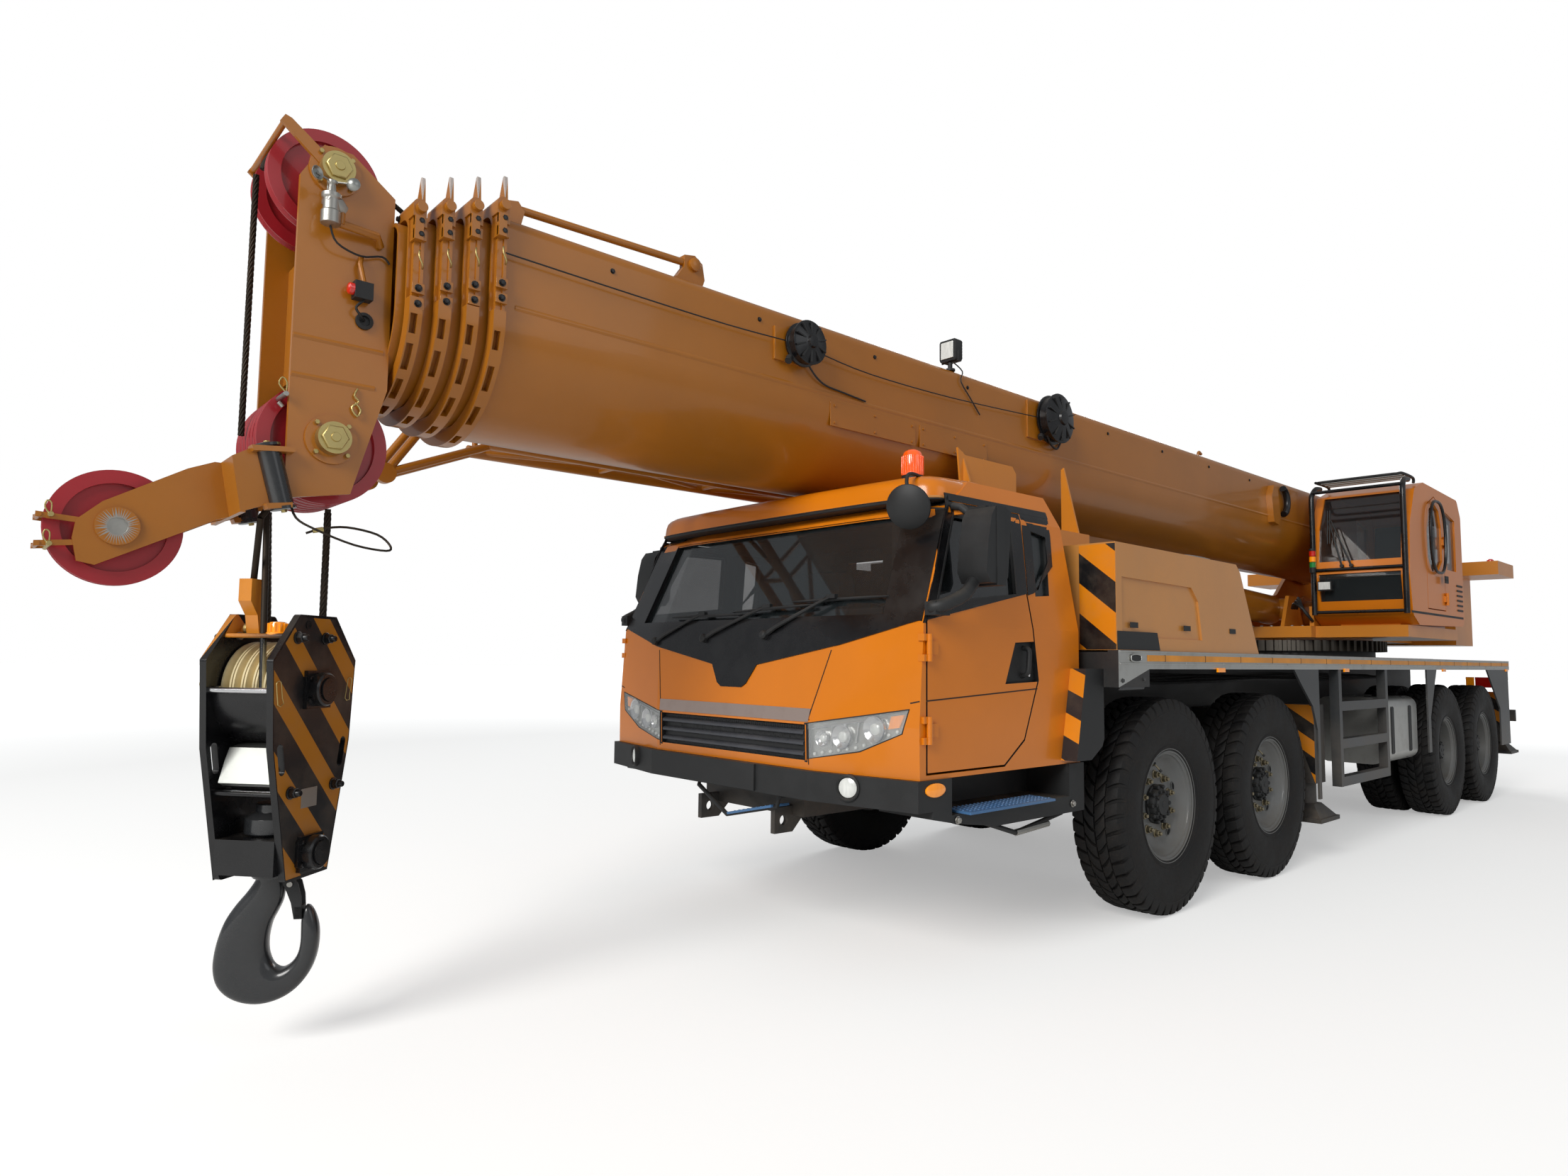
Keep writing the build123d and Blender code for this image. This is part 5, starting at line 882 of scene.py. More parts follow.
for z, x in ((1.485, 0.1), (1.293, 0.190), (0.930, 0.118)):  # collars on the rods between the plates
    for y in (-0.100, 0.100):
        block.lathe(((-0.006, 0.014), (0.006, 0.014)), BLOCK @ Vector((x, y, z)),
            inward @ Vector((0, 1, 0)), 1, 16)
block.rod(BLOCK @ Vector((0.212, -PLATE_IN, 1.293)), BLOCK @ Vector((0.212, PLATE_IN, 1.293)), 0.0105, 2)
block.rod(BLOCK @ Vector((0.125, -PLATE_IN, 0.930)), BLOCK @ Vector((0.125, PLATE_IN, 0.930)), 0.0125, 2)
SHROUD = [(0.150, 0.955), (0.176, 0.968), (0.150, 1.040), (0.128, 1.088), (0.060, 1.100),
    (0.060, 1.094), (0.122, 1.082), (0.143, 1.038), (0.166, 0.972), (0.148, 0.962)]
block.prism(SHROUD, "y", -0.095, 0.112, 6, BLOCK)
block.prism([(-x, z) for x, z in SHROUD], "y", -0.112, 0.095, 6, BLOCK)

lamp_at = BLOCK @ Vector((0.118, 0.062, 1.487))  # the amber lens beside the near plate
block.lathe(((0.0, 0.036), (0.004, 0.038), (0.010, 0.038), (0.014, 0.030), (0.040, 0.030),
    (0.048, 0.026), (0.050, 0.012)), lamp_at, (0, 0, 1), 3, 24)
for turn in around(12):
    block.lathe(((0.012, 0.0035), (0.044, 0.0035)), Vector(lamp_at)
        + Vector((0.031 * math.cos(turn), 0.031 * math.sin(turn), 0)), (0, 0, 1), 3, 6)

socket = BLOCK @ Vector((0.095, -0.050, 0))  # pin and keeper of the wedge socket
for y in (-0.094, -0.010):
    at = BLOCK @ Vector((0.064, y, 1.512))
    block.lathe(((-0.006, 0.024), (0.006, 0.024), (0.008, 0.020)), at,
        inward @ Vector((0, math.copysign(1, y + 0.05), 0)), 4, 24)
block.rod(BLOCK @ Vector((0.064, -0.094, 1.512)), BLOCK @ Vector((0.064, -0.008, 1.512)), 0.016, 4)
block.done(bevel=0.0012, angle=40)

# ---------------------------------------------------------------- driver's cab
CAB_LEVELS = (  # height, rear X, side Y, X at the corner, X at the front, half width of the front
    (0.905, 2.900, 1.200, 4.192, 4.293, 0.640), (1.130, 2.900, 1.200, 4.195, 4.300, 0.640),
    (1.585, 2.900, 1.200, 4.165, 4.225, 0.740), (2.130, 2.985, 1.150, 3.935, 3.985, 0.760),
    (2.290, 3.050, 1.090, 3.700, 3.740, 0.700),
)


def cab_level(z):
    """The cab's outline at a height: rear, side, corner, front, half width of the front."""
    for low, high in zip(CAB_LEVELS, CAB_LEVELS[1:]):
        if z <= high[0] or high is CAB_LEVELS[-1]:
            share = (z - low[0]) / (high[0] - low[0])
            return [a + (b - a) * share for a, b in zip(low[1:], high[1:])]


def cab_front(y, z, lift=0.0):
    """A point over the cab's front at Y and Z."""
    rear, side, corner, front, half = cab_level(z)
    share = max(0.0, (abs(y) - half) / (side - half))
    slope = 0.0 if abs(y) <= half else (front - corner) / (side - half)
    out = Vector((1.0, math.copysign(slope, y), 0.25)).normalized() * lift
    return Vector((front + (corner - front) * share, y, z)) + out


def cab_side(sign):
    def place(x, z, lift=0.0):
        return Vector((x, sign * (cab_level(z)[1] + lift), z))
    return place


def skin(piece, outline, place, lift, thick, material=0, step=0.08):
    """A thin closed panel that follows a surface inside an outline."""
    flat = bmesh.new()
    flat.faces.new([flat.verts.new((u, v, 0)) for u, v in outline])
    for way in (0, 1):
        low, high = min(p[way] for p in outline), max(p[way] for p in outline)
        for n in range(1, int((high - low) / step) + 1):
            at = [0, 0, 0]
            at[way] = low + step * n
            bmesh.ops.bisect_plane(flat, geom=flat.verts[:] + flat.edges[:] + flat.faces[:], dist=1e-6,
                plane_co=at, plane_no=(1 - way, way, 0))
    flat.verts.index_update()
    count = len(flat.verts)
    points = [place(v.co.x, v.co.y, lift) for v in flat.verts]
    points += [place(v.co.x, v.co.y, lift - thick) for v in flat.verts]
    faces = [tuple(v.index for v in f.verts) for f in flat.faces]
    faces += [tuple(count + n for n in reversed(f)) for f in faces]
    for edge in flat.edges:
        if edge.is_boundary:
            a, b = edge.verts[0].index, edge.verts[1].index
            faces.append((a, b, count + b, count + a))
    flat.free()
    piece.add(points, faces, material, True)


def flip(sign, outline):
    """An outline in Y and Z for the left side, or mirrored for the right."""
    return [(sign * y, z) for y, z in outline]


def border(piece, outer, inner, place, lift, thick, material=0):
    """A frame between two outlines with as many corners each."""
    for n in range(len(outer)):
        m = (n + 1) % len(outer)
        skin(piece, (outer[n], outer[m], inner[m], inner[n]), place, lift, thick, material)


def strip(piece, points, place, width, lift, thick, material=0):
    """A narrow flat line along points of a surface."""
    for (u0, v0), (u1, v1) in zip(points, points[1:]):
        across = Vector((v0 - v1, u1 - u0)).normalized() * width / 2
        skin(piece, ((u0 + across.x, v0 + across.y), (u1 + across.x, v1 + across.y),
            (u1 - across.x, v1 - across.y), (u0 - across.x, v0 - across.y)), place, lift, thick, material)


def groove(piece, points, place, width=0.006):
    """A dark strip laid on the surface along a seam between two panels: painted shade for the gap."""
    strip(piece, points, place, width, 0.0012, 0.002, 2)


def inside_cab(point, depth=0.004):
    """Whether a point lies behind the outer skin of the cab: a reveal or an inner wall."""
    return (0.93 < point.z < 2.25 and point.x > 2.93 and cab_front(point.y, point.z).x - point.x > depth
        and cab_level(point.z)[1] - abs(point.y) > depth)


for node in ("cab_shell", "door_left", "door_right"):
    recolour(node, black_matt, lambda p, n: inside_cab(p))

trim = Piece("cab_dressing", "chassis", "black_plastic", black_gloss, black_matt, seam_shade,
    strip_metal, grille_mesh, bar_grey)
V_PANEL = ((-1.188, 1.602), (-0.750, 1.490), (-0.185, 1.392), (-0.120, 1.296), (-0.085, 1.276),
    (0.085, 1.276), (0.120, 1.296), (0.185, 1.392), (0.750, 1.490), (1.188, 1.602), (0.985, 1.630),
    (-0.985, 1.630))
skin(trim, V_PANEL, cab_front, 0.006, 0.009, 0)
for sign in (1, -1):
    skin(trim, flip(sign, ((1.188, 1.596), (0.975, 1.622), (0.915, 2.108), (0.930, 2.215),
        (1.118, 2.200), (1.142, 2.110))), cab_front, 0.004, 0.008, 0)
    side = cab_side(sign)
    skin(trim, ((4.168, 1.588), (4.153, 1.588), (3.933, 2.168), (3.900, 2.205), (3.925, 2.135)), side,
        0.003, 0.006, 0)
    skin(trim, ((3.925, 2.205), (3.933, 2.168), (3.347, 2.168), (3.083, 2.168), (3.083, 2.205)), side,
        0.003, 0.006, 0)
    border(trim, ((3.343, 1.752), (3.343, 2.170), (3.090, 2.170), (3.098, 1.915), (3.290, 1.766)),
        ((3.270, 1.785), (3.270, 2.085), (3.140, 2.065), (3.140, 1.935), (3.250, 1.785)), side, 0.003,
        0.007, 0)
    groove(trim, ((sign * 0.709, 1.468), (sign * 0.612, 1.150)), cab_front)
    groove(trim, ((sign * 0.612, 1.150), (sign * 0.612, 0.930)), cab_front)
    groove(trim, ((sign * 1.196, 1.246), (sign * 1.15, 1.236)), cab_front)
skin(trim, ((-0.925, 2.110), (0.925, 2.110), (0.93, 2.200), (-0.93, 2.200)), cab_front, 0.003, 0.006, 0)
groove(trim, ((-0.62, 1.140), (0.62, 1.140)), cab_front, 0.004)
skin(trim, ((-0.612, 1.128), (0.612, 1.128), (0.620, 1.190), (-0.620, 1.190)), cab_front, 0.004, 0.006, 3)
skin(trim, ((-0.588, 0.950), (0.588, 0.950), (0.588, 1.114), (-0.588, 1.114)), cab_front, -0.020, 0.004, 4)
for z in (1.078, 1.028, 0.978):  # the grille's bars, with a rounded nose
    rings = []
    for y in [n * 0.058 - 0.58 for n in range(21)]:
        at = cab_front(y, z, 0.0)
        rings.append([at + Vector((dx, 0, dz)) for dx, dz in ((-0.022, -0.006), (-0.006, -0.012),
            (0.003, -0.008), (0.004, 0.002), (-0.002, 0.009), (-0.012, 0.013), (-0.022, 0.012))])
    trim.rings(rings, 5, True)
for sign in (1, -1):
    border(trim, flip(sign, ((0.588, 0.940), (0.588, 1.124), (0.604, 1.124), (0.604, 0.940))),
        flip(sign, ((0.590, 0.948), (0.590, 1.116), (0.600, 1.116), (0.600, 0.948))), cab_front, 0.003,
        0.02, 1)

for y0, z0, y1, z1, y2, z2 in ((-0.750, 1.515, -0.348, 1.665, -0.010, 1.655),
                               (-0.281, 1.528, 0.190, 1.690, 0.520, 1.690),
                               (0.225, 1.540, 0.646, 1.722, 0.975, 1.715)):  # wipers
    pivot, knee, tip = cab_front(y0, z0, 0.012), cab_front(y1, z1, 0.020), cab_front(y2, z2, 0.004)
    heel = cab_front(2 * y1 - y2 + 0.05, 2 * z1 - z2 - 0.02, 0.004)
    trim.lathe(((-0.012, 0.022), (0.012, 0.024), (0.022, 0.018), (0.026, 0.008)), pivot, (1, 0, 0.35),
        1, 20)
    trim.tube((pivot, pivot.lerp(knee, 0.2) + Vector((0.012, 0, 0.004)),
        pivot.lerp(knee, 0.8) + Vector((0.008, 0, 0.003)), knee), (0.013, 0.012, 0.008, 0.006), 1, 8)
    trim.tube((pivot.lerp(knee, 0.3), pivot.lerp(knee, 0.92) + Vector((0, 0, 0.012))), 0.004, 1, 6)
    blade = [heel.lerp(tip, n / 8) for n in range(9)]
    trim.tube([p + Vector((0.012, 0, 0)) for p in blade], (0.003, 0.006, 0.007, 0.008, 0.009, 0.008,
        0.007, 0.006, 0.003), 1, 6)
    trim.tube(blade, 0.005, 1, 6)
    trim.box(knee - Vector((0.012, 0.03, 0.010)), knee + Vector((0.010, 0.03, 0.010)), 1)

# the round front mirror on its arm, left side, and a small housing at the right pillar
arm = smooth_run(((3.86, 0.985, 2.262), (3.95, 0.985, 2.300), (4.05, 1.010, 2.285),
    (4.085, 1.035, 2.21), (4.078, 1.045, 2.135)), 4)
trim.tube(arm, 0.009, 1, 10)
trim.lathe(((-0.012, 0.100), (-0.008, 0.106), (0.002, 0.104), (0.020, 0.078), (0.030, 0.040),
    (0.033, 0.012)), (4.092, 1.047, 2.125), (0.83, 0.34, -0.30), 1, 40)
trim.lathe(((-0.010, 0.022), (0.020, 0.018)), (4.080, 1.045, 2.150), (0, 0, 1), 1, 16)
trim.box((3.83, -1.17, 2.00), (3.89, -1.235, 2.12), 1)
trim.done(bevel=0.0012, angle=35)

# roof: a moulded cap with a deep front fascia
ROOF_PLAN = ((2.960, 1.060), (2.990, 1.095), (3.600, 1.112), (3.880, 1.110), (3.945, 1.095),
    (3.985, 1.050), (4.000, 0.970), (4.020, 0.700), (4.030, 0.350), (4.032, 0.0))
plan = list(ROOF_PLAN) + [(x, -y) for x, y in reversed(ROOF_PLAN[:-1])]
roof = Piece("cab_roof", "chassis", "cab_paint", cab_paint, dusty_paint, black_matt)
rings = []
for z, inset in ((2.168, 0.030), (2.172, 0.008), (2.190, 0.0), (2.235, 0.006), (2.262, 0.016),
        (2.280, 0.036), (2.293, 0.075), (2.302, 0.14), (2.310, 0.30), (2.314, 0.60)):
    ring = []
    for x, y in plan:
        rise = 0.02 * max(0.0, 1 - abs(x - 3.5) / 0.6)
        ring.append((x + (3.48 - x) * inset, y * (1 - inset / 1.11),
            z - 0.012 * (x < 3.1) + rise * (z > 2.29)))
    rings.append(ring)
roof.rings(rings[:3], 2, True)
roof.rings(rings[2:], 0, True)
for sign in (1, -1):
    roof.tube([(x, sign * (y + 0.004), 2.186) for x, y in ROOF_PLAN[1:6]], 0.007, 1, 8)
    roof.lathe(((0, 0.036), (0.010, 0.036), (0.026, 0.030), (0.036, 0.016), (0.038, 0.004)),
        (3.90, sign * 0.93, 2.268), (0.25, 0, 1), 1, 24)
roof.tube([(x, y * 1.004, 2.178) for x, y in plan[3:-3]], 0.006, 2, 8)
roof.done(bevel=0.0, angle=50)

# beacon
beacon = Piece("cab_beacon", "chassis", "glass", black_matt, orange_lens, steel)
at = (3.770, 0.800, 2.296)
beacon.lathe(((-0.01, 0.062), (0.030, 0.062), (0.036, 0.055), (0.052, 0.055)), at, (0, 0, 1), 0, 32)
beacon.lathe(((0.052, 0.052), (0.062, 0.056), (0.150, 0.052), (0.172, 0.044), (0.184, 0.026),
    (0.188, 0.006)), at, (0, 0, 1), 1, 32)
for turn in around(24):
    beacon.lathe(((0.060, 0.0028), (0.150, 0.0024)), (at[0] + 0.0545 * math.cos(turn),
        at[1] + 0.0545 * math.sin(turn), at[2]), (0, 0, 1), 1, 6)
beacon.done(angle=40)

# headlamps, fog lamps and side markers
for side_name, sign in SIDES:
    lamp = Piece(f"headlamp_{side_name}", "chassis", "glass", lamp_silver, chrome, lens_glass,
        clear_lens, amber_lens, black_matt)
    shape = flip(sign, ((0.610, 0.959), (0.610, 1.121), (1.144, 1.206), (1.113, 1.102), (0.898, 1.012)))
    skin(lamp, shape, cab_front, -0.021, 0.003, 0, 0.05)
    skin(lamp, shape, cab_front, 0.001, 0.002, 2, 0.04)
    border(lamp, flip(sign, ((0.606, 0.955), (0.606, 1.125), (1.149, 1.211), (1.117, 1.100),
        (0.900, 1.008))), shape, cab_front, 0.002, 0.022, 5)
    for y, z, r, kind in ((0.800, 1.075, 0.050, 2), (0.972, 1.118, 0.054, 1), (0.690, 1.062, 0.034, 1)):
        base = cab_front(sign * y, z, -0.020)
        facing = (1.0, sign * 0.10, 0.0)
        lamp.lathe(((0.0, r * 0.35), (0.004, r * 0.62), (0.010, r * 0.86), (0.017, r * 1.02),
            (0.018, r * 1.10), (0.012, r * 1.12), (0.0, r * 1.12)), base, facing, 1, 32)
        lamp.lathe(((0.0, r * 0.5), (0.010, r * 0.48), (0.015, r * 0.32), (0.017, r * 0.1)), base,
            facing, 3, 24)
    for n in range(11):  # the row of small lights along the lower edge
        share = n / 10
        y, z = curve_at([(0.640, 0.985, 0), (0.890, 1.032, 0), (1.085, 1.112, 0)], share)[:2]
        lamp.lathe(((0, 0.009), (0.006, 0.008), (0.009, 0.003)), cab_front(sign * y, z, -0.016),
            (1, 0, 0), 3, 12)
    skin(lamp, flip(sign, ((1.040, 1.120), (1.052, 1.176), (1.118, 1.187), (1.096, 1.130))), cab_front,
        -0.010, 0.010, 4)
    for y0, z0, y1, z1 in ((0.625, 1.10, 1.03, 1.172), (0.735, 1.02, 0.745, 1.125),
            (0.872, 1.05, 0.888, 1.148)):
        lamp.tube((cab_front(sign * y0, z0, -0.014), cab_front(sign * y1, z1, -0.014)), 0.005, 1, 6)
    fog = Vector((4.292, sign * 0.868, 0.850))
    lamp.lathe(((-0.02, 0.060), (0.010, 0.060), (0.014, 0.054), (0.004, 0.048), (-0.002, 0.046)), fog,
        (0.94, sign * 0.34, 0), 5, 32)
    lamp.lathe(((-0.01, 0.046), (0.004, 0.044), (0.010, 0.030), (0.012, 0.008)), fog,
        (0.94, sign * 0.34, 0), 3, 32)
    oval = [(4.109 + 0.066 * math.cos(a), sign * 1.2155, 0.862 + 0.030 * math.sin(a)) for a in around(24)]
    dome = [(4.109 + 0.045 * math.cos(a), sign * 1.228, 0.862 + 0.018 * math.sin(a)) for a in around(24)]
    lamp.rings((oval, [(x, sign * 1.222, z) for x, y, z in oval], dome), 4, False)
    lamp.done(bevel=0.0, angle=35)

# doors: dark window frame, handle, mirror and mouldings
for side_name, sign in SIDES:
    door = Piece(f"door_dressing_{side_name}", f"door_{side_name}", "black_plastic", black_gloss,
        black_matt, seam_shade, chrome, cab_paint)
    side = cab_side(sign)
    border(door, ((4.146, 1.600), (3.929, 2.162), (3.353, 2.162), (3.348, 1.760)),
        ((4.066, 1.682), (3.902, 2.092), (3.442, 2.092), (3.442, 1.748)), side, 0.003, 0.007, 0)
    groove(door, ((4.148, 1.247), (3.290, 1.290)), side)
    strip(door, ((4.066, 1.680), (3.902, 2.092), (3.442, 2.092), (3.442, 1.748), (4.066, 1.680)), side,
        0.012, 0.005, 0.004, 1)
    grip = [(3.372, sign * 1.176, 1.490), (3.372, sign * 1.208, 1.480), (3.380, sign * 1.214, 1.430),
        (3.386, sign * 1.210, 1.370), (3.386, sign * 1.176, 1.352)]
    door.bend(grip, 3, 0.013, 1, 10)
    skin(door, ((3.470, 1.508), (3.282, 1.518), (3.270, 1.330), (3.552, 1.321)), side, -0.0255, 0.003, 1)
    door.lathe(((0, 0.012), (0.006, 0.012), (0.008, 0.009)), (3.330, sign * 1.176, 1.36), (0, sign, 0),
        3, 16)
    # mirror housing over its arm
    shell = [(3.945, 1.770), (3.975, 1.820), (3.960, 1.960), (3.935, 2.070), (3.905, 2.112),
        (3.830, 2.116), (3.788, 2.095), (3.800, 1.950), (3.815, 1.800), (3.842, 1.765)]
    door.prism(shell, "y", sign * 1.236, sign * 1.396, 1)
    door.prism([(x - 0.006 if x < 3.86 else 3.83, z) for x, z in ((3.800, 2.080), (3.810, 1.95),
        (3.825, 1.815), (3.86, 1.815), (3.86, 2.080))], "y", sign * 1.255, sign * 1.378, 3)
    door.bend(((3.930, sign * 1.300, 1.790), (4.010, sign * 1.300, 1.715), (4.120, sign * 1.270, 1.665),
        (4.150, sign * 1.215, 1.655)), 4, (0.030,) * 12 + (0.022,), 1, 12)
    door.box((4.060, sign * 1.200, 1.622), (4.160, sign * 1.262, 1.682), 1)
    door.tube(((3.880, sign * 1.25, 2.085), (3.900, sign * 1.20, 2.130), (3.900, sign * 1.155, 2.140)),
        0.018, 1, 10)
    door.done(bevel=0.004, angle=40)
recolour("door_left", black_matt, lambda p, n: p.y > 1.222 and p.z > 1.6)
recolour("door_right", black_matt, lambda p, n: p.y < -1.222 and p.z > 1.6)

# steps below the doors and under the bumper
step = Piece("cab_steps", "chassis", "steel", black_matt, step_blue, steel)
for sign in (1, -1):
    step.prism(((3.235, sign * 1.112), (3.925, sign * 1.125), (3.930, sign * 1.272),
        (3.250, sign * 1.272)), "z", 0.744, 0.756, 1)
    for row in range(5):
        for n in range(22):
            x, y = 3.27 + n * 0.03 + (row % 2) * 0.015, sign * (1.135 + row * 0.028)
            step.lathe(((0, 0.008), (0.004, 0.007), (0.004, 0.004), (0.001, 0.004)), (x, y, 0.756),
                (0, 0, 1), 1, 8)
    step.tube(((3.80, sign * 1.12, 0.712), (3.40, sign * 1.14, 0.590), (2.96, sign * 1.12, 0.640),
        (2.95, sign * 1.02, 0.700)), 0.013, 0, 8)
    step.tube(((3.40, sign * 1.14, 0.590), (3.10, sign * 1.13, 0.602)), 0.017, 2, 8)
    for x, z in ((3.953, 0.718), (3.007, 0.703)):
        step.bolt((x, sign * 1.2175, z), (0, sign, 0), 0.014, 0.014, 2)
front = [(4.235, -0.300, 0.780), (4.250, -0.299, 0.740), (4.250, -0.050, 0.612), (4.250, 0.345, 0.700),
    (4.250, 0.362, 0.790)]
step.tube(front, 0.012, 0, 8)
step.box((4.215, 0.350, 0.74), (4.255, 0.372, 0.82), 0)
step.prism(((-0.02, 0.617), (0.325, 0.694), (0.322, 0.706), (-0.024, 0.629)), "x", 4.150, 4.275, 1)
for n in range(9):
    for row in range(3):
        y = 0.01 + n * 0.035
        step.lathe(((0, 0.007), (0.005, 0.005)), (4.175 + row * 0.036, y, 0.627 + (y + 0.02) * 0.2245),
            (0, -0.22, 1), 1, 8)
step.done(bevel=0.0015, angle=40)

# inside: dashboard, wheel, seats and lining, seen through the glass
room = Piece("cab_interior", "chassis", "black_plastic", interior_dark, seat_cloth, black_matt, chrome)
room.prism(((3.99, 1.30), (4.12, 1.56), (4.06, 1.60), (3.86, 1.58), (3.78, 1.48), (3.86, 1.28)), "y",
    -1.10, 1.10, 0)
room.prism(((3.86, 1.57), (3.99, 1.60), (3.97, 1.68), (3.87, 1.66)), "y", 0.28, 0.78, 0)
wheel_at = Vector((3.66, 0.53, 1.62))
tilt = Matrix.Translation(wheel_at) @ Matrix.Rotation(math.radians(-28), 4, "Y")
room.tube([tilt @ Vector((0.235 * math.cos(a), 0.235 * math.sin(a), 0)) for a in around(32)], 0.016, 2,
    10, True)
for a in (0.5, 2.6, 4.71):
    room.tube((tilt @ Vector((0, 0, -0.03)), tilt @ Vector((0.23 * math.cos(a), 0.23 * math.sin(a),
        0))), 0.014, 2, 8)
room.lathe(((-0.04, 0.05), (-0.01, 0.07), (0.0, 0.05)), wheel_at, (0.47, 0, 0.88), 2, 24)
room.tube((wheel_at, (3.83, 0.53, 1.36)), 0.03, 2, 12)
for y in (0.53, -0.55):
    for low, high, lean in (((3.08, 1.42), (3.60, 1.53), 0), ((3.05, 1.50), (3.19, 1.98), 1),
            ((3.02, 1.99), (3.12, 2.12), 1)):
        rings = []
        for n in range(7):
            t = n / 6
            swell = math.sin(math.pi * t) ** 0.5 if 0 < t < 1 else 0.0
            half = (0.24 if high[1] < 1.985 else 0.13) * (0.80 + 0.2 * swell)
            depth = 0.80 + 0.2 * swell
            if lean:
                z = low[1] + (high[1] - low[1]) * t
                x0, x1 = low[0] - (z - 1.5) * 0.10, low[0] - (z - 1.5) * 0.10 + 0.13 * depth
                ring = [(x0, y - half, z), (x1, y - half * 0.9, z), (x1 + 0.012, y, z),
                    (x1, y + half * 0.9, z), (x0, y + half, z), (x0 - 0.01, y, z)]
            else:
                x = low[0] + (high[0] - low[0]) * t
                ring = [(x, y - half, 1.40), (x, y - half, 1.40 + 0.13 * depth),
                    (x, y, 1.39 + 0.13 * depth), (x, y + half, 1.40 + 0.13 * depth),
                    (x, y + half, 1.40), (x, y, 1.39)]
            rings.append(ring)
        room.rings(rings, 1, True)
    room.box((3.12, y - 0.16, 1.05), (3.52, y + 0.16, 1.40), 2)
room.box((2.99, -0.06, 1.0), (3.04, 0.06, 2.12), 0)
room.box((3.02, -1.08, 2.120), (3.72, 1.08, 2.135), 0)
room.done(bevel=0.012, segments=3, angle=40)

# ---------------------------------------------------------------- boom and head
BOOM_SIDE = 0.420
BOOM_TOP = 3.170
SEAM_Z = 2.802
HEAD_SIDE = 0.235
UPPER_PIN = (6.375, 3.200)
LOWER_PIN = (6.345, 2.200)
AUX_PIN = (6.944, 1.838)

# the fin tops on the near side (Y above 0.2) get a pale painted highlight where they catch the sky light
for n, name in enumerate(("boom_1", "boom_2", "boom_3", "boom_4")):
    recolour(name, fin_sky_highlight, lambda p, n, top=BOOM_TOP - 0.025 * n: p.z > top + 0.105 and p.y > 0.2)
for pin in (UPPER_PIN, LOWER_PIN):
    recolour("boom_head", zinc, lambda p, n, pin=pin: abs(p.y) > HEAD_SIDE + 0.022
        and math.hypot(p.x - pin[0], p.z - pin[1]) < 0.0625)
recolour("boom_head", steel, lambda p, n: math.hypot(p.x - AUX_PIN[0], p.z - AUX_PIN[1]) < 0.0445
    and abs(p.y) > 0.02)
recolour("boom_head", hook_black, lambda p, n: abs(abs(p.y) - 0.235) < 0.04 and 1.93 < p.z < 2.15
    and math.hypot(p.x - (6.494 + (p.z - 1.942) * 0.27), abs(p.y) - 0.235) < 0.0395)

base = Piece("boom_fittings", "boom_1", "boom_paint", boom_paint, black_matt, black_gloss, steel,
    clear_lens, rope_dark, zinc)
for sign in (1, -1):  # the weld line along the side
    y0, y1 = sign * BOOM_SIDE, sign * (BOOM_SIDE + 0.0035)
    base.prism(((y0, SEAM_Z - 0.012), (y1, SEAM_Z - 0.004), (y1, SEAM_Z + 0.004), (y0, SEAM_Z + 0.012)),
        "x", -4.5, 5.74)
for x0, x1, z0, z1 in ((3.98, 3.30, 2.640, 2.770), (3.26, 2.62, 2.640, 2.770)):  # cover plates
    base.box((x0, BOOM_SIDE, z0), (x1, BOOM_SIDE + 0.004, z1), 0)
    for x in (x0 - 0.03, (x0 + x1) / 2, x1 + 0.03):
        for z in (z0 + 0.02, z1 - 0.02):
            base.bolt((x, BOOM_SIDE + 0.004, z), (0, 1, 0), 0.007, 0.006, 0)
for x, z, r, drum in ((4.210, 3.005, 0.112, 0.060), (1.940, 3.030, 0.165, 0.075)):  # cable reels
    base.box((x - 0.02, BOOM_SIDE, z - r * 0.9), (x + r * 1.5, BOOM_SIDE + 0.012, z + r * 0.6), 0)
    base.box((x - 0.06, BOOM_SIDE, z - 0.05), (x + 0.06, BOOM_SIDE + 0.030, z + 0.05), 1)
    base.lathe(((0.020, r * 0.97), (0.026, r), (0.034, r), (0.040, r * 0.90),
        (0.040 + drum * 0.6, r * 0.88), (0.046 + drum * 0.6, r), (0.054 + drum * 0.6, r),
        (0.030 + drum, r * 0.86), (0.040 + drum, r * 0.55), (0.046 + drum, r * 0.30),
        (0.060 + drum, r * 0.26), (0.062 + drum, r * 0.10)), (x, BOOM_SIDE, z), (0, 1, 0), 2, 40)
    for turn in around(10):
        base.box((-0.004, r * 0.34, 0.0), (0.004, r * 0.92, 0.010), 1,
            Matrix.Translation((x, BOOM_SIDE + 0.034 + drum, z)) @ Matrix.Rotation(turn, 4, "Y")
            @ Matrix.Rotation(math.radians(-90), 4, "X"))
    base.lathe(((0, 0.020), (0.03, 0.018)), (x + r * 0.75, BOOM_SIDE + 0.03, z - r * 0.75),
        (0.6, 0.3, -0.7), 1, 16)
wire = [(5.80, 0.447, 3.000), (5.20, 0.446, 2.993), (4.70, 0.446, 2.992), (4.33, 0.455, 3.000)]
base.bend(wire, 4, 0.0035, 1, 6)
base.bend([(4.10, 0.455, 2.99), (3.70, 0.447, 2.965), (3.0, 0.446, 2.975), (2.11, 0.455, 3.02)], 4,
    0.0035, 1, 6)
base.bend([(4.17, 0.44, 2.93), (4.10, 0.436, 2.87), (4.02, 0.430, 2.84), (3.90, 0.428, 2.83),
    (3.72, 0.428, 2.815)], 4, 0.005, 1, 6)
base.bend([(2.02, 0.47, 2.91), (1.96, 0.46, 2.86), (1.86, 0.44, 2.85), (1.80, 0.43, 2.90)], 4, 0.007, 1, 8)
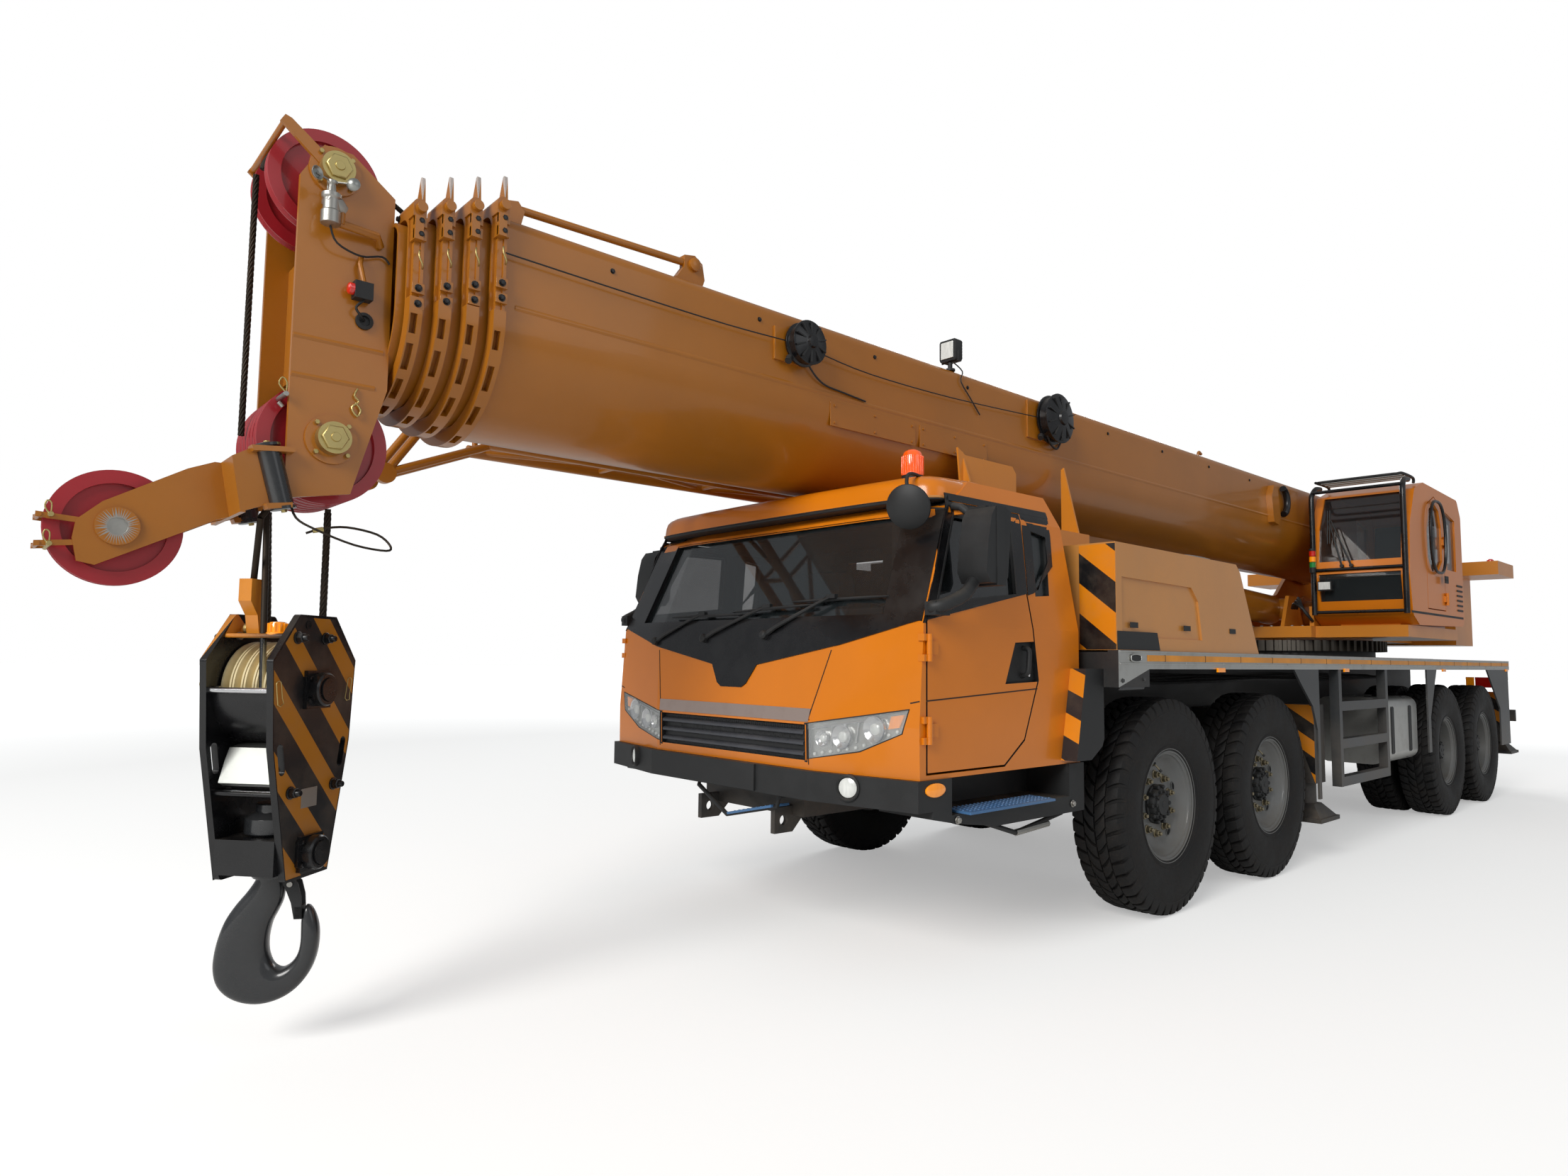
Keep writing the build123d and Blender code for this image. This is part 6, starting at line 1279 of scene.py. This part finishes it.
# work lamp on the boom's edge
base.lathe(((0, 0.030), (0.012, 0.030), (0.014, 0.014), (0.05, 0.014)), (2.92, 0.375, 3.168), (0, 0, 1),
    1, 20)
base.bend([(2.92, 0.375, 3.19), (2.92, 0.375, 3.22)], 3, 0.012, 1, 10)
base.tube(((2.92, 0.315, 3.285), (2.92, 0.315, 3.225), (2.92, 0.435, 3.225), (2.92, 0.435, 3.285)),
    0.006, 1, 8)
base.prism(((0.322, 3.225), (0.428, 3.225), (0.436, 3.240), (0.436, 3.345), (0.428, 3.355),
    (0.322, 3.355), (0.314, 3.345), (0.314, 3.240)), "x", 2.880, 2.945, 1)
base.prism(((0.330, 3.240), (0.420, 3.240), (0.420, 3.340), (0.330, 3.340)), "x", 2.946, 2.953, 4)
for n in range(6):
    z = 3.245 + n * 0.019
    base.box((2.868, 0.322, z), (2.882, 0.428, z + 0.006), 1)
base.bend([(2.875, 0.36, 3.24), (2.86, 0.42, 3.17), (2.89, 0.432, 3.10), (2.80, 0.43, 3.02),
    (2.70, 0.43, 2.93)], 4, 0.004, 1, 6)
# stay rod, lifting hook and saddle on top
base.tube(((5.745, 0.310, 3.245), (5.70, 0.310, 3.262), (4.86, 0.310, 3.288)), 0.017, 0, 12)
base.prism(((5.77, 3.20), (5.77, 3.27), (5.70, 3.285), (5.67, 3.25), (5.69, 3.17)), "y", 0.285, 0.335)
base.prism(((4.98, 3.168), (4.90, 3.205), (4.86, 3.262), (4.86, 3.318), (4.80, 3.330), (4.755, 3.300),
    (4.740, 3.225), (4.76, 3.168)), "y", 0.290, 0.330)
base.lathe(((-0.035, 0.032), (0.035, 0.032), (0.042, 0.022)), (4.805, 0.31, 3.282), (0, 1, 0), 0, 24)
base.bend([(-0.58, 0.30, 3.165), (-0.58, 0.30, 3.215), (-0.60, 0.30, 3.24), (-0.64, 0.30, 3.225)], 4,
    0.012, 0, 8)
base.prism(((-1.70, 2.98), (-1.76, 3.085), (-1.84, 3.090), (-1.90, 2.80), (-1.86, 2.72), (-1.74, 2.74)),
    "y", BOOM_SIDE, BOOM_SIDE + 0.055)
base.tube([(x, BOOM_SIDE + 0.035, z) for x, z in arc_points((-2.0, 2.965), 0.125, 100, 260, 14)], 0.030,
    2, 10)
# rollers and the hoist rope over the base section
for x in (5.62, 0.4):
    for sign in (1, -1):
        base.box((x - 0.05, sign * 0.075, 3.165), (x + 0.05, sign * 0.087, 3.245), 0)
    base.lathe(((-0.074, 0.030), (-0.066, 0.032), (-0.05, 0.022), (0.05, 0.022), (0.066, 0.032),
        (0.074, 0.030)), (x, 0, 3.215), (0, 1, 0), 3, 24)
base.tube(((5.66, 0, 3.246), (0.4, 0, 3.248), (-2.2, 0, 3.262), (-4.9, 0, 3.292), (-5.02, 0, 3.19)),
    0.010, 5, 8)
for n in range(9):  # small fasteners along the top edge of the side
    base.bolt((5.3 - n * 0.83, BOOM_SIDE, 3.08), (0, 1, 0), 0.009, 0.007, 2)
base.done(bevel=0.003, angle=40)

COLLAR_X = (5.795, 5.891, 5.987, 6.083)
for n, x in enumerate(COLLAR_X):  # bolt blocks, wire hoops and bolts on each collar
    half, top = BOOM_SIDE - 0.030 * n, BOOM_TOP - 0.025 * n
    collar = Piece(f"collar_{n + 1}_fittings", f"boom_{n + 1}", "boom_paint", boom_paint, black_gloss,
        zinc, steel)
    face = half + 0.028
    for sign in (1, -1):
        for z in (top - 0.040, top - 0.092, top - 0.30, top - 0.36):
            collar.box((x - 0.004, sign * face, z - 0.020), (x + 0.044, sign * (face + 0.013), z + 0.020))
            collar.bolt((x + 0.020, sign * (face + 0.013), z), (0, sign, 0), 0.011, 0.012, 1)
    for k in range(3):
        y = -0.22 + 0.22 * k
        collar.bolt((x + 0.050, y, top + 0.010), (1, 0, 0), 0.010, 0.010, 1)
    hoop = [(x + 0.02, face + 0.012, top - 0.155), (x + 0.028, face + 0.030, top - 0.165),
        (x + 0.030, face + 0.038, top - 0.190), (x + 0.016, face + 0.034, top - 0.215),
        (x + 0.010, face + 0.016, top - 0.225)]
    collar.bend(hoop, 3, 0.004, 2, 6)
    collar.lathe(((-0.012, 0.020), (0.034, 0.020)), (x + 0.022, face, top + 0.010), (0, 1, 0), 0, 20)
    collar.done(bevel=0.002, angle=40)

head = Piece("head_fittings", "boom_head", "boom_paint", boom_paint, black_matt, zinc, steel, red_lens,
    rope_dark, shroud_metal, hook_black)
for sign in (1, -1):
    for z, x0, x1 in ((2.560, 6.175, 6.488), (2.418, 6.20, 6.488)):
        head.prism(((sign * HEAD_SIDE, z - 0.010), (sign * (HEAD_SIDE + 0.004), z),
            (sign * HEAD_SIDE, z + 0.010)), "x", x0, x1)
    for pin in (UPPER_PIN, LOWER_PIN):
        out = (0, sign, 0)
        at = (pin[0], sign * (HEAD_SIDE + 0.048), pin[1])
        head.lathe(((0, 0.047), (0.012, 0.047), (0.015, 0.043)), at, out, 2, 6, False)
        head.lathe(((0.014, 0.018), (0.020, 0.016)), at, out, 2, 16)
        for n in range(4):
            turn = math.pi / 4 + math.pi / 2 * n
            head.bolt((pin[0] + 0.076 * math.cos(turn), sign * (HEAD_SIDE + 0.004),
                pin[1] + 0.076 * math.sin(turn)), out, 0.009, 0.022, 2)
# wind gauge on its bracket, upper left
head.tube(((6.205, 0.240, 2.965), (6.225, 0.268, 2.990), (6.420, 0.290, 2.990)), 0.015, 0, 12)
head.tube(((6.36, 0.290, 2.985), (6.36, 0.290, 3.045)), 0.012, 0, 12)
head.lathe(((0.0, 0.020), (0.006, 0.034), (0.050, 0.034), (0.056, 0.028), (0.095, 0.028),
    (0.102, 0.034), (0.116, 0.034), (0.122, 0.016), (0.150, 0.012), (0.156, 0.018), (0.166, 0.018),
    (0.170, 0.010)), (6.400, 0.300, 2.965), (0, 0, 1), 3, 28)
head.lathe(((-0.03, 0.018), (0.0, 0.030), (0.045, 0.030), (0.05, 0.022)), (6.375, 0.290, 3.050),
    (0.9, 0.2, 0.35), 3, 24)
for n in range(3):
    turn = 0.5 + 2 * math.pi * n / 3
    tip = Vector((6.400 + 0.070 * math.cos(turn), 0.300 + 0.070 * math.sin(turn), 3.128))
    head.tube(((6.400, 0.300, 3.128), tip), 0.0035, 3, 6)
    away = Vector((-math.sin(turn), math.cos(turn), 0))
    head.lathe(((-0.012, 0.006), (-0.006, 0.018), (0.004, 0.025), (0.006, 0.023), (-0.003, 0.014)), tip,
        away, 6, 20)
head.bend([(6.40, 0.30, 2.965), (6.37, 0.285, 2.915), (6.28, 0.262, 2.900), (6.20, 0.250, 2.925),
    (6.17, 0.246, 2.905)], 4, 0.004, 1, 6)
# little lamp with a red lens over a rubber grommet
head.tube(((6.270, 0.240, 2.905), (6.280, 0.262, 2.870), (6.265, 0.268, 2.800)), 0.009, 0, 8)
head.box((6.235, 0.240, 2.735), (6.300, 0.285, 2.800), 1)
head.lathe(((0, 0.022), (0.016, 0.022), (0.022, 0.014)), (6.300, 0.264, 2.768), (1, 0, 0), 4, 20)
head.lathe(((0.0, 0.032), (0.010, 0.032), (0.012, 0.020), (0.002, 0.018)), (6.250, HEAD_SIDE, 2.665),
    (0, 1, 0), 1, 24)
head.bend([(6.262, 0.268, 2.735), (6.290, 0.270, 2.700), (6.270, 0.262, 2.675), (6.250, 0.240, 2.667)],
    4, 0.005, 1, 6)
clip = [(6.262, 0.240, 2.405), (6.274, 0.246, 2.375), (6.258, 0.246, 2.355), (6.282, 0.246, 2.330),
    (6.262, 0.246, 2.300), (6.250, 0.246, 2.325), (6.270, 0.246, 2.350)]
head.bend(clip, 3, 0.004, 2, 6)
# ropes: up the head's front to the upper sheave, and the loose pennant loop below it
wire_rope(head, [(6.586, 0.0, 2.215), (6.583, 0.0, 3.205)], 0.0115, 5)
back = [(6.375 + 0.192 * math.cos(a), 0.0, 3.200 + 0.192 * math.sin(a))
    for a in (math.radians(d) for d in range(10, 116, 10))] + [(6.18, 0.0, 3.315), (6.02, 0.0, 3.225)]
head.tube([(x, y, min(z, 3.389)) for x, y, z in back], 0.0105, 5, 8)
loop = [(6.470, 0.236, 1.965), (6.455, 0.262, 1.90), (6.40, 0.30, 1.860), (6.28, 0.34, 1.812),
    (6.17, 0.345, 1.800), (6.15, 0.325, 1.822), (6.19, 0.300, 1.862), (6.29, 0.282, 1.880),
    (6.37, 0.272, 1.868), (6.42, 0.262, 1.848)]
head.bend(loop, 4, 0.0045, 5, 6)
head.lathe(((0, 0.009), (0.035, 0.009)), (6.400, 0.268, 1.858), (-0.8, 0.1, 0.2), 2, 10)
for y in (0.20, -0.20):  # keeper rods of the rope guard in front of the lower sheaves
    head.tube(((6.50, y, 2.30), (6.515, y, 2.315)), 0.008, 3, 8)
head.tube(((6.505, -0.245, 2.335), (6.505, 0.262, 2.335)), 0.009, 3, 10)
head.bend([(6.505, 0.255, 2.335), (6.505, 0.262, 2.375), (6.520, 0.262, 2.390), (6.530, 0.262, 2.365),
    (6.505, 0.258, 2.338)], 3, 0.003, 2, 6)
# auxiliary arm: pin ring, washers, keeper clips and guard rods
for sign in (1, -1):
    head.lathe(((0, 0.047), (0.006, 0.047), (0.008, 0.043), (0.008, 0.030), (0.002, 0.029)),
        (AUX_PIN[0], sign * 0.0645, AUX_PIN[1]), (0, sign, 0), 3, 36)
for x, z in ((7.120, 1.858), (7.120, 1.764)):
    head.tube(((x, -0.085, z), (x, 0.085, z)), 0.0085, 2, 10)
    head.bend([(x, 0.078, z), (x, 0.084, z + 0.035), (x + 0.012, 0.084, z + 0.042),
        (x + 0.016, 0.084, z + 0.02), (x, 0.080, z - 0.004)], 3, 0.0028, 2, 6)
for z, r in ((2.138, 0.043), (1.942, 0.043)):
    x = 6.494 + (z - 1.942) * 0.27
    for sign in (1, -1):
        up = 1 if z > 2 else -1
        head.lathe(((0, r), (0.010, r), (0.012, r * 0.85)), (x + 0.003 * up, sign * 0.235,
            z + 0.004 * up), (0.26 * up, 0, up), 7, 28)
        head.bolt((x + 0.006 * up, sign * 0.235, z + 0.014 * up), (0.26 * up, 0, up), 0.010, 0.010, 2)
head.done(bevel=0.0015, angle=40)

# block side of the ropes: laid strands round the plain falls
falls = Piece("fall_ropes", "hook_block", "steel", rope_dark, steel, zinc)
wire_rope(falls, [(6.490, 0.0262, 1.940), (6.472, 0.0262, 1.500)], 0.0135, 0)
wire_rope(falls, [(6.285, 0.0262, 1.960), (6.285, 0.0262, 1.500)], 0.0135, 0)
falls.done(angle=60)

# ---------------------------------------------------------------- deck, hoods and chassis side
DECK_TOP = 1.489
RAIL_LOW = 1.405
RAIL_Y = 1.375
MARKER_Y = 1.376
HOOD_Y = 1.362
HOOD_FRONT_X = 2.800
STRAP_HALF = 0.035
warn = striped("hood_stripes", (0, 0.62, 0.78), 0.255, (228, 134, 6), (14, 14, 16), 0.06, 0.5)
fender_stripes = striped("fender_stripes", (-0.25, 0.40, 0.88), 0.215, (232, 140, 14), (24, 26, 30), 0.05)
jack_stripes = striped("jack_stripes", (0, 0.55, 0.80), 0.20, (214, 128, 8), (18, 18, 20), 0.0)
recolour("deck", aluminium, lambda p, n: abs(p.y) > RAIL_Y - 0.004 and p.z > RAIL_LOW - 0.02
    and abs(n.y) > 0.9)
recolour("cab_trim", fender_stripes, lambda p, n: n.x > 0.5 and abs(p.y) > 1.19 and p.z > 0.94
    and p.x < 3.2)
for node in ("outrigger_front_left", "outrigger_front_right", "outrigger_rear_left",
        "outrigger_rear_right"):
    recolour(node, jack_stripes, lambda p, n: n.x > 0.9 and abs(p.y) > 1.18)

deck = Piece("deck_fittings", "chassis", "aluminium", aluminium, rail_amber, black_matt, warn,
    dark_paint, steel, red_lens, amber_lens)
for sign in (1, -1):
    y0 = sign * RAIL_Y
    for z in (DECK_TOP - 0.006, RAIL_LOW + 0.014):
        deck.prism(((y0, z - 0.006), (y0 + sign * 0.005, z - 0.004), (y0 + sign * 0.005, z + 0.004),
            (y0, z + 0.006)), "x", -6.04, 2.80)
    deck.box((-6.02, y0, 1.432), (2.500, y0 + sign * 0.0035, 1.466), 1)
    for n in range(17):  # joints of the reflective strip and rivets
        x = 2.30 - n * 0.5
        deck.box((x, y0, 1.430), (x + 0.004, y0 + sign * 0.005, 1.468), 2)
        deck.lathe(((0, 0.006), (0.004, 0.004)), (x - 0.25, y0 + sign * 0.003, 1.422), (0, sign, 0), 5, 8)
    oval = [(2.632 + 0.055 * max(-0.8, min(0.8, math.cos(a))) / 0.8, y0 + sign * 0.004,
        1.449 + 0.020 * math.sin(a)) for a in around(24)]
    deck.rings((oval, [(x, y - sign * 0.006, z) for x, y, z in oval]), 2, False)
    deck.tube([(x, y + sign * 0.002, z) for x, y, z in oval], 0.004, 0, 6, True)
    outer = ((2.797, 1.400), (2.500, 1.400), (2.497, 1.330), (2.540, 1.283), (2.797, 1.280))
    inner = ((2.735, 1.368), (2.600, 1.368), (2.597, 1.340), (2.600, 1.308), (2.735, 1.308))
    for n in range(5):
        m = (n + 1) % 5
        deck.prism((outer[n], outer[m], inner[m], inner[n]), "y", y0 - sign * 0.010, y0 - sign * 0.002, 4)
    for x, z in ((2.545, 1.335), (2.77, 1.33)):
        deck.bolt((x, y0 - sign * 0.002, z), (0, sign, 0), 0.010, 0.010, 4)
    deck.prism(((sign * 1.150, 1.492), (sign * 1.360, 1.492), (sign * 1.360, 2.052),
        (sign * 1.150, 2.052)), "x", HOOD_FRONT_X, HOOD_FRONT_X + 0.003, 3)
    deck.prism(((2.795, 1.493), (2.330, 1.493), (2.360, 1.590), (2.795, 1.590)), "y", sign * HOOD_Y,
        sign * (HOOD_Y + 0.003), 2)
    for n in range(3):  # hood latches
        x = 2.62 - n * 0.62
        deck.box((x - 0.04, sign * HOOD_Y, 1.610), (x + 0.04, sign * (HOOD_Y + 0.006), 1.640), 2)
    deck.bend([(1.20, sign * 1.15, 2.062), (1.20, sign * 1.15, 2.10), (1.55, sign * 1.15, 2.10),
        (1.55, sign * 1.15, 2.062)], 4, 0.010, 5, 8)
    for x in (-5.90, -3.30, -0.60, 1.6):  # side marker lamps
        deck.box((x - 0.05, sign * MARKER_Y, 1.372), (x + 0.05, sign * (MARKER_Y + 0.012), 1.398), 7)
    deck.box((-6.055, sign * 1.05, 1.18), (-6.075, sign * 1.32, 1.30), 6)
    deck.box((-6.055, sign * 0.96, 1.18), (-6.075, sign * 1.04, 1.30), 7)
for n in range(26):  # chequered walking strips on the deck
    x = 0.70 - n * 0.16
    for sign in (1, -1):
        deck.box((x, sign * 1.00, DECK_TOP), (x + 0.10, sign * 1.30, DECK_TOP + 0.003), 4)
low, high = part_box("fuel_tank")
for share in (0.22, 0.72):  # tank straps and filler
    x = low[0] + (high[0] - low[0]) * share
    deck.prism(((high[1] - 0.03, low[2] + 0.02), (high[1] + 0.006, low[2] + 0.09),
        (high[1] + 0.006, high[2] - 0.09), (high[1] - 0.05, high[2] + 0.004),
        (high[1] - 0.20, high[2] + 0.006), (high[1] - 0.20, high[2] - 0.02),
        (high[1] - 0.06, high[2] - 0.02), (high[1] - 0.006, high[2] - 0.10),
        (high[1] - 0.006, low[2] + 0.10)), "x", x - STRAP_HALF, x + STRAP_HALF, 2)
deck.lathe(((0, 0.055), (0.03, 0.055), (0.034, 0.048), (0.05, 0.048), (0.054, 0.040)),
    ((low[0] + high[0]) / 2, high[1] - 0.16, high[2] - 0.01), (0, 0.3, 1), 2, 28)
# hydraulic lines along the frame, seen below the deck
for n in range(4):
    deck.tube([(x, 0.60 + n * 0.035, 1.330 - n * 0.012 + 0.010 * math.sin(x * 2.1 + n)) for x in (2.6,
        1.8, 1.0, 0.2, -0.6, -1.4, -2.2, -3.0, -3.8)], 0.011, 2, 8)
deck.done(bevel=0.0015, angle=40)

# ---------------------------------------------------------------- operator's cab and turntable
BOOTH_FRONT_X = -2.480
BOOTH_REAR_X = -4.320
BOOTH_IN, BOOTH_OUT = 0.520, 1.345
BOOTH_HIGH = 3.160
RING_X = -3.320
RING_CIRCLE = 0.70
RING_BOLTS = 48
booth = Piece("operator_cab_dressing", "turntable", "black_plastic", black_gloss, black_matt, steel,
    red_lens, amber_lens, green_lens, clear_lens, cab_paint, seat_cloth, interior_dark, chrome)
guard_z = BOOTH_HIGH + 0.035
for x in (-2.560, -2.660, -2.760, -2.860):
    booth.tube(((x, BOOTH_IN + 0.06, guard_z), (x, BOOTH_OUT - 0.06, guard_z)), 0.009, 2, 8)
rail = smooth_run([(-2.90, BOOTH_IN + 0.05, BOOTH_HIGH - 0.01), (-2.88, BOOTH_IN + 0.05, guard_z),
    (-2.56, BOOTH_IN + 0.05, guard_z), (-2.500, BOOTH_IN + 0.08, guard_z - 0.01),
    (-2.490, BOOTH_IN + 0.16, guard_z - 0.01), (-2.490, BOOTH_OUT - 0.16, guard_z - 0.01),
    (-2.500, BOOTH_OUT - 0.08, guard_z - 0.01), (-2.56, BOOTH_OUT - 0.05, guard_z),
    (-2.88, BOOTH_OUT - 0.05, guard_z), (-2.90, BOOTH_OUT - 0.05, BOOTH_HIGH - 0.01)], 4)
booth.tube(rail, 0.013, 1, 10)
post = [(BOOTH_FRONT_X + 0.010, BOOTH_OUT - 0.030, z) for z in (1.90, 2.20, 2.50, 2.80, 3.02)]
post += [(BOOTH_FRONT_X - 0.02, BOOTH_OUT - 0.035, 3.09), (BOOTH_FRONT_X - 0.08, BOOTH_OUT - 0.040,
    3.135), (BOOTH_FRONT_X - 0.20, BOOTH_OUT - 0.040, 3.150)]
booth.bend(post, 3, 0.024, 0, 12)
booth.bend([(x, BOOTH_IN + BOOTH_OUT - y, z) for x, y, z in post], 3, 0.024, 0, 12)
for z in (3.085, 2.330, 1.925):
    booth.tube(((BOOTH_FRONT_X + 0.006, BOOTH_IN + 0.03, z),
        (BOOTH_FRONT_X + 0.006, BOOTH_OUT - 0.03, z)), 0.016, 0, 10)
for y, lean in ((0.80, 0.10), (0.88, 0.16)):  # two wipers
    foot, tip = Vector((BOOTH_FRONT_X + 0.022, y, 2.36)), Vector((BOOTH_FRONT_X + 0.022, y - lean, 2.80))
    booth.tube((foot, tip), (0.009, 0.005), 1, 8)
    booth.tube((tip - Vector((0.010, 0.02, 0.22)), tip + Vector((-0.008, -0.01, 0.10))), 0.006, 1, 6)
    booth.lathe(((-0.01, 0.018), (0.014, 0.016)), foot, (1, 0, 0), 1, 16)
for k, lens in enumerate((3, 4, 5)):  # stacked signal lamp
    z = 2.47 - k * 0.055
    booth.lathe(((0, 0.028), (0.048, 0.028), (0.050, 0.024)),
        (BOOTH_FRONT_X + 0.03, BOOTH_IN + 0.030, z), (0, 0, 1), lens, 20)
booth.lathe(((0, 0.030), (0.02, 0.030)), (BOOTH_FRONT_X + 0.03, BOOTH_IN + 0.030, 2.522), (0, 0, 1), 1, 20)
booth.lathe(((0, 0.026), (0.05, 0.030)), (BOOTH_FRONT_X + 0.03, BOOTH_IN + 0.030, 2.31), (0, 0, 1), 1, 20)
booth.prism(((0.60, 2.13), (0.72, 2.13), (0.72, 2.22), (0.60, 2.22)), "x", BOOTH_FRONT_X + 0.012,
    BOOTH_FRONT_X + 0.070, 1)
booth.prism(((0.61, 2.14), (0.71, 2.14), (0.71, 2.21), (0.61, 2.21)), "x", BOOTH_FRONT_X + 0.070,
    BOOTH_FRONT_X + 0.076, 6)
for n in range(6):  # louvres on the rear side
    z = 1.98 + n * 0.05
    booth.prism(((-4.26, z), (-4.06, z), (-4.06, z + 0.018), (-4.26, z + 0.018)), "y", BOOTH_OUT,
        BOOTH_OUT + 0.007, 1)
booth.prism(((BOOTH_FRONT_X - 0.005, 1.905), (BOOTH_FRONT_X - 0.005, 1.925),
    (BOOTH_REAR_X + 0.05, 1.925), (BOOTH_REAR_X + 0.05, 1.905)), "y", BOOTH_OUT, BOOTH_OUT + 0.003, 1)
booth.bend([(-4.30, 0.80, 2.75), (-4.42, 0.80, 2.78), (-4.52, 0.82, 2.68), (-4.50, 0.84, 2.50),
    (-4.44, 0.86, 2.38), (-4.42, 0.88, 2.10)], 4, 0.017, 1, 10)
booth.bend([(-4.30, 0.90, 2.68), (-4.46, 0.90, 2.70), (-4.58, 0.92, 2.58), (-4.54, 0.93, 2.44),
    (-4.46, 0.94, 2.20)], 4, 0.013, 1, 10)
# seat, console and levers inside
booth.prism(((-3.75, 2.10), (-3.20, 2.10), (-3.16, 2.18), (-3.20, 2.24), (-3.74, 2.22)), "y", 0.70, 1.16, 8)
booth.prism(((-3.80, 2.18), (-3.66, 2.22), (-3.78, 2.86), (-3.90, 2.84)), "y", 0.72, 1.14, 8)
booth.box((-3.65, 0.78, 1.90), (-3.30, 1.08, 2.10), 9)
for y in (0.60, 1.18):
    booth.prism(((-3.60, 2.10), (-3.05, 2.10), (-3.00, 2.32), (-3.20, 2.36), (-3.60, 2.30)), "y", y,
        y + 0.09, 9)
    booth.tube(((-3.08, y + 0.045, 2.34), (-3.05, y + 0.045, 2.46)), 0.010, 1, 8)
    booth.lathe(((-0.02, 0.014), (0.0, 0.024), (0.03, 0.018)), (-3.05, y + 0.045, 2.47), (0, 0, 1), 1, 16)
booth.prism(((-2.62, 1.95), (-2.54, 1.95), (-2.56, 2.34), (-2.72, 2.36), (-2.70, 2.28)), "y", 0.62, 1.26, 9)
booth.done(bevel=0.002, angle=40)

door = Piece("operator_door_dressing", "operator_door", "black_plastic", black_gloss, black_matt, chrome)
low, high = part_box("operator_door")
glow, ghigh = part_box("operator_door_glass")
cx, cz = (glow[0] + ghigh[0]) / 2, (glow[2] + ghigh[2]) / 2
hx, hz = (ghigh[0] - glow[0]) / 2 + 0.012, (ghigh[2] - glow[2]) / 2 + 0.012
oval = []
for x, z in arc_points((cx, cz), 1.0, 0, 360, 40)[:-1]:
    u, v = x - cx, z - cz
    oval.append((cx + hx * math.copysign(abs(u) ** 0.72, u), high[1] + 0.002,
        cz + hz * math.copysign(abs(v) ** 0.86, v)))
door.tube(oval, 0.014, 0, 8, True)
door.box((low[0] + 0.06, high[1], 2.230), (low[0] + 0.16, high[1] + 0.012, 2.300), 1)
door.bend([(low[0] + 0.075, high[1] + 0.004, 2.265), (low[0] + 0.09, high[1] + 0.013, 2.262),
    (low[0] + 0.15, high[1] + 0.013, 2.268), (low[0] + 0.165, high[1] + 0.004, 2.265)], 3, 0.007, 1, 8)
door.done(bevel=0.001, angle=40)

rear = Piece("turntable_dressing", "turntable", "boom_paint", turn_paint, black_matt, steel, red_lens,
    rope_dark)
for y in (1.22, -1.22):
    rear.lathe(((0, 0.045), (0.010, 0.045), (0.014, 0.036), (0.050, 0.034), (0.062, 0.020)),
        (-6.20, y, 2.630), (0, 0, 1), 3, 24)
for n in range(8):
    rear.bolt((-5.90 - (n % 4) * 0.16, 1.30 * (1 if n < 4 else -1), 2.630), (0, 0, 1), 0.016, 0.014, 2)
for turn in around(RING_BOLTS):
    rear.bolt((RING_X + RING_CIRCLE * math.cos(turn), RING_CIRCLE * math.sin(turn), 1.800), (0, 0, 1),
        0.016, 0.016, 2)
for k in range(3):
    rear.bend([(-2.60 - 0.06 * k, 0.30, 1.98), (-2.50 - 0.05 * k, 0.36, 2.02 + 0.03 * k),
        (-2.46, 0.45, 1.96), (-2.52, 0.50, 1.86), (-2.70, 0.46, 1.83)], 4, 0.014, 1, 8)
rear.done(bevel=0.002, angle=40)
recolour("deck", turn_paint, lambda p, n: p.z > 1.6)  # the boom's rest
